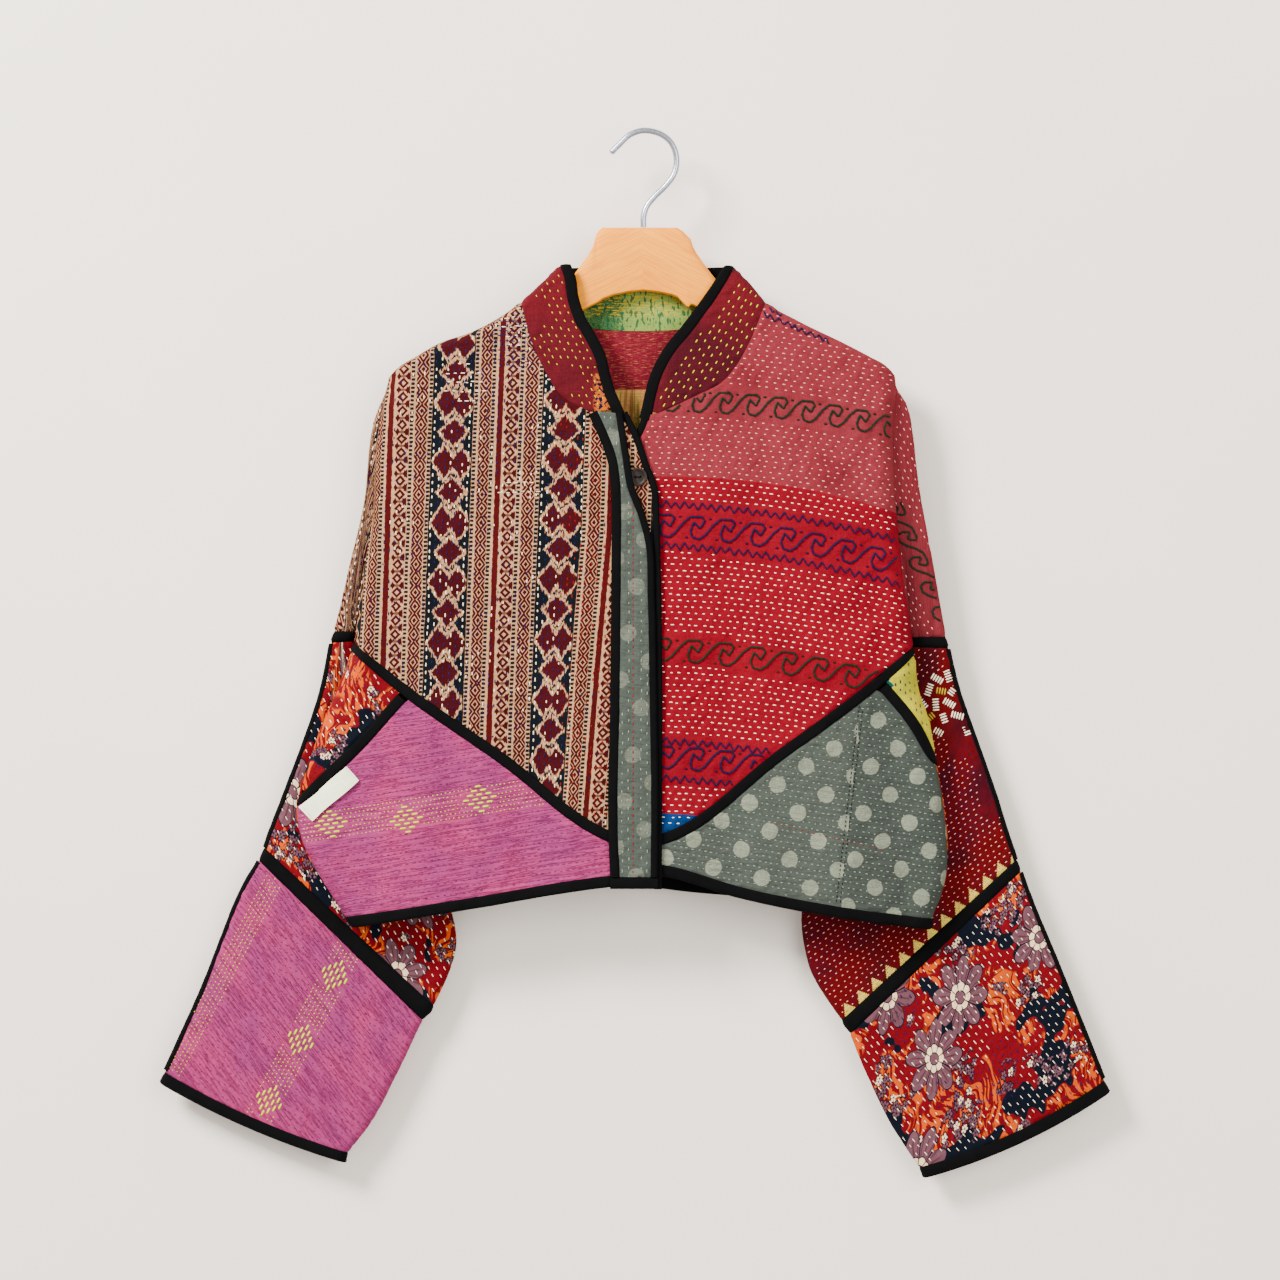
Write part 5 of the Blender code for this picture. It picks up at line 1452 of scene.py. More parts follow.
def bordeaux_print(u, v, patches):
    """Dark red, rusty at the top and plum in the lower part of the right side."""
    worn = noise(point(u * 0.5, v * 0.5, 4.0), 3.0, 0.7)
    colour = blend(eased(v, -135.0, -165.0), "rust", "bordeaux")
    plum = eased(u, 10.0, 30.0) * eased(v + u * 0.4, -125.0, -155.0)
    colour = blend(plum * 0.8, colour, "plum")
    threads = eased(noise(point(u * 2.2, v * 0.35, 6.0), 1.0), 0.60, 0.70)
    return shaded(blend(threads * 0.3, colour, "weave"), worn * 0.5 + 0.8), None


bordeaux = printed("Bordeaux cotton", 0.5, 7.0, 0.4)(bordeaux_print)


@printed("Bordeaux cotton with printed foot", 0.5, 7.0, 0.4)
def bordeaux_left(u, v, patches):
    """Bordeaux, with a small orange and violet print at the foot of the left collar."""
    colour, _ = bordeaux_print(u, v, patches)
    streaks = noise(point(u * 0.35, v * 0.35, 6.0), 2.0, 0.6)
    foot = blend(eased(streaks, 0.50, 0.53), "saffron", "violet")
    foot = blend(eased(streaks, 0.56, 0.58), foot, "navy")
    return blend(eased(v, -197.0, -199.0) * eased(u, -40.0, -36.0), colour, foot), None


TEMPLE_PITCH = 15.4


@printed("Crimson cotton", 0.45, 8.0, 0.4)
def crimson(u, v, patches):
    """Crimson with violet flecks and darker stretches, and yellow steps along the lower edge (v from it)."""
    flecks = noise(point(u * 0.45, v * 0.45, 8.0), 2.0, 0.6)
    colour = blend(eased(patches, 0.42, 0.62), "crimson", "crimson deep")
    zone = within(v, 38.0, 120.0, 12.0)
    colour = blend(eased(flecks, 0.56, 0.62) * zone * 0.7, colour, "violet")
    across = size_of(nearest_repeat(u, TEMPLE_PITCH))
    steps = whole(v / 1.5) * 1.5
    temple = eased(across + steps * 0.62 - 5.4, 0.3, -0.3) * eased(v, -1.0, 0.0)
    specks = noise(point(u * 0.9, v * 0.9, 2.0), 1.0)
    temple = temple * eased(specks, 0.66, 0.60)
    return blend(temple, colour, "temple"), None


@printed("Crimson back cotton", 0.45, 8.5, 0.4)
def crimson_plain(u, v, patches):
    """Plain crimson for the back."""
    return blend(eased(patches, 0.42, 0.62), "crimson", "crimson deep"), None


@printed("Green printed lining", 0.4, 9.0, 0.3)
def green_lining(u, v, patches):
    """Pale green, leaf green on one side, with short corn strokes, and rows of dark dashes at its foot."""
    strokes = noise(point(u * 0.13, v * 0.9, 3.0), 2.0, 0.6)
    woven = noise(point(u * 0.5, v * 1.4, 5.0), 2.0, 0.7)
    side = within(u + (woven - 0.5) * 40.0, -46.0, -16.0, 3.0)
    colour = blend(side * 0.85, "grass", "leaf")
    colour = blend(eased(woven, 0.52, 0.64) * 0.5, colour, "grass")
    colour = blend(eased(strokes, 0.53, 0.57) * eased(v, -151.0, -147.0) * 0.9, colour, "corn")
    dashes = noise(point(u * 0.42, v * 0.16, 9.0), 1.0)
    return blend(eased(dashes, 0.56, 0.60) * 0.85, colour, "leaf"), None


@printed("Lining of the back", 0.6, 10.0, 0.4)
def back_lining(u, v, patches):
    """Inside of the back: bordeaux crossed by a few tan threads, and striped tan cloth below it."""
    worn = noise(point(u * 0.9, v * 1.3, 4.0), 2.0, 0.7)
    across = noise(point(u * 0.16, v * 1.5, 8.0), 2.0, 0.6)
    upper = blend(eased(across, 0.54, 0.66) * 0.32, "inner red", "tan")
    upper = shaded(upper, worn * 0.8 + 0.6)
    stripes = noise(point(u * 0.45, v * 0.015, 5.0), 1.0)
    low = blend(eased(stripes, 0.40, 0.47) * 0.6, "tan deep", "tan")
    low = blend(eased(stripes, 0.55, 0.60) * 0.55, low, "grass")
    low = blend(eased(stripes, 0.62, 0.66) * 0.5, low, "rust")
    low = shaded(low, worn * 0.8 + 0.75)
    return blend(eased(v, -208.5, -210.0), upper, low), None


@functools.cache
def black_tape():
    """Black cotton tape: fine ribs across it, lint and a faint sheen."""
    made = Finish("Black tape", 0.85)
    x, y, z = made.place()
    ribs = noise(point(x * 1.3, z * 1.3, y * 1.3), 2.0, 0.6)
    lint = noise(point(x * 0.08, z * 0.08, y * 0.08), 3.0, 0.6)
    made.set_colour(shaded("black", ribs * 0.8 + lint * 1.1 + 0.1))
    made.set_bump(ribs + lint * 0.6, 0.22)
    return made.material


@functools.cache
def label_cloth():
    made = Finish("Label cloth", 0.85)
    u, v = made.weave()
    shade, height, _ = made.grain(u, v, 0.3, 11.0)
    ribs = fraction(v / 0.9)
    # The grain's shade brings painted shade of the puckers into the label's colour.
    made.set_colour(shaded("label", shade * 0.5 + 0.5))
    made.set_bump(height + ribs * 0.4, 0.2)
    return made.material


@functools.cache
def thread_finish(thread):
    """Twisted cotton thread of one tone, a little uneven along its length."""
    made = Finish(thread.capitalize(), 0.7, 0.12)
    x, y, z = made.place()
    twist = noise(point(x * 1.6, z * 1.6, y * 1.6), 2.0, 0.6)
    worn = noise(point(x * 0.05, z * 0.05, y * 0.05), 2.0)
    made.set_colour(shaded(thread, twist * 0.5 + worn * 0.35 + 0.55))
    made.set_bump(twist, 0.15)
    return made.material


@functools.cache
def beech():
    """Pale beech: long slanting grain, broad bands and short dark rays."""
    made = Finish("Beech", 0.5, 0.1)
    x, _, z = made.place()
    side = (x > HANGER_MIDDLE) * 2.0 - 1.0
    along = (x - HANGER_MIDDLE) * side
    length = along * 0.9 + z * -0.45
    aside = z * 0.9 + along * 0.45
    bands = noise(point(length * 0.010, aside * 0.10, side), 2.0, 0.5)
    lines = noise(point(length * 0.03, aside * 0.9, side + 5.0), 2.0, 0.6)
    rays = noise(point(length * 0.18, aside * 1.7, side + 3.0), 1.0)
    colour = blend(eased(lines, 0.40, 0.62) * 0.7 + eased(bands, 0.4, 0.6) * 0.3, "beech", "beech dark")
    colour = blend(eased(rays, 0.58, 0.68) * 0.5, colour, "beech dark")
    made.set_colour(shaded(colour, bands * 0.10 + 0.95))
    made.set_bump(rays * 0.5 + bands, 0.06)
    return made.material


@functools.cache
def steel():
    """Satin steel wire, a little uneven in its colour and its dullness."""
    made = Finish("Steel", 0.28, 0.5)
    made.shader.inputs["Metallic"].default_value = 1.0
    x, y, z = made.place()
    lines = noise(point(x * 0.7, y * 0.7, z * 0.7), 3.0, 0.6)
    made.set_colour(shaded("steel", lines * 0.3 + 0.85))
    plug(made.tree, made.shader.inputs["Roughness"], lines * 0.25 + 0.14)
    made.set_bump(lines, 0.02)
    return made.material


@functools.cache
def horn():
    """Brown horn with drawn-out streaks."""
    made = Finish("Horn", 0.45, 0.15)
    x, y, z = made.place()
    streaks = noise(point(x * 0.5 + z * 0.3, z * 0.12 - x * 0.05, y * 0.1), 3.0, 0.6)
    made.set_colour(blend(eased(streaks, 0.4, 0.62), "horn", "horn dark"))
    made.set_bump(streaks, 0.05)
    return made.material


# Builders

DENT = 0.65  # how deep a stitch pulls the cloth in
TUCK = 0.8  # how far a cloth's edge dips under its binding


def weave_place(flat, middle):
    """(u, v) of each point in its cloth: its flat place, plus what the cloth's turn over an edge adds."""
    extra = []
    for axis in (1, 0):
        solid = np.linalg.norm(np.diff(middle, axis=axis), axis=-1)
        plain = np.linalg.norm(np.diff(flat, axis=axis), axis=-1)
        grown = np.cumsum(np.pad(solid - plain, ((0, 0), (1, 0)) if axis else ((1, 0), (0, 0))), axis=axis)
        extra.append(grown)
    across, down = extra
    across = across - across[:, across.shape[1] // 2, None]
    down = down - down[down.shape[0] // 2][None]
    return np.stack([flat[..., 0] + across, flat[..., 1] - down], axis=-1)


def surface_area(points, wrap=False):
    """Area of a grid of points in square metres, from the two triangles of each quad."""
    if wrap:
        points = np.concatenate([points, points[:, :1]], axis=1)
    a, b, c, d = points[:-1, :-1], points[:-1, 1:], points[1:, 1:], points[1:, :-1]
    halves = np.cross(b - a, c - a), np.cross(c - a, d - a)
    return sum(np.linalg.norm(half, axis=-1).sum() for half in halves) / 2 * MM**2


def smallest_box(place):
    """Sides of the smallest rectangle round a piece's flat points, in metres."""
    rim = np.concatenate([place[0], place[-1], place[:, 0], place[:, -1]])
    best = None
    for turn in np.radians(np.arange(0, 90, 3)):
        a = rim[:, 0] * np.cos(turn) + rim[:, 1] * np.sin(turn)
        b = -rim[:, 0] * np.sin(turn) + rim[:, 1] * np.cos(turn)
        sides = (np.ptp(a) * MM, np.ptp(b) * MM)
        if best is None or sides[0] * sides[1] < best[0] * best[1]:
            best = sides
    return best


def cloth_relief(x, z, edge, bound, ripple, pucker, seed):
    """Unevenness of quilted cloth: soft ripples inside, puckers along a binding, and the dip under it."""
    soft = 0.55 * waviness(x, z, 26, seed) + 0.4 * waviness(x, z, 11, seed + 1)
    soft = soft + 0.25 * waviness(x, z, 5, seed + 2)
    soft = ripple * soft * smooth_step(edge, 0, 7)
    near = (1 - smooth_step(bound, 3, 15)) * smooth_step(bound, 0.5, 3)
    return soft + pucker * waviness(x, z, 5.5, seed + 3) * near - TUCK * (1 - smooth_step(bound, 0, 2.5))


def panel(
    name, flat, finishes, sewn=None, facing=-1, lift=no_lift, sides="b", seam=None,
    ripple=1.6, pucker=1.2, creases=(), seed=0, fall=None,
):
    """A cloth piece of the front or the back: its middle surface is the face that its flat points lie on.

    The outer side stands half the cloth's thickness out along the face's normal, plus the relief of ripples,
    puckers, creases and stitch dents. The inner side is half the thickness in. sides names the edges
    (top, bottom, left, right) that run under a binding, and seam is one more line along which the edge dips.
    sewn(plan) returns the piece's stitches and its embroidered lines. fall(x, z) is how far the print sags.
    """
    middle, normals = face_grid(flat, facing, lift)
    x, z = flat[..., 0], flat[..., 1]
    edge = edge_distance(flat)
    bound = edge_distance(flat, sides)
    if seam is not None:
        line = seam(np.linspace(0, 1, 160))
        away = np.min([np.hypot(x - at[0], z - at[1]) for at in line], axis=0)
        bound = np.minimum(bound, away)
    plan = Plan(x, z, edge)
    stitches, lines = sewn(plan) if sewn else ([], [])
    relief = cloth_relief(x, z, edge, bound, ripple, pucker, seed)
    relief = relief + creases_at(x, z, creases) * smooth_step(edge, 0, 8)
    relief = np.maximum(relief - dents(x, z, stitches), -0.9)
    outer = middle + normals * (CLOTH / 2 + relief[..., None])
    inner = middle - normals * CLOTH / 2
    place = weave_place(flat, middle)
    if fall:
        place[..., 1] += fall(x, z)
    piece = shell(name + "_visual", outer, inner, finishes, place)
    threads = sewing(name + "_stitching", stitches, lines, plan, outer, normals)
    settle([name], smallest_box(place), surface_area(middle))
    return piece


def settle(nodes, box, area):
    """area is not used. It is None where the cut is a rectangle.
    """
    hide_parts(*nodes)


ACROSS_TAPE = 9  # points across a tape
TURNED_UNDER = 1.5  # what a tape's cut adds to the way over it


def rounded(share, power=3.5):
    """Height from 0 at both edges of a tape to 1 over its middle. share runs from 0 to 1 across it."""
    return np.sqrt(np.clip(1 - np.abs(2 * share - 1) ** power, 0, 1))


def tape(
    name, above, below, shares, facing=-1, lift=no_lift, depth=BINDING, rests_on=(), seed=0, rows=ACROSS_TAPE,
):
    """A binding between two lines: its outer side is rounded from edge to edge, softly uneven lengthways."""
    top, low = above(shares), below(shares)
    q = np.linspace(0, 1, rows)[:, None, None]
    flat = top[None] * (1 - q) + low[None] * q
    middle, normals = face_grid(flat, facing, lift)
    x, z = flat[..., 0], flat[..., 1]
    shape = rounded(q[..., 0])
    uneven = 0.22 * waviness(x, z, 5, seed + 5) + 0.3 * waviness(x, z, 14, seed + 6)
    height = 0.1 + (depth / 2 - 0.05 + uneven) * shape
    outer = middle + normals * height[..., None]
    inner = middle - normals * (depth / 2)
    piece = shell(name + "_visual", outer, inner, [black_tape()])
    length = np.linalg.norm(np.diff((top + low) / 2, axis=0), axis=-1).sum()
    width = np.linalg.norm(top - low, axis=-1).mean() + depth + TURNED_UNDER
    settle([name], (width * MM, length * MM), None)
    return piece


def strip(name, line, shares, width, facing=-1, lift=no_lift, ends="", **more):
    """A binding of even width along a line. ends names the side folds on which it ends."""
    above, below = on_folds(beside(line, width / 2), ends), on_folds(beside(line, -width / 2), ends)
    length = np.linalg.norm(np.diff(line(np.linspace(0, 1, 60)), axis=0), axis=-1).sum()
    return tape(name, above, below, finer(shares, length, 2.6), facing, lift, **more)


# Stitches and embroidery of the pieces


def yoke_fall(x, z):
    """How far the rows of the right yoke have fallen at a place, as they run to the side."""
    s = np.clip(np.asarray(x, float) - 14.8, 0, None)
    return 0.0487 * s * (1 - smooth_step(z, -330, -265)) + 5.87e-4 * s**2


def row_at(height):
    """The line that a decorated row of the right yoke keeps to, with its height at the front edge."""
    return lambda x: height - yoke_fall(x, height - 5)


SCROLL_ROWS = [  # height, thread, first crest x, turns, repeat, half height of its band, size
    (-220.2, "green thread", 46.0, 8, 22.4, 12.5, 0.94), (-321.8, "indigo thread", 20.5, 9, 24.6, 12.0, 1.0),
    (-422.5, "green thread", 17.5, 8, 25.6, 12.5, 1.0), (-510.0, "indigo thread", 20.0, 5, 24.6, 11.5, 1.0),
]
ZIGZAG_ROWS = [-304.2, -337.6, -496.8, -527.0]


def sew_ikat(plan):
    """White stitches on the navy columns, mostly blue ones on the rest, with red beside the front edge."""
    rows = running("white thread", plan, 88, 4.7, 6.2, 3.0, 21, 0.85, wander=0.2)
    x, z = rows.middles().T
    lean = (-z - 159) * 0.034 + smooth_step(x, -100, -30) * (np.clip(-z - 330, 0, None) * 0.05 - 3.7)
    place = np.mod(x + IKAT_START + lean, IKAT_REPEAT)
    chance = np.random.default_rng(22).random(len(x))
    navy = (place > 35) & (place < 70)
    patch = waviness(x, z, 48, 25)
    rim = navy & ((place < 42) | (place > 65))
    white = rim & (patch < 0.55) | navy & (chance < 0.3) | (chance < 0.2) & (np.abs(patch) < 0.35)
    blue = (navy | (chance < 0.55 + 0.3 * patch)) & ~white
    red = (x > -66) & (chance < 0.5) & (z > -560)
    parts = [("blue thread", blue & ~red), ("white thread", white & ~red), ("red thread", red)]
    stitches = [Stitches(thread, rows.starts[mask], rows.ends[mask], 1.0) for thread, mask in parts]
    mended = lambda x, z: (waviness(x, z, 44, 27) > 0.5) & (z > -300)
    across = running("white thread", plan, 1.0, 7.5, 6.2, 3.6, 24, 0.8, wander=0.2, where=mended)
    dark = running("blue thread", plan, -3.0, 4.0, 4.6, 3.4, 26, 0.9, wander=0.2, where=near_neck)
    return [*stitches, across, dark], []


def near_neck(x, z):
    """The darned patch where the left shoulder meets the neck."""
    return np.hypot(x + 98, (z + 166) * 0.8) < 24


def sew_pink(plan):
    lines, extra = [], []
    for height, thread, start, turns, repeat, band, size in SCROLL_ROWS:
        middle = row_at(height)
        first = start - math.ceil((start + 12) / repeat) * repeat if height < -300 else start - repeat
        lines.append((thread, 2.1, [scroll_line(first, turns + 2, repeat, middle, size)]))
        extra.append(scroll_dashes(thread, first, turns + 2, repeat, middle, size))
    zigzags = [zigzag(-10, 246, row_at(height)) for height in ZIGZAG_ROWS]
    shoulder = lambda x: -152.5 - (x - 108) * 0.40
    zigzags += [zigzag(100, 156, shoulder, 6.4, 4.4), zigzag(104, 184, lambda x: shoulder(x) + 6.5, 6.4, 4.0)]
    lines.append(("indigo thread", 1.6, zigzags))

    def clear(x, z):
        mask = np.ones_like(x, bool)
        for height, _, _, _, _, band, _ in SCROLL_ROWS:
            mask &= np.abs(z - row_at(height)(x)) > band
        for height in ZIGZAG_ROWS:
            mask &= np.abs(z - row_at(height)(x)) > 4.6
        return mask

    sag = lambda x: yoke_fall(x, -300)
    high = lambda x, z: clear(x, z) & (z + yoke_fall(x, z) > BORDER_Z)
    low = lambda x, z: clear(x, z) & (z + yoke_fall(x, z) < BORDER_Z)
    rows = running("pink thread", plan, 0, 4.3, 7.2, 2.2, 31, 0.85, sag=sag, where=high, wander=0.12)
    more = running("white thread", plan, 0, 4.9, 6.4, 2.6, 32, 0.9, sag=sag, where=low, wander=0.12)
    extra = [part.on(plan, 2.0) for part in extra]
    return [rows, more, *extra], lines


LOZENGES_FRONT = [(-253, -565), (-191, -561), (-131, -544)]


def near_band(x, z):
    """The band of yellow stitches across the left lower piece."""
    return (np.abs(z + 563 - (x + 230) * 0.16) < 12.5) & (x < -78)


def sew_magenta(plan):
    rows = running("magenta thread", plan, 9, 5.0, 5.2, 2.6, 41, 0.8, wander=0.2)
    small = running("yellow thread", plan, 9.2, 3.5, 3.5, 1.2, 42, 0.85, where=near_band, wander=0.08)
    figures = lozenges(plan, LOZENGES_FRONT, 9)
    x, z = small.middles().T
    free = np.min([np.abs(x - a) / 17 + np.abs(z - b) / 13.5 for a, b in LOZENGES_FRONT], axis=0) > 1
    return [rows.kept(~near_band(*rows.middles().T)), small.kept(free), *figures], []


def lozenges(plan, centres, angle):
    """Lozenges of long yellow stitches: rows of 1, 2, 3, 4, 3, 2 and 1."""
    found = []
    for half in (-3.1, 3.1):
        ends = []
        for centre in centres:
            grid = [
                ((place - (count - 1) / 2) * 7.6 + half, (3 - row) * 3.4)
                for row, count in enumerate((1, 2, 3, 4, 3, 2, 1)) for place in range(count)
            ]
            ends.append(turned(np.array(grid), centre, angle))
        found.append(np.concatenate(ends))
    sewn = Stitches("yellow thread", *found, 1.75)
    return [sewn.on(plan, 2.5)]


SAGE_SEAM = ((179.6, -466.6), (159.9, -631.4))
RED_LINE = ((104.1, -563.3), (196.0, -585.5))


def sew_sage(plan):
    """White rows, a dark seam between two shades of the cloth, and a line of red stitches."""
    rows = running("grey thread", plan, -10, 4.7, 5.0, 2.0, 51, 0.8, wander=0.14)
    start, end = SAGE_SEAM
    way = direction(start, end)
    steps = np.arange(2, math.dist(start, end), 3.6)
    sewn = [
        stitch_line("dark thread", start + np.array([-way[1], way[0]]) * aside, way, steps, 2.4, 0.8)
        for aside in (-1.6, 1.6)
    ]
    sewn.append(stitch_line("red thread", RED_LINE[0], direction(*RED_LINE), np.arange(0, 94, 5.2), 2.4, 0.7))
    return [rows, *(line.on(plan, 2.0) for line in sewn)], []


RED_ON_FLY = -6.5  # x of the line of red stitches


def sew_fly(plan):
    rows = running("grey thread", plan, 90, 5.0, 8.0, 2.7, 61, 0.8, wander=0.06)
    steps = np.arange(0, 342, 5.7)
    red = stitch_line("red thread", (RED_ON_FLY, -604), np.array([0, 1]), steps, 2.7, 0.8).on(plan, 1.5)
    return [rows.kept(np.abs(rows.middles()[:, 0] - RED_ON_FLY) > 2.2), red], []


def sew_lime(plan):
    rows = running("violet thread", plan, 93, 4.0, 7.0, 2.6, 71, 1.0, wander=0.1)
    return [rows], []


def sew_flowers(angle, seed):
    def sewn(plan):
        rows = running("white thread", plan, angle, 5.6, 7.4, 3.6, seed, 0.72, wander=0.15)
        middle = rows.middles()
        other = waviness(middle[:, 0], middle[:, 1], 38, seed) > 0.5
        dark = Stitches("blue thread", rows.starts[other], rows.ends[other], 0.85)
        return [rows.kept(~other), dark], []

    return sewn


def sew_bordeaux(plan):
    rows = running("yellow thread", plan, -64, 5.6, 7.0, 2.4, 81, 0.7, wander=0.3)
    x, z = rows.middles().T
    return [rows.kept(waviness(x, z, 26, 83) + (x + 72) * 0.02 > 0.1)], []


def sew_bordeaux_right(plan):
    rows = running("yellow thread", plan, 58, 5.6, 7.8, 2.9, 82, 0.85, wander=0.2)
    x, z = rows.middles().T
    return [rows.kept(((x - 45) * 0.8 - (z + 175) * 0.6 > -3) & (waviness(x, z, 20, 84) > -0.8))], []


# Body

CELL = 2.2  # size of a quad on the front
BACK_CELL = 4.3
LEFT_SEAM_END = 0.985  # share of the left seam and hem at which the front's pieces end
RIGHT_SEAM_START = 0.012  # and the share of the right ones at which they begin


def make_front_left():
    """Ikat yoke, flowered gusset, magenta lower front and their bindings."""
    seam_top = on_folds(beside(seam_left, HALF), "left")
    seam_low = on_folds(beside(seam_left, -HALF), "left")
    placket_edge = beside(placket, -HALF_NARROW)
    placket_share = share_at(placket_edge, seam_top(LEFT_SEAM_END)[1])
    yoke_front = between(placket_edge, 0, placket_share)
    neck_end = 0.88
    top = chain(
        [shoulder_left, neck_left, straight(NECK_LEFT[-1], yoke_front(0.0))], [NECK_SHARE_LEFT, neck_end]
    )
    low_start = YOKE_JUNCTION_LEFT + 0.05
    across = merged(
        NECK_SHARE_LEFT * np.array(SHOULDER_STEPS),
        NECK_SHARE_LEFT + (neck_end - NECK_SHARE_LEFT) * np.array(NECK_STEPS),
        [0.94, 1, low_start],
    )
    bottom = between(seam_top, 0, LEFT_SEAM_END)
    yoke_side = fold_line(left_fold, top(0.0)[1], seam_top(0.0)[1])
    flat = patch(top, bottom, yoke_side, yoke_front, finer(across, 260, CELL), finer(DOWN_YOKE, 390, CELL))
    panel(
        "front_yoke_left", flat, [ikat(), back_lining()], sew_ikat, lift=lap_lift, sides="br",
        seam=neck_left, creases=CREASES_YOKE_LEFT, seed=100,
    )
    seam_shares = LEFT_SEAM_END * across
    strip("yoke_seam_left", seam_left, seam_shares, BINDING_WIDTH, lift=lap_lift, ends="left",
          rests_on=("front_yoke_left",), seed=200)

    side_seam = curve(SIDE_SEAM_LEFT)
    strip("side_seam_left", side_seam, SIDE_STEPS, BINDING_WIDTH, lift=lap_lift, ends="left",
          rests_on=("side_gusset_left",), seed=210)
    side_high = on_folds(beside(side_seam, HALF), "left")
    side_low = on_folds(beside(side_seam, -HALF), "left")
    gusset_shares = across[across < YOKE_JUNCTION_LEFT + 1e-6]
    gusset_top = between(seam_low, 0, nearest_share(seam_low, side_high(1.0), 0, 0.5))
    gusset_end = SIDE_STEPS[2]
    corner_z = side_high(gusset_end)[1] + 2
    corner = np.array([left_fold(corner_z), corner_z])
    flat = patch(
        gusset_top,
        straight(corner, side_high(gusset_end)),
        fold_line(left_fold, gusset_top(0.0)[1], corner_z),
        pulled(between(side_high, 1, gusset_end), gusset_top(1.0), 0, 3),
        finer(gusset_shares / gusset_shares[-1], 70, CELL),
        finer((1 - np.array(SIDE_STEPS[:1:-1])) / (1 - gusset_end), 88, CELL),
    )
    panel("side_gusset_left", flat, [floral()], sew_flowers(-58, 301), lift=lap_lift,
          sides="tr", seed=110)

    hem = on_folds(curve(HEM_TOP_LEFT), "left")
    low_shares = across[across > low_start - 1e-6]
    low_across = (low_shares - low_start) / (1 - low_start)
    low_top = between(seam_low, LEFT_SEAM_END * low_start, LEFT_SEAM_END)
    hem_edge = between(lifted(hem, -RUN_UNDER), 0, LEFT_SEAM_END)
    side_length = 0.5
    low_side = chain(
        [between(side_low, 1, 0), fold_line(left_fold, side_low(0.0)[1], hem_edge(0.0)[1])], [side_length]
    )
    columns = merged(low_across, [0.01, 0.03, 0.06])
    flat = patch(
        low_top,
        hem_edge,
        pulled(low_side, low_top(0.0), 0, 60),
        straight(low_top(1.0), hem_edge(1.0)),
        finer(columns, 250, CELL),
        finer(merged(side_length * (1 - np.array(SIDE_STEPS)), evenly(side_length, 1, 5)), 190, CELL),
    )
    panel("lower_front_left", flat, [magenta(), floral()], sew_magenta, lift=lap_lift,
          sides="tbl", creases=CREASES_LOW_LEFT, seed=120)
    strip("hem_front_left", lifted(hem, -BINDING_WIDTH / 2), LEFT_SEAM_END * columns, BINDING_WIDTH,
          lift=lap_lift, ends="left", rests_on=("lower_front_left",), seed=220)
    placket_shares = merged(placket_share * np.array([0] + DOWN_YOKE[5:]), evenly(placket_share, 1, 3))
    strip("placket_tape", placket, placket_shares, NARROW_BINDING, lift=lap_lift,
          rests_on=("front_yoke_left",), seed=230, rows=7)


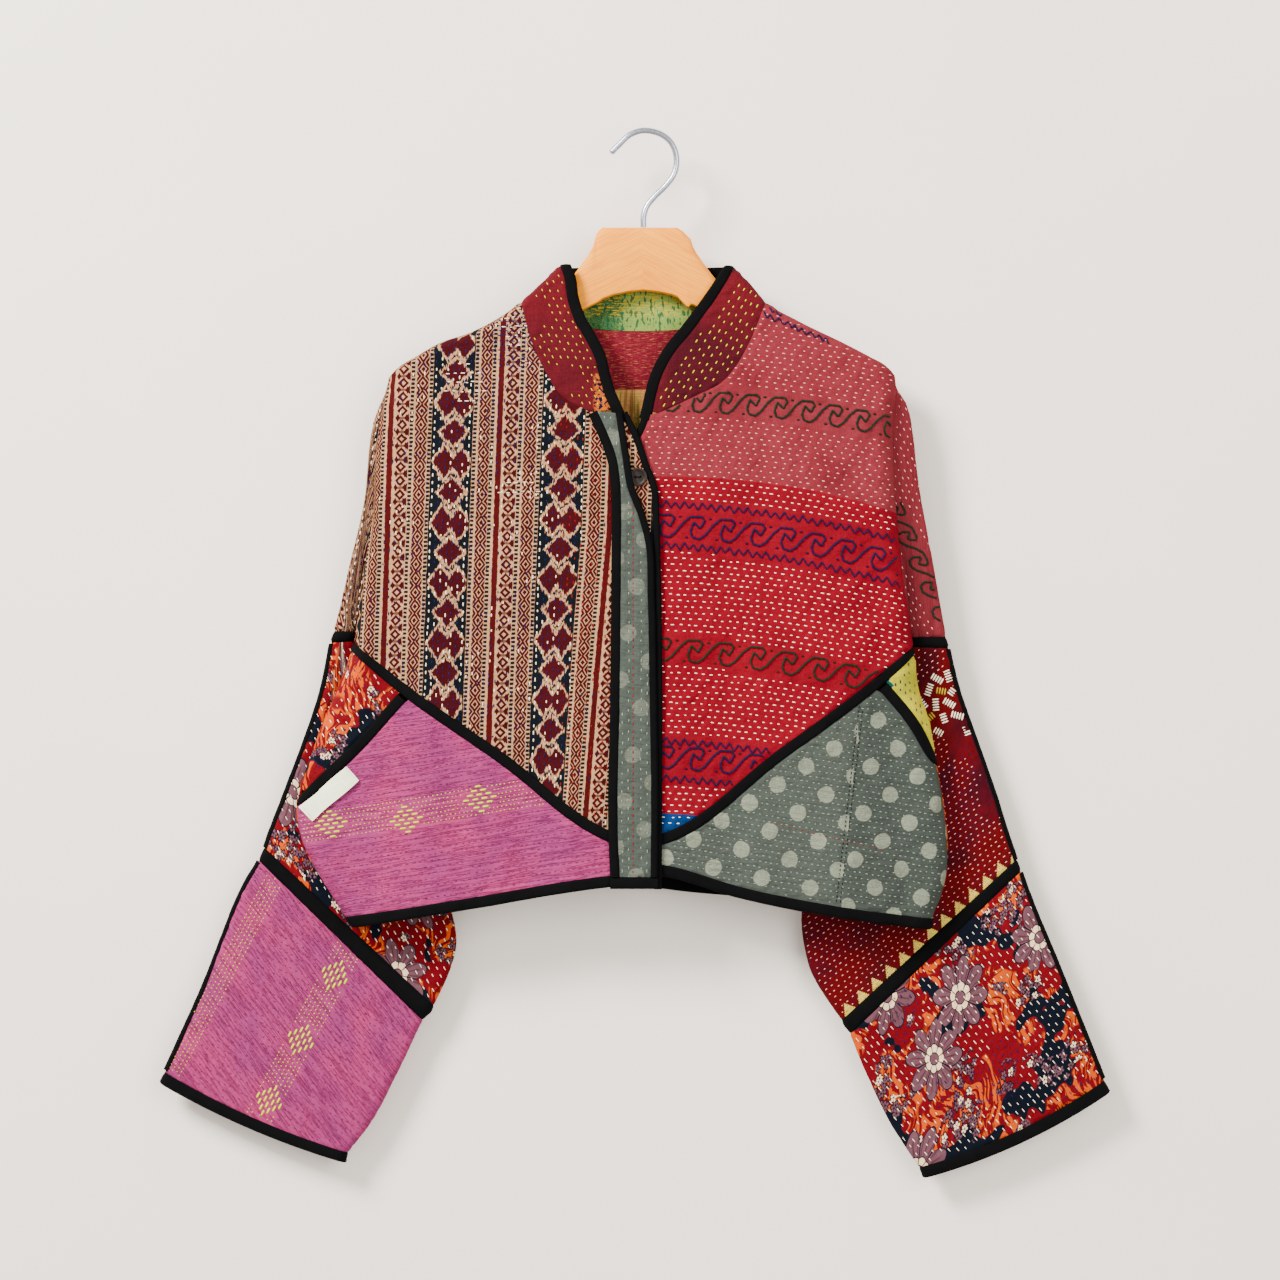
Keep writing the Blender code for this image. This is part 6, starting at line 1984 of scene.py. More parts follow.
def make_front_right():
    """Pink and red yoke, lime gusset, grey lower front and their bindings."""
    seam_top = on_folds(beside(seam_right, HALF), "right")
    seam_low = on_folds(beside(seam_right, -HALF), "right")
    edge = beside(right_edge, HALF_NARROW)
    edge_share = share_at(edge, seam_top(RIGHT_SEAM_START)[1])
    yoke_front = between(edge, 0, edge_share)
    inner = 0.03
    top = chain(
        [straight(yoke_front(0.0), NECK_RIGHT[-1]), between(neck_right, 1, 0), shoulder_right],
        [inner, NECK_SHARE_RIGHT],
    )
    low_end = YOKE_JUNCTION_RIGHT - 0.042
    across = merged(
        [0],
        NECK_SHARE_RIGHT - (NECK_SHARE_RIGHT - inner) * np.array(NECK_STEPS),
        1 - (1 - NECK_SHARE_RIGHT) * np.array(SHOULDER_STEPS),
        [low_end],
    )
    bottom = between(seam_top, RIGHT_SEAM_START, 1)
    side = fold_line(right_fold, top(1.0)[1], seam_top(1.0)[1])
    flat = patch(top, bottom, yoke_front, side, finer(across, 270, CELL), finer(DOWN_YOKE, 390, CELL))
    panel(
        "front_yoke_right", flat, [pink_and_scarlet(), back_lining()], sew_pink, sides="bl",
        seam=neck_right, creases=CREASES_YOKE_RIGHT, seed=130, fall=yoke_fall,
    )
    seam_shares = RIGHT_SEAM_START + (1 - RIGHT_SEAM_START) * across
    strip("yoke_seam_right", seam_right, seam_shares, BINDING_WIDTH, ends="right",
          rests_on=("front_yoke_right",), seed=240)

    side_seam = curve(SIDE_SEAM_RIGHT)
    strip("side_seam_right", side_seam, 1 - np.array(SIDE_STEPS[::-1]), BINDING_WIDTH, ends="right",
          rests_on=("side_gusset_right",), seed=250)
    side_high = on_folds(beside(side_seam, HALF), "right")
    side_low = on_folds(beside(side_seam, -HALF), "right")
    gusset_shares = seam_shares[across > YOKE_JUNCTION_RIGHT - 0.02]
    gusset_top = between(seam_low, nearest_share(seam_low, side_high(0.0), 0.5, 1), 1)
    gusset_end = 1 - SIDE_STEPS[2]
    corner_z = side_high(gusset_end)[1] + 2
    corner = np.array([right_fold(corner_z), corner_z])
    flat = patch(
        gusset_top,
        straight(side_high(gusset_end), corner),
        pulled(between(side_high, 0, gusset_end), gusset_top(0.0), 0, 3),
        fold_line(right_fold, gusset_top(1.0)[1], corner_z),
        finer((gusset_shares - gusset_shares[0]) / (1 - gusset_shares[0]), 45, CELL),
        finer((1 - np.array(SIDE_STEPS[:1:-1])) / gusset_end, 66, CELL),
    )
    panel("side_gusset_right", flat, [lime()], sew_lime, sides="tl",
          seed=140)

    hem = on_folds(curve(HEM_TOP_RIGHT), "right")
    low_top = between(seam_low, RIGHT_SEAM_START, RIGHT_SEAM_START + (1 - RIGHT_SEAM_START) * low_end)
    hem_edge = between(lifted(hem, -RUN_UNDER), RIGHT_SEAM_START, 1)
    side_length = 0.45
    low_side = chain(
        [side_low, fold_line(right_fold, side_low(1.0)[1], hem_edge(1.0)[1])], [side_length]
    )
    low_across = merged(across[across < low_end + 1e-6] / low_end, [0.94, 0.97, 0.99])
    flat = patch(
        low_top,
        hem_edge,
        straight(low_top(0.0), hem_edge(0.0)),
        pulled(low_side, low_top(1.0), 0, 60),
        finer(low_across, 250, CELL),
        finer(merged(side_length * (1 - np.array(SIDE_STEPS)), evenly(side_length, 1, 5)), 190, CELL),
    )
    panel("lower_front_right", flat, [sage(), floral()], sew_sage, sides="tbr",
          creases=CREASES_LOW_RIGHT, seed=150)
    hem_shares = RIGHT_SEAM_START + (1 - RIGHT_SEAM_START) * low_across
    strip("hem_front_right", lifted(hem, -BINDING_WIDTH / 2), hem_shares, BINDING_WIDTH,
          ends="right", rests_on=("lower_front_right",), seed=260)
    edge_shares = merged(edge_share * np.array([0] + DOWN_YOKE[5:]), evenly(edge_share, 1, 3))
    strip("right_edge_tape", right_edge, edge_shares, NARROW_BINDING, rests_on=("front_yoke_right",),
          seed=270, rows=7)


def make_back():
    """Back yoke and two lower pieces, bound like the front."""
    neck_start = 0.3
    top = chain([shoulder_left, neck_back, shoulder_right], [neck_start, 0.7])
    shoulder_steps, neck_steps = np.array(SHOULDER_STEPS), np.array(NECK_STEPS)
    left_half = np.concatenate([neck_start * shoulder_steps, neck_start + 0.2 * neck_steps[:-1], [0.5]])
    across = merged(left_half, 1 - left_half)
    seam_top = on_folds(beside(seam_back, HALF), "left right")
    seam_low = on_folds(beside(seam_back, -HALF), "left right")
    sides = (
        fold_line(left_fold, top(0.0)[1], seam_top(0.0)[1]),
        fold_line(right_fold, top(1.0)[1], seam_top(1.0)[1]),
    )
    flat = patch(top, seam_top, *sides, finer(across, 500, BACK_CELL), finer(DOWN_YOKE, 400, BACK_CELL))
    panel("back_yoke", flat, [crimson_plain(), back_lining()], sew_back, facing=1,
          seam=neck_back, creases=CREASES_BACK, seed=160)
    hem = on_folds(curve(HEM_TOP_BACK), "left right")
    for side, low, high in (("left", 0, 0.5), ("right", 0.5, 1)):
        fold = left_fold if side == "left" else right_fold
        shares = finer(across[(across >= low - 1e-6) & (across <= high + 1e-6)], 560, BACK_CELL)
        strip("back_seam_" + side, seam_back, shares, BINDING_WIDTH, facing=1, ends="left right",
              rests_on=("back_yoke",), seed=280)
        piece_top, piece_hem = between(seam_low, low, high), between(lifted(hem, -RUN_UNDER), low, high)
        outer, inner = (0.0, 1.0) if side == "left" else (1.0, 0.0)
        at_fold = fold_line(fold, piece_top(outer)[1], piece_hem(outer)[1])
        inside = straight(piece_top(inner), piece_hem(inner))
        edges = (at_fold, inside) if side == "left" else (inside, at_fold)
        rows = finer([0, 1], 150, BACK_CELL)
        flat = patch(piece_top, piece_hem, *edges, (shares - low) / (high - low), rows)
        panel("lower_back_" + side, flat, [floral()], sew_flowers(-20, 305), facing=1,
              sides="tb", seed=170)
    strip("hem_back", lifted(hem, -BINDING_WIDTH / 2), finer(across, 500, BACK_CELL), BINDING_WIDTH, facing=1,
          ends="left right", rests_on=("lower_back_left", "lower_back_right"), seed=290)


def sew_back(plan):
    return [running("white thread", plan, 2, 8.0, 8.6, 3.2, 91, 1.3, wander=0.2)], []


def make_collar():
    """Stand collar: two front pieces and the back one, inside the neck seam, with a bound edge."""
    neck_steps = np.array(NECK_STEPS)
    tape_left, tape_right = curve(COLLAR_TAPE_LEFT), curve(COLLAR_TAPE_RIGHT)
    half = BINDING_WIDTH / 2
    left_neck, left_inner = beside(neck_left, -COLLAR_OVERLAP), on_ridge(beside(tape_left, -HALF))
    turn, down = finer([0, 1], 48, 1.8), finer(neck_steps, 130, 1.8)
    flat = patch(
        ridge(left_neck(0.0)[0], left_inner(0.0)[0]),
        straight(left_neck(1.0), left_inner(1.0)),
        left_neck,
        left_inner,
        turn,
        down,
    )
    panel("collar_front_left", flat, [bordeaux_left(), green_lining()], sew_bordeaux,
          lift=lap_lift, sides="lr", seed=180, ripple=0.5)
    long_left = curve(COLLAR_TAPE_LEFT + [(-16.8, -234)])
    long_right = curve(COLLAR_TAPE_RIGHT + [(3.0, -235)])
    edges = (beside(long_left, half), on_ridge(beside(long_left, -half)))
    shares = finer(neck_steps, 135, 2.4)
    tape("collar_tape_left", *edges, shares, lift=lap_lift, rests_on=("collar_front_left",), seed=300)
    right_neck, right_inner = beside(neck_right, COLLAR_OVERLAP), on_ridge(beside(tape_right, HALF))
    flat = patch(
        ridge(right_inner(0.0)[0], right_neck(0.0)[0]),
        straight(right_inner(1.0), right_neck(1.0)),
        right_inner,
        right_neck,
        turn,
        down,
    )
    panel("collar_front_right", flat, [bordeaux(), green_lining()], sew_bordeaux_right,
          sides="lr", seed=190, ripple=0.5)
    edges = (on_ridge(beside(long_right, half)), beside(long_right, -half))
    tape("collar_tape_right", *edges, shares, rests_on=("collar_front_right",), seed=310)
    across = merged(0.5 * neck_steps, 1 - 0.5 * neck_steps)
    back_neck, back_line = on_ridge(beside(neck_back, -COLLAR_OVERLAP), (0, 1)), curve(COLLAR_BACK_LINE)
    back_inner = on_ridge(pulled(beside(back_line, 0.8), (83.8, shoulder_height(83.8)), 1, 12))
    flat = patch(
        back_inner,
        back_neck,
        ridge(back_inner(0.0)[0], back_neck(0.0)[0]),
        ridge(back_inner(1.0)[0], back_neck(1.0)[0]),
        finer(across, 200, 2.4),
        finer([0, 1], 40, 2.4),
    )
    panel("collar_back", flat, [bordeaux(), green_lining()], None, facing=1, sides="tb",
          seed=195)
    tape("collar_tape_back", curve(COLLAR_BACK_TOP), back_line, finer(across, 150, 2.4), facing=1,
         rests_on=("collar_back",), seed=320)


def make_fly():
    """Grey strip bound all round, over the left front."""
    left_tape, right_tape = curve(FLY_TAPE_LEFT), curve(FLY_TAPE_RIGHT)
    shares = merged(evenly(0, 0.3, 10), evenly(0.3, 1, 11))
    on = ("front_yoke_left",)
    strip("fly_tape_left", left_tape, shares, 8.0, lift=fly_lift, rests_on=on, seed=330, rows=7)
    strip("fly_tape_right", right_tape, shares, NARROW_BINDING, lift=fly_lift, rests_on=on, seed=340, rows=7)
    left_inner, right_inner = beside(left_tape, 3.2), beside(right_tape, -HALF_NARROW)
    flat = patch(
        straight(left_inner(0.0), right_inner(0.0)),
        straight(left_inner(1.0), right_inner(1.0)),
        left_inner,
        right_inner,
        finer([0, 1], 26, 1.8),
        finer(shares, 385, 1.8),
    )
    panel("fly_strip", flat, [sage()], sew_fly, lift=fly_lift, sides="tblr",
          seed=198, ripple=0.5)
    bottom = straight((-25, -612), (13.5, -612))
    strip("fly_tape_bottom", bottom, evenly(0, 1, 5), 9.0, lift=fly_lift, rests_on=on, seed=350)


def make_button():
    """Horn button: a dish with a raised rim, sunk by a smooth bell at its two holes, sewn on with thread.

    Its front is a polar grid. Depth is a curve of the radius, less the bells about the holes.
    """
    x, z = BUTTON_CENTRE
    base = float(face_depth(np.array(x), np.array(z), -1)) - left_lap(np.array(x)) - CLOTH / 2 - 0.4
    profile = curve([  # radius as a share of the button's, depth as a share of its thickness
        (0.02, 0.74), (0.4, 0.74), (0.64, 0.77), (0.76, 0.92), (0.86, 1.0), (0.95, 0.96), (1.0, 0.72),
        (0.995, 0.4), (0.95, 0.12), (0.85, 0.0), (0.5, 0.0), (0.02, 0.0),
    ])(np.linspace(0, 1, 90))
    turns = np.linspace(0, 2 * math.pi, 80, endpoint=False)
    across = BUTTON_RADIUS * profile[:, :1] * np.cos(turns)
    up = BUTTON_RADIUS * profile[:, :1] * np.sin(turns)
    depth = np.repeat(profile[:, 1:], len(turns), axis=1) * BUTTON_THICKNESS
    front = np.arange(len(profile)) < 40
    for side in (-1, 1):
        away = np.hypot(across - side * BUTTON_HOLE_OFFSET, up)
        hole = 1 - smooth_step(away, BUTTON_HOLE_RADIUS * 0.75, BUTTON_HOLE_RADIUS * 1.15)
        depth = np.where(front[:, None], depth - hole * (depth - 0.25), depth)
    points = np.stack([x + across, base - depth, z + up], axis=-1).reshape(-1, 3)
    rows, columns = across.shape
    quads = grid_quads(rows, columns, wrap=True)
    here = np.arange(columns)
    after = np.roll(here, -1)
    centre, back = len(points), len(points) + 1
    points = np.concatenate([points, [[x, base - 0.74 * BUTTON_THICKNESS, z], [x, base, z]]])
    caps = np.concatenate([
        np.stack([after, here, np.full(columns, centre)], axis=-1),
        np.stack([here, after, np.full(columns, back)], axis=-1) + np.array([1, 1, 0]) * (rows - 1) * columns,
    ])
    faces = quads.tolist() + caps.tolist()
    button = new_object("button_visual", points, faces, [horn()], sharp=50)
    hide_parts("button")
    share = np.linspace(-1, 1, 15)
    arch = base - 0.74 * BUTTON_THICKNESS - 0.35 + 1.4 * share**4
    threads, faces, count = [], [], 0
    for offset in (-0.35, 0.35):
        line = np.stack([x + share * 2.2, arch, z + offset + 0 * share], axis=-1)
        found, quads, triangles = pipe(line, 0.6, 6)
        faces += (quads + count).tolist() + (triangles + count).tolist()
        threads.append(found)
        count += len(found)
    finish = thread_finish("dark thread")
    sewn = new_object("button_thread", np.concatenate(threads), faces, [finish], sharp=180)


def make_label():
    """Small plain woven label on the side seam's lower edge, softly curled and stitched down at its ends."""
    start, end = np.array(LABEL_START, float), np.array(LABEL_END, float)
    along = direction(start, end)
    down = np.array([along[1], -along[0]])
    shares = evenly(0, 1, LABEL_GRID[0])[None, :, None]
    drops = evenly(0, LABEL_HEIGHT, LABEL_GRID[1])[:, None, None]
    flat = start + (end - start) * shares + down * drops
    middle, normals = face_grid(flat, -1, lap_lift)
    low = BINDING / 2 + LABEL_OVER_BAND
    x, z = flat[..., 0], flat[..., 1]
    uneven = 0.35 * waviness(x, z, 9, 401) * smooth_step(edge_distance(flat), 0, 4)
    outer = middle + normals * (low + LABEL + uneven[..., None])
    inner = middle + normals * (low + uneven[..., None])
    length = np.linalg.norm(end - start)
    place = np.stack(np.broadcast_arrays(shares[..., 0] * LABEL_LENGTH, drops[..., 0]), axis=-1)
    piece = shell("label_visual", outer, inner, [label_cloth()], place)
    plan = Plan(x, z, edge_distance(flat))
    stitches = []
    for inset in LABEL_SEAMS:
        steps = np.arange(1.0, 14.4, 1.9)
        stitches.append(stitch_line("straw thread", start + along * inset, down, steps, 1.2, 0.5))
    threads = sewing("label_stitching", stitches, [], plan, outer, normals)
    size = (length * MM, LABEL_HEIGHT * MM)
    settle(["label"], size, None)


CREASES_YOKE_LEFT = [  # start x, start z, end x, end z, half width, height
    (-168, -215, -172, -330, 4, -1.0), (-92, -200, -84, -300, 4, -0.9), (-140, -440, -120, -520, 5, -0.8),
    (-196, -206, -150, -300, 7, 1.2), (-205, -330, -150, -392, 6, 1.0), (-212, -376, -160, -420, 5, 0.9),
    (-120, -180, -112, -330, 9, 0.9), (-60, -260, -70, -480, 8, 0.9),
]
CREASES_YOKE_RIGHT = [
    (70, -212, 52, -290, 3, -1.0), (24, -232, 12, -285, 3, -0.9), (40, -225, 30, -300, 4, -0.7),
    (198, -210, 150, -300, 7, 1.2), (206, -330, 150, -395, 6, 1.1), (212, -385, 165, -425, 5, 0.9),
    (120, -190, 112, -330, 9, 0.9), (52, -260, 66, -480, 8, 0.8),
]
CREASES_LOW_LEFT = [(-250, -590, -150, -560, 8, 0.9), (-120, -620, -70, -560, 8, 0.8)]
CREASES_LOW_RIGHT = [(60, -600, 120, -560, 8, 0.8), (236, -560, 190, -600, 7, 0.9)]
CREASES_BACK = [
    (-150, -200, -120, -420, 12, 1.4), (150, -200, 120, -420, 12, 1.4), (0, -220, 10, -500, 14, 1.2),
    (-205, -330, -140, -400, 8, 1.2), (205, -330, 140, -400, 8, 1.2),
]


# Sleeves

EDGE_STEPS = [0, 0.25, 0.7, 1.4, 2.4, 3.6, 5.0, 6.5]
FACE_STEPS = 48
SLEEVE_CELL = 2.6


def sleeve_rings(table, stations):
    """Rings of points along a sleeve: over the front from the outer edge to the inner one, and back behind.

    Each ring's line runs between the table's two edge points, bowed to the side. Its half depth rises from
    nothing at both edges along a quarter circle. Beside each point it gives how much its normal leans past
    the outer edge, past the inner edge and along y.
    """
    values = through(np.array(table, float), np.arange(len(table), dtype=float))(stations)
    outer, inner = values[:, None, 0:2], values[:, None, 2:4]
    outer_y, inner_y, half_depth, bow = (values[:, column, None] for column in range(4, 8))
    side = 1 if table[0][0] > 0 else -1
    width = np.linalg.norm(inner - outer, axis=-1)
    reach = np.minimum(SLEEVE_EDGE_ROUND, width / 3)
    edge = np.array(EDGE_STEPS)[None] * reach / EDGE_STEPS[-1]
    face = edge[:, -1:] + (width - 2 * edge[:, -1:]) * np.linspace(0, 1, FACE_STEPS + 2)[None, 1:-1]
    places = np.concatenate([edge, face, width - edge[:, ::-1]], axis=1)
    share = places / width
    ahead = (inner - outer) / width[..., None]
    aside = side * np.stack([-ahead[..., 1], ahead[..., 0]], axis=-1)
    flat = outer + (inner - outer) * share[..., None] + aside * (bow * 4 * share * (1 - share))[..., None]
    fold = right_fold(flat[..., 1]) if side > 0 else left_fold(flat[..., 1])
    clear = side * (side * fold + ARMHOLE_GAP + ARMHOLE_GROWTH * stations[:, None])
    inside = np.clip(side * (clear - flat[..., 0]), 0, None)
    flat[..., 0] += side * inside * smooth_step(flat[..., 1], -412, -396)
    flat[..., 0] += (clear - flat[..., 0]) * np.clip(1 - stations[:, None] / 0.7, 0, 1) ** 2
    centre = outer_y + (inner_y - outer_y) * share**3
    nearest = np.minimum(places, width - places)
    depth = half_depth * round_share(nearest, reach)
    rest = 1 - np.clip(nearest / reach, 0, 1)
    past_outer, past_inner = rest * (places < width / 2), rest * (places > width / 2)
    lean = np.stack([past_outer, past_inner, np.sqrt(1 - rest**2)], axis=-1)
    front = np.stack([flat[..., 0], centre - depth, flat[..., 1]], axis=-1)
    back = np.stack([flat[..., 0], centre + depth, flat[..., 1]], axis=-1)
    rings = np.concatenate([front, back[:, -2:0:-1]], axis=1)
    leans = np.concatenate([lean * np.array([1, 1, -1]), lean[:, -2:0:-1]], axis=1)
    across = np.concatenate([places, -places[:, -2:0:-1]], axis=1)
    return rings, leans, across


def sleeve_surface(table, stations):
    """Middle points and normals round a stretch of a sleeve, and (u, v) in its cloth."""
    rings, leans, across = sleeve_rings(table, stations)
    columns = rings.shape[1]
    side = 1 if table[0][0] > 0 else -1
    past = []
    for column, turn in ((0, side), (columns // 2, -side)):
        run = np.gradient(rings[:, column], axis=0)
        out = turn * np.stack([-run[:, 2], 0 * run[:, 0], run[:, 0]], axis=-1)
        past.append((out / np.linalg.norm(out, axis=-1, keepdims=True))[:, None])
    normals = leans[..., 0:1] * past[0] + leans[..., 1:2] * past[1] + leans[..., 2:3] * np.array([0, 1, 0])
    normals /= np.linalg.norm(normals, axis=-1, keepdims=True)
    steps = np.linalg.norm(np.diff(rings, axis=0), axis=-1)
    along = np.pad(np.cumsum(steps, axis=0), ((1, 0), (0, 0)))
    return rings, normals, np.stack([across, along], axis=-1)


def stretch_stations(table, stretch, cell, over):
    """Stations along a stretch that runs `over` millimetres past both its ends, under the bands."""
    low, high = stretch
    length = math.dist(table[low][:2], table[high][:2]) + math.dist(table[low][2:4], table[high][2:4])
    extra = over / max(length / 2, 1) * (high - low)
    start, end = max(low - extra, 0), min(high + extra, len(table) - 1)
    return np.linspace(start, end, max(4, math.ceil(length / 2 / cell)))


def sleeve_cloth(
    name, table, stretch, finish, slot, sewn, creases=(), from_end=False, open_top=False, seed=0, rests_on=(),
    ripple=0.8,
):
    """A tube of cloth round a stretch of the sleeve, uneven like the body's, its ends under the bands."""
    stations = stretch_stations(table, stretch, SLEEVE_CELL, 0.9)
    middle, normals, place = sleeve_surface(table, stations)
    if from_end:
        place[..., 1] = place[-1:, :, 1] - place[..., 1]
    columns = middle.shape[1]
    front = slice(0, columns // 2 + 1)
    x, z = middle[..., 0], middle[..., 2]
    steps = np.linalg.norm(np.diff(middle, axis=0), axis=-1)
    from_top = np.pad(np.cumsum(steps, axis=0), ((1, 0), (0, 0)))
    from_low = from_top[-1:] - from_top
    bound = from_low if open_top else np.minimum(from_top, from_low)
    behind = np.arange(columns)[None] > columns // 2
    shift = np.where(behind, 40.0, 0.0)
    edge = edge_distance(middle[:, front])
    fold = np.concatenate([edge, edge[:, -2:0:-1]], axis=1)
    relief = cloth_relief(x + shift, z + shift, np.minimum(fold, bound), bound, ripple, 0.5, seed)
    folds = creases_at(x, z, creases) * smooth_step(bound, 0, 9) * smooth_step(fold, 0, 6)
    relief = relief + np.where(behind, 0.8, 1.0) * folds
    plan = Plan(x[:, front], z[:, front], edge)
    stitches, lines = sewn(plan) if sewn else ([], [])
    relief[:, front] -= dents(x[:, front], z[:, front], stitches)
    relief = np.maximum(relief, -0.9)
    outer = middle + normals * (CLOTH / 2 + relief[..., None])
    inner = middle - normals * CLOTH / 2
    piece = shell(name + "_visual", outer, inner, [finish], place, wrap=True, sharp=70)
    threads = sewing(name + "_stitching", stitches, lines, plan, outer[:, front], normals[:, front])
    area = surface_area(middle, wrap=True)
    settle([name], opened_box(middle), area)


def opened_box(middle):
    """Sides of the smallest rectangle, in metres, round a tube's cloth when it is opened and laid flat.

    It is cut open at its inner edge. The cloth is the front half and its mirror image about the outer fold,
    both widened away from that fold by what the rounded folds add to their area.
    """
    half = middle[:, :middle.shape[1] // 2 + 1] * np.array([1, 0, 1])
    wider = surface_area(middle, wrap=True) / (2 * surface_area(half))
    half = half[..., [0, 2]]
    start = half[0, 0]
    way = (half[-1, 0] - start) / np.linalg.norm(half[-1, 0] - start)
    aside = np.array([way[1], -way[0]])
    away = ((half - start) @ aside)[..., None] * aside
    on_fold = half - away
    return smallest_box(np.concatenate([(on_fold - wider * away)[:, ::-1], on_fold + wider * away], axis=1))


def sleeve_band(name, table, stretch, seed=0):
    """A black band round the sleeve, rounded from edge to edge."""
    stations = stretch_stations(table, stretch, 1.3, 0.0)
    middle, normals, _ = sleeve_surface(table, stations)
    q = np.linspace(0, 1, len(stations))[:, None]
    shape = rounded(q)
    x, z = middle[..., 0], middle[..., 2]
    uneven = 0.2 * waviness(x, z, 5, seed + 5) + 0.25 * waviness(x, z, 14, seed + 6)
    outer = middle + normals * (0.1 + (BINDING / 2 - 0.1 + uneven) * shape)[..., None]
    inner = middle - normals * BINDING / 2
    piece = shell(name + "_visual", outer, inner, [black_tape()], wrap=True, sharp=70)
    closed = np.concatenate([middle, middle[:, :1]], axis=1)
    around = np.linalg.norm(np.diff(closed, axis=1), axis=-1).sum(axis=1).max()
    length = np.linalg.norm(np.diff(middle, axis=0), axis=-1).sum(axis=0).max()
    box = (around * MM, (length + BINDING) * MM)
    settle([name], box, None)


def overarm_tape(name, table, stretch, seed=0):
    """A tape over the sleeve's outer fold, on the columns of the sleeve that lie within 3 mm of it."""
    stations = stretch_stations(table, stretch, 2.6, -1.2)
    middle, normals, _ = sleeve_surface(table, stations)
    columns = middle.shape[1]
    near = [*range(columns - 4, columns), *range(0, 5)]
    middle, normals = middle[:, near], normals[:, near]
    q = np.linspace(0, 1, len(near))[None]
    shape = rounded(q, 4)
    x, z = middle[..., 0], middle[..., 2]
    uneven = 0.15 * waviness(x, z, 6, seed + 5)
    low = CLOTH / 2 - 0.2
    outer = middle + normals * (low + 0.2 + (OVERARM_LIFT + uneven) * shape)[..., None]
    inner = middle + normals * low
    piece = shell(name + "_visual", outer, inner, [black_tape()], sharp=70)
    length = np.linalg.norm(np.diff(middle[:, 4], axis=0), axis=-1).sum() * MM
    width = (surface_area(outer) + surface_area(inner)) / 2 / length
    settle([name], (width, length), None)


def make_sleeve(side, table, cloths):
    upper, lower, cuff = cloths
    up, down = "sleeve_upper_" + side, "sleeve_middle_" + side
    sleeve_cloth(up, table, UPPER, *upper, open_top=True, rests_on=("front_yoke_" + side,), seed=500)
    sleeve_band("sleeve_upper_band_" + side, table, UPPER_BAND, 510)
    sleeve_cloth(down, table, MIDDLE, *lower, from_end=True, rests_on=(up,), seed=520)
    overarm_tape("overarm_tape_middle_" + side, table, MIDDLE, 530)
    sleeve_band("sleeve_lower_band_" + side, table, LOWER_BAND, 540)
    sleeve_cloth("sleeve_cuff_panel_" + side, table, CUFF_PANEL, *cuff, rests_on=(down,), seed=550)
    overarm_tape("overarm_tape_cuff_" + side, table, CUFF_PANEL, 560)
    sleeve_band("cuff_tape_" + side, table, CUFF, 570)


def sew_upper_left(plan):
    rows = running("blue thread", plan, 80, 5.0, 6.4, 2.8, 601, 0.9, wander=0.15, margin=4.5)
    light = running("white thread", plan, 80, 9.0, 6.4, 2.8, 611, 0.9, wander=0.15, margin=4.5)
    return [rows, light], []


def sew_upper_right(plan):
    """White rows, and a scroll that falls beside the armhole to the lower band."""
    origin, angle = (208.5, -309.0), -65.5
    path = turned(scroll_line(0, 5, 22.5, lambda x: 0 * x, 0.78), origin, angle)
    rows = running("pink thread", plan, -64, 4.6, 7.0, 2.3, 602, 0.85, wander=0.1, margin=3.5)
    x, z = rows.middles().T
    away = np.abs((x - origin[0]) * 0.91 + (z - origin[1]) * 0.415)
    return [rows.kept((away > 9.5) | (z > -306))], [("green thread", 2.1, [path])]


FLOWER_MIDDLE = (247, -467)
FLOWER_RADIUS = 24
FLOWER_SCALE = 1.12  # the blocks are set this much further from the flower's middle than the table says
BLOCKS = [  # x, z, angle, stitches of a satin-stitch block
    (244, -449, 60, 4), (252, -447, 20, 4), (238, -457, -20, 4), (247, -458, 80, 3), (256, -457, -35, 4),
    (233, -467, 40, 4), (243, -468, 5, 4), (253, -467, 60, 4), (238, -478, -50, 4), (249, -478, 20, 3),
    (259, -476, 75, 4), (245, -488, 60, 3), (266, -487, 20, 3),
]


def sew_crimson(plan):
    """White rows that rise to the right, below a flower of satin-stitch blocks."""
    rows = running("pink thread", plan, 41, 4.6, 5.6, 2.0, 603, 0.75, wander=0.16)
    x, z = rows.middles().T
    past_flower = np.hypot(x - FLOWER_MIDDLE[0], z - FLOWER_MIDDLE[1]) > FLOWER_RADIUS
    rows = rows.kept(past_flower & ((waviness(x, z, 34, 605) > -0.25) | (z < -560)))
    found = {"white thread": ([], []), "straw thread": ([], [])}
    for number, (centre_x, centre_z, angle, count) in enumerate(BLOCKS):
        places = zip(FLOWER_MIDDLE, (centre_x, centre_z))
        centre = [middle + (place - middle) * FLOWER_SCALE for middle, place in places]
        aside = (np.arange(count + 1) - count / 2) * 2.2
        thread = "straw thread" if number % 5 == 3 else "white thread"
        for half, ends in zip((-3.4, 3.4), found[thread]):
            ends.append(turned(np.stack([aside * 0 + half, aside], axis=-1), centre, angle))
    blocks = [
        Stitches(thread, np.concatenate(starts), np.concatenate(ends), 1.35)
        for thread, (starts, ends) in found.items()
    ]
    return [rows, *(block.on(plan, 2.0) for block in blocks)], []


CUFF_LOZENGES = [(-252, -691), (-280, -744), (-306, -794)]
CUFF_ANGLE = 62.0


def cuff_band(x, z):
    """The band of yellow stitches down the left cuff, and a second one beside its outer fold."""
    start_x, start_z = CUFF_LOZENGES[0]
    turn = math.radians(CUFF_ANGLE)
    aside = (x - start_x) * math.sin(turn) - (z - start_z) * math.cos(turn)
    return (np.abs(aside) < 12) | (np.abs(aside + 82) < 9)


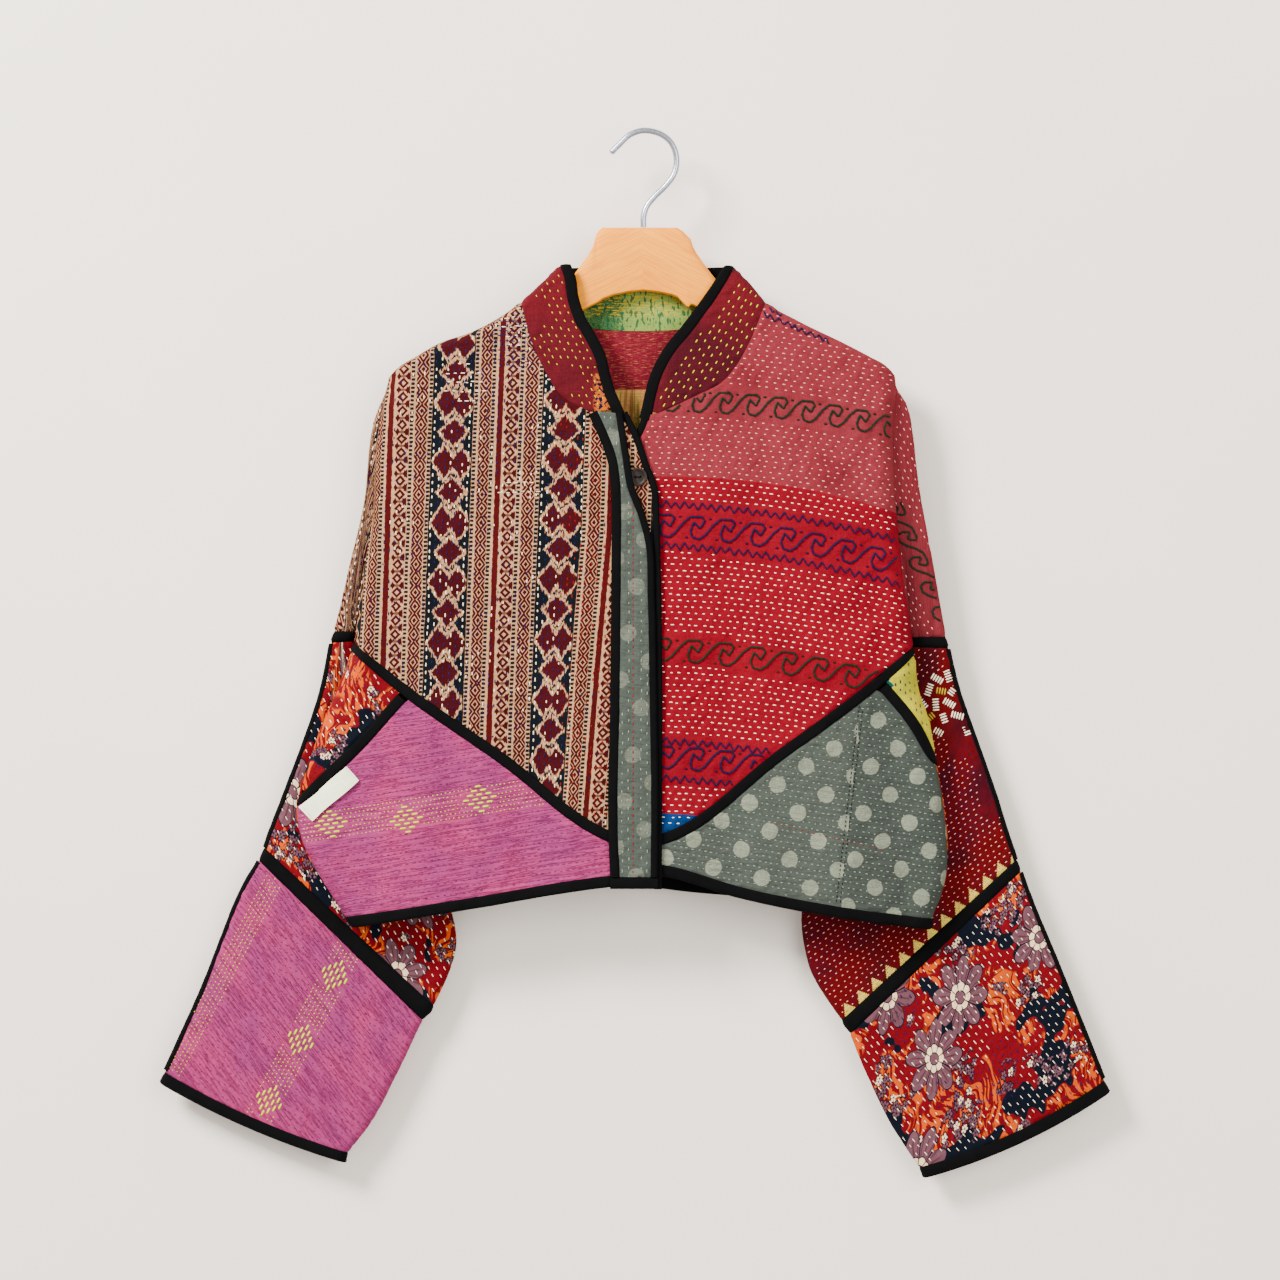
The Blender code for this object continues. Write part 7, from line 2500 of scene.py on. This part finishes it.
def sew_cuff_left(plan):
    rows = running("magenta thread", plan, -28, 5.0, 5.2, 2.6, 604, 0.8, wander=0.2)
    small = running("yellow thread", plan, CUFF_ANGLE, 3.5, 3.5, 1.2, 614, 0.85, where=cuff_band, wander=0.08)
    x, z = small.middles().T
    free = np.min([np.hypot(x - a, z - b) for a, b in CUFF_LOZENGES], axis=0) > 13.5
    figures = lozenges(plan, CUFF_LOZENGES, CUFF_ANGLE)
    return [rows.kept(~cuff_band(*rows.middles().T)), small.kept(free), *figures], []


def make_sleeves():
    left = (
        (ikat(), "ikat_cotton", sew_upper_left),
        (floral(), "flowered_cotton", sew_flowers(-62, 605), CREASES_SLEEVE_LEFT),
        (magenta(), "magenta_cotton", sew_cuff_left),
    )
    right = (
        (pink_and_scarlet(), "pink_cotton", sew_upper_right),
        (crimson(), "crimson_cotton", sew_crimson, CREASES_SLEEVE_RIGHT),
        (floral(), "flowered_cotton", sew_flowers(-50, 606)),
    )
    make_sleeve("left", LEFT_SLEEVE, left)
    make_sleeve("right", RIGHT_SLEEVE, right)


CREASES_SLEEVE_LEFT = [
    (-236, -480, -280, -600, 7, 1.4), (-205, -540, -290, -640, 6, 1.2), (-170, -640, -240, -700, 6, 1.2),
    (-215, -520, -255, -700, 8, 1.0),
]
CREASES_SLEEVE_RIGHT = [
    (230, -480, 262, -600, 7, 1.4), (185, -545, 280, -640, 6, 1.2), (150, -640, 235, -700, 6, 1.2),
    (205, -520, 245, -700, 8, 1.0),
]


# Hanger


def make_hook():
    """Round wire bent to a hook: rings square to its line, closed at both ends."""
    share = np.linspace(0, 1, 170)
    line = curve(HOOK_LINE)(share)
    points = np.stack([line[:, 0], 0 * line[:, 0], line[:, 1]], axis=-1)
    widths = HOOK_WIRE * np.sqrt(np.clip(1 - (1 - np.clip((1 - share) / 0.014, 0, 1)) ** 2, 0.02, 1))
    found, quads, triangles = pipe(points, widths, 24)
    hook = new_object("hanger_hook_visual", found, quads.tolist() + triangles.tolist(), [steel()], sharp=50)
    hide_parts("hanger_hook")


def make_board(name, side):
    """One board of the hanger: rounded sections whose top and bottom follow the table along x."""
    table = np.array(RIGHT_BOARD, float)
    x = np.concatenate([np.linspace(0.0, 33, 8), np.linspace(34, 187, 90)])
    curved = height_function(table[3:, :2]), height_function(table[3:, [0, 2]])
    flat_part = x <= 33
    top = np.where(flat_part, np.interp(x, table[:, 0], table[:, 1]), curved[0](x))
    low = np.where(flat_part, np.interp(x, table[:, 0], table[:, 2]), curved[1](x))
    drop = np.clip(top - (shoulder_height(HANGER_MIDDLE + side * x) - SHOULDER_CLEARANCE), 0, None)
    top, low = top - drop, low - drop
    half = HANGER_THICKNESS / 2
    edge = np.minimum(CROWN_DROP, (top - low) / 3)
    crown = CROWN_WIDTH / 2
    zero = 0 * x
    ring = [
        (-crown + 0.6, top - 0.05), (0, top), (crown - 0.6, top - 0.05), (crown + 0.5, top - 0.6),
        (half - 0.5, top - edge + 0.5), (half, top - edge - 0.8), (half, (top + low) / 2), (half, low + 3.2),
        (half - 0.7, low + 1.0), (half - 2.8, low), (0, low), (2.8 - half, low), (0.7 - half, low + 1.0),
        (-half, low + 3.2), (-half, (top + low) / 2), (-half, top - edge - 0.8),
        (0.5 - half, top - edge + 0.5), (-crown - 0.5, top - 0.6),
    ]
    points = np.stack([
        np.stack([HANGER_MIDDLE + side * x, y + zero, z + zero], axis=-1) for y, z in ring
    ], axis=1)
    count = points.shape[1]
    quads = grid_quads(len(x), count, wrap=True)
    caps = [list(range(count))[::-1], list(range((len(x) - 1) * count, len(x) * count))]
    flat = points.reshape(-1, 3)
    turned = outward(flat, quads)
    if turned[0, 0] != quads[0, 0]:
        caps = [cap[::-1] for cap in caps]
    board = new_object(name + "_visual", flat, turned.tolist() + caps, [beech()], sharp=40)
    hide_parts(name)


# Wall, light and camera


def wall_finish():
    """Pale painted wall, seen from its front only."""
    made = Finish("Pale wall", 0.95)
    x, _, z = made.place()
    clouds = noise(point(x * 0.004, z * 0.004, 1.0), 2.0)
    tree = made.tree
    colour = shaded("wall", clouds * 0.10 + 0.95)
    made.set_colour(colour)
    geometry = tree.nodes.new("ShaderNodeNewGeometry")
    clear = tree.nodes.new("ShaderNodeBsdfTransparent")
    both = tree.nodes.new("ShaderNodeMixShader")
    output = tree.nodes["Material Output"]
    tree.links.new(geometry.outputs["Backfacing"], both.inputs[0])
    tree.links.new(made.shader.outputs[0], both.inputs[1])
    tree.links.new(clear.outputs[0], both.inputs[2])
    tree.links.new(both.outputs[0], output.inputs["Surface"])
    return made.material


# Metres from here on.
WALL_HALF = 2.5
WALL_BEHIND = 0.040
AIM = (0, 0, -0.45)  # about the middle of the jacket
FOCAL_LENGTH = 109.8  # in millimetres, on a sensor of 36
CAMERA_PLACE = (-0.0008, -3.2, -0.4149)


def make_wall():
    """A square wall behind the jacket. Its front faces the camera."""
    mesh = bpy.data.meshes.new("wall")
    size, y, z = WALL_HALF, WALL_BEHIND, -0.43
    corners = [(-size, y, z - size), (size, y, z - size), (size, y, z + size), (-size, y, z + size)]
    mesh.from_pydata(corners, [], [(0, 1, 2, 3)])
    mesh.materials.append(wall_finish())
    wall = bpy.data.objects.new("wall", mesh)
    bpy.context.scene.collection.objects.link(wall)
    wall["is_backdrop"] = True


def add_light(name, place, aim, size, energy):
    data = bpy.data.lights.new(name, "AREA")
    data.shape = "SQUARE"
    data.size = size
    data.energy = energy
    light = bpy.data.objects.new(name, data)
    light.location = place
    way = np.array(aim, float) - np.array(place, float)
    light.rotation_euler = look_along(way)
    bpy.context.scene.collection.objects.link(light)
    light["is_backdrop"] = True


def look_along(way):
    """Turn that points an object's -z axis along a direction, with its y axis up."""
    x, y, z = way / np.linalg.norm(way)
    return (math.acos(-z), 0.0, math.atan2(-x, y))


def make_camera():
    data = bpy.data.cameras.new("camera")
    data.sensor_width = 36.0
    data.lens = FOCAL_LENGTH
    camera = bpy.data.objects.new("camera", data)
    camera.location = CAMERA_PLACE
    camera.rotation_euler = (math.pi / 2, 0, 0)
    bpy.context.scene.collection.objects.link(camera)
    bpy.context.scene.camera = camera


def make_world():
    world = bpy.data.worlds.new("studio")
    world.use_nodes = True
    world.node_tree.nodes["Background"].inputs[0].default_value = (1.0, 0.985, 0.97, 1)
    world.node_tree.nodes["Background"].inputs[1].default_value = 1.15
    bpy.context.scene.world = world


make_hook()
make_board("hanger_board_left", -1)
make_board("hanger_board_right", 1)
make_front_left()
make_front_right()
make_back()
make_collar()
make_fly()
make_button()
make_label()
make_sleeves()
make_wall()
add_light("key", (-1.9, -2.0, 1.5), AIM, 1.0, 300)
add_light("fill", (1.4, -2.8, 0.1), AIM, 1.8, 75)
make_camera()
make_world()

{"solids": CAD_BOX, "visual": [list(corner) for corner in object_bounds()]}
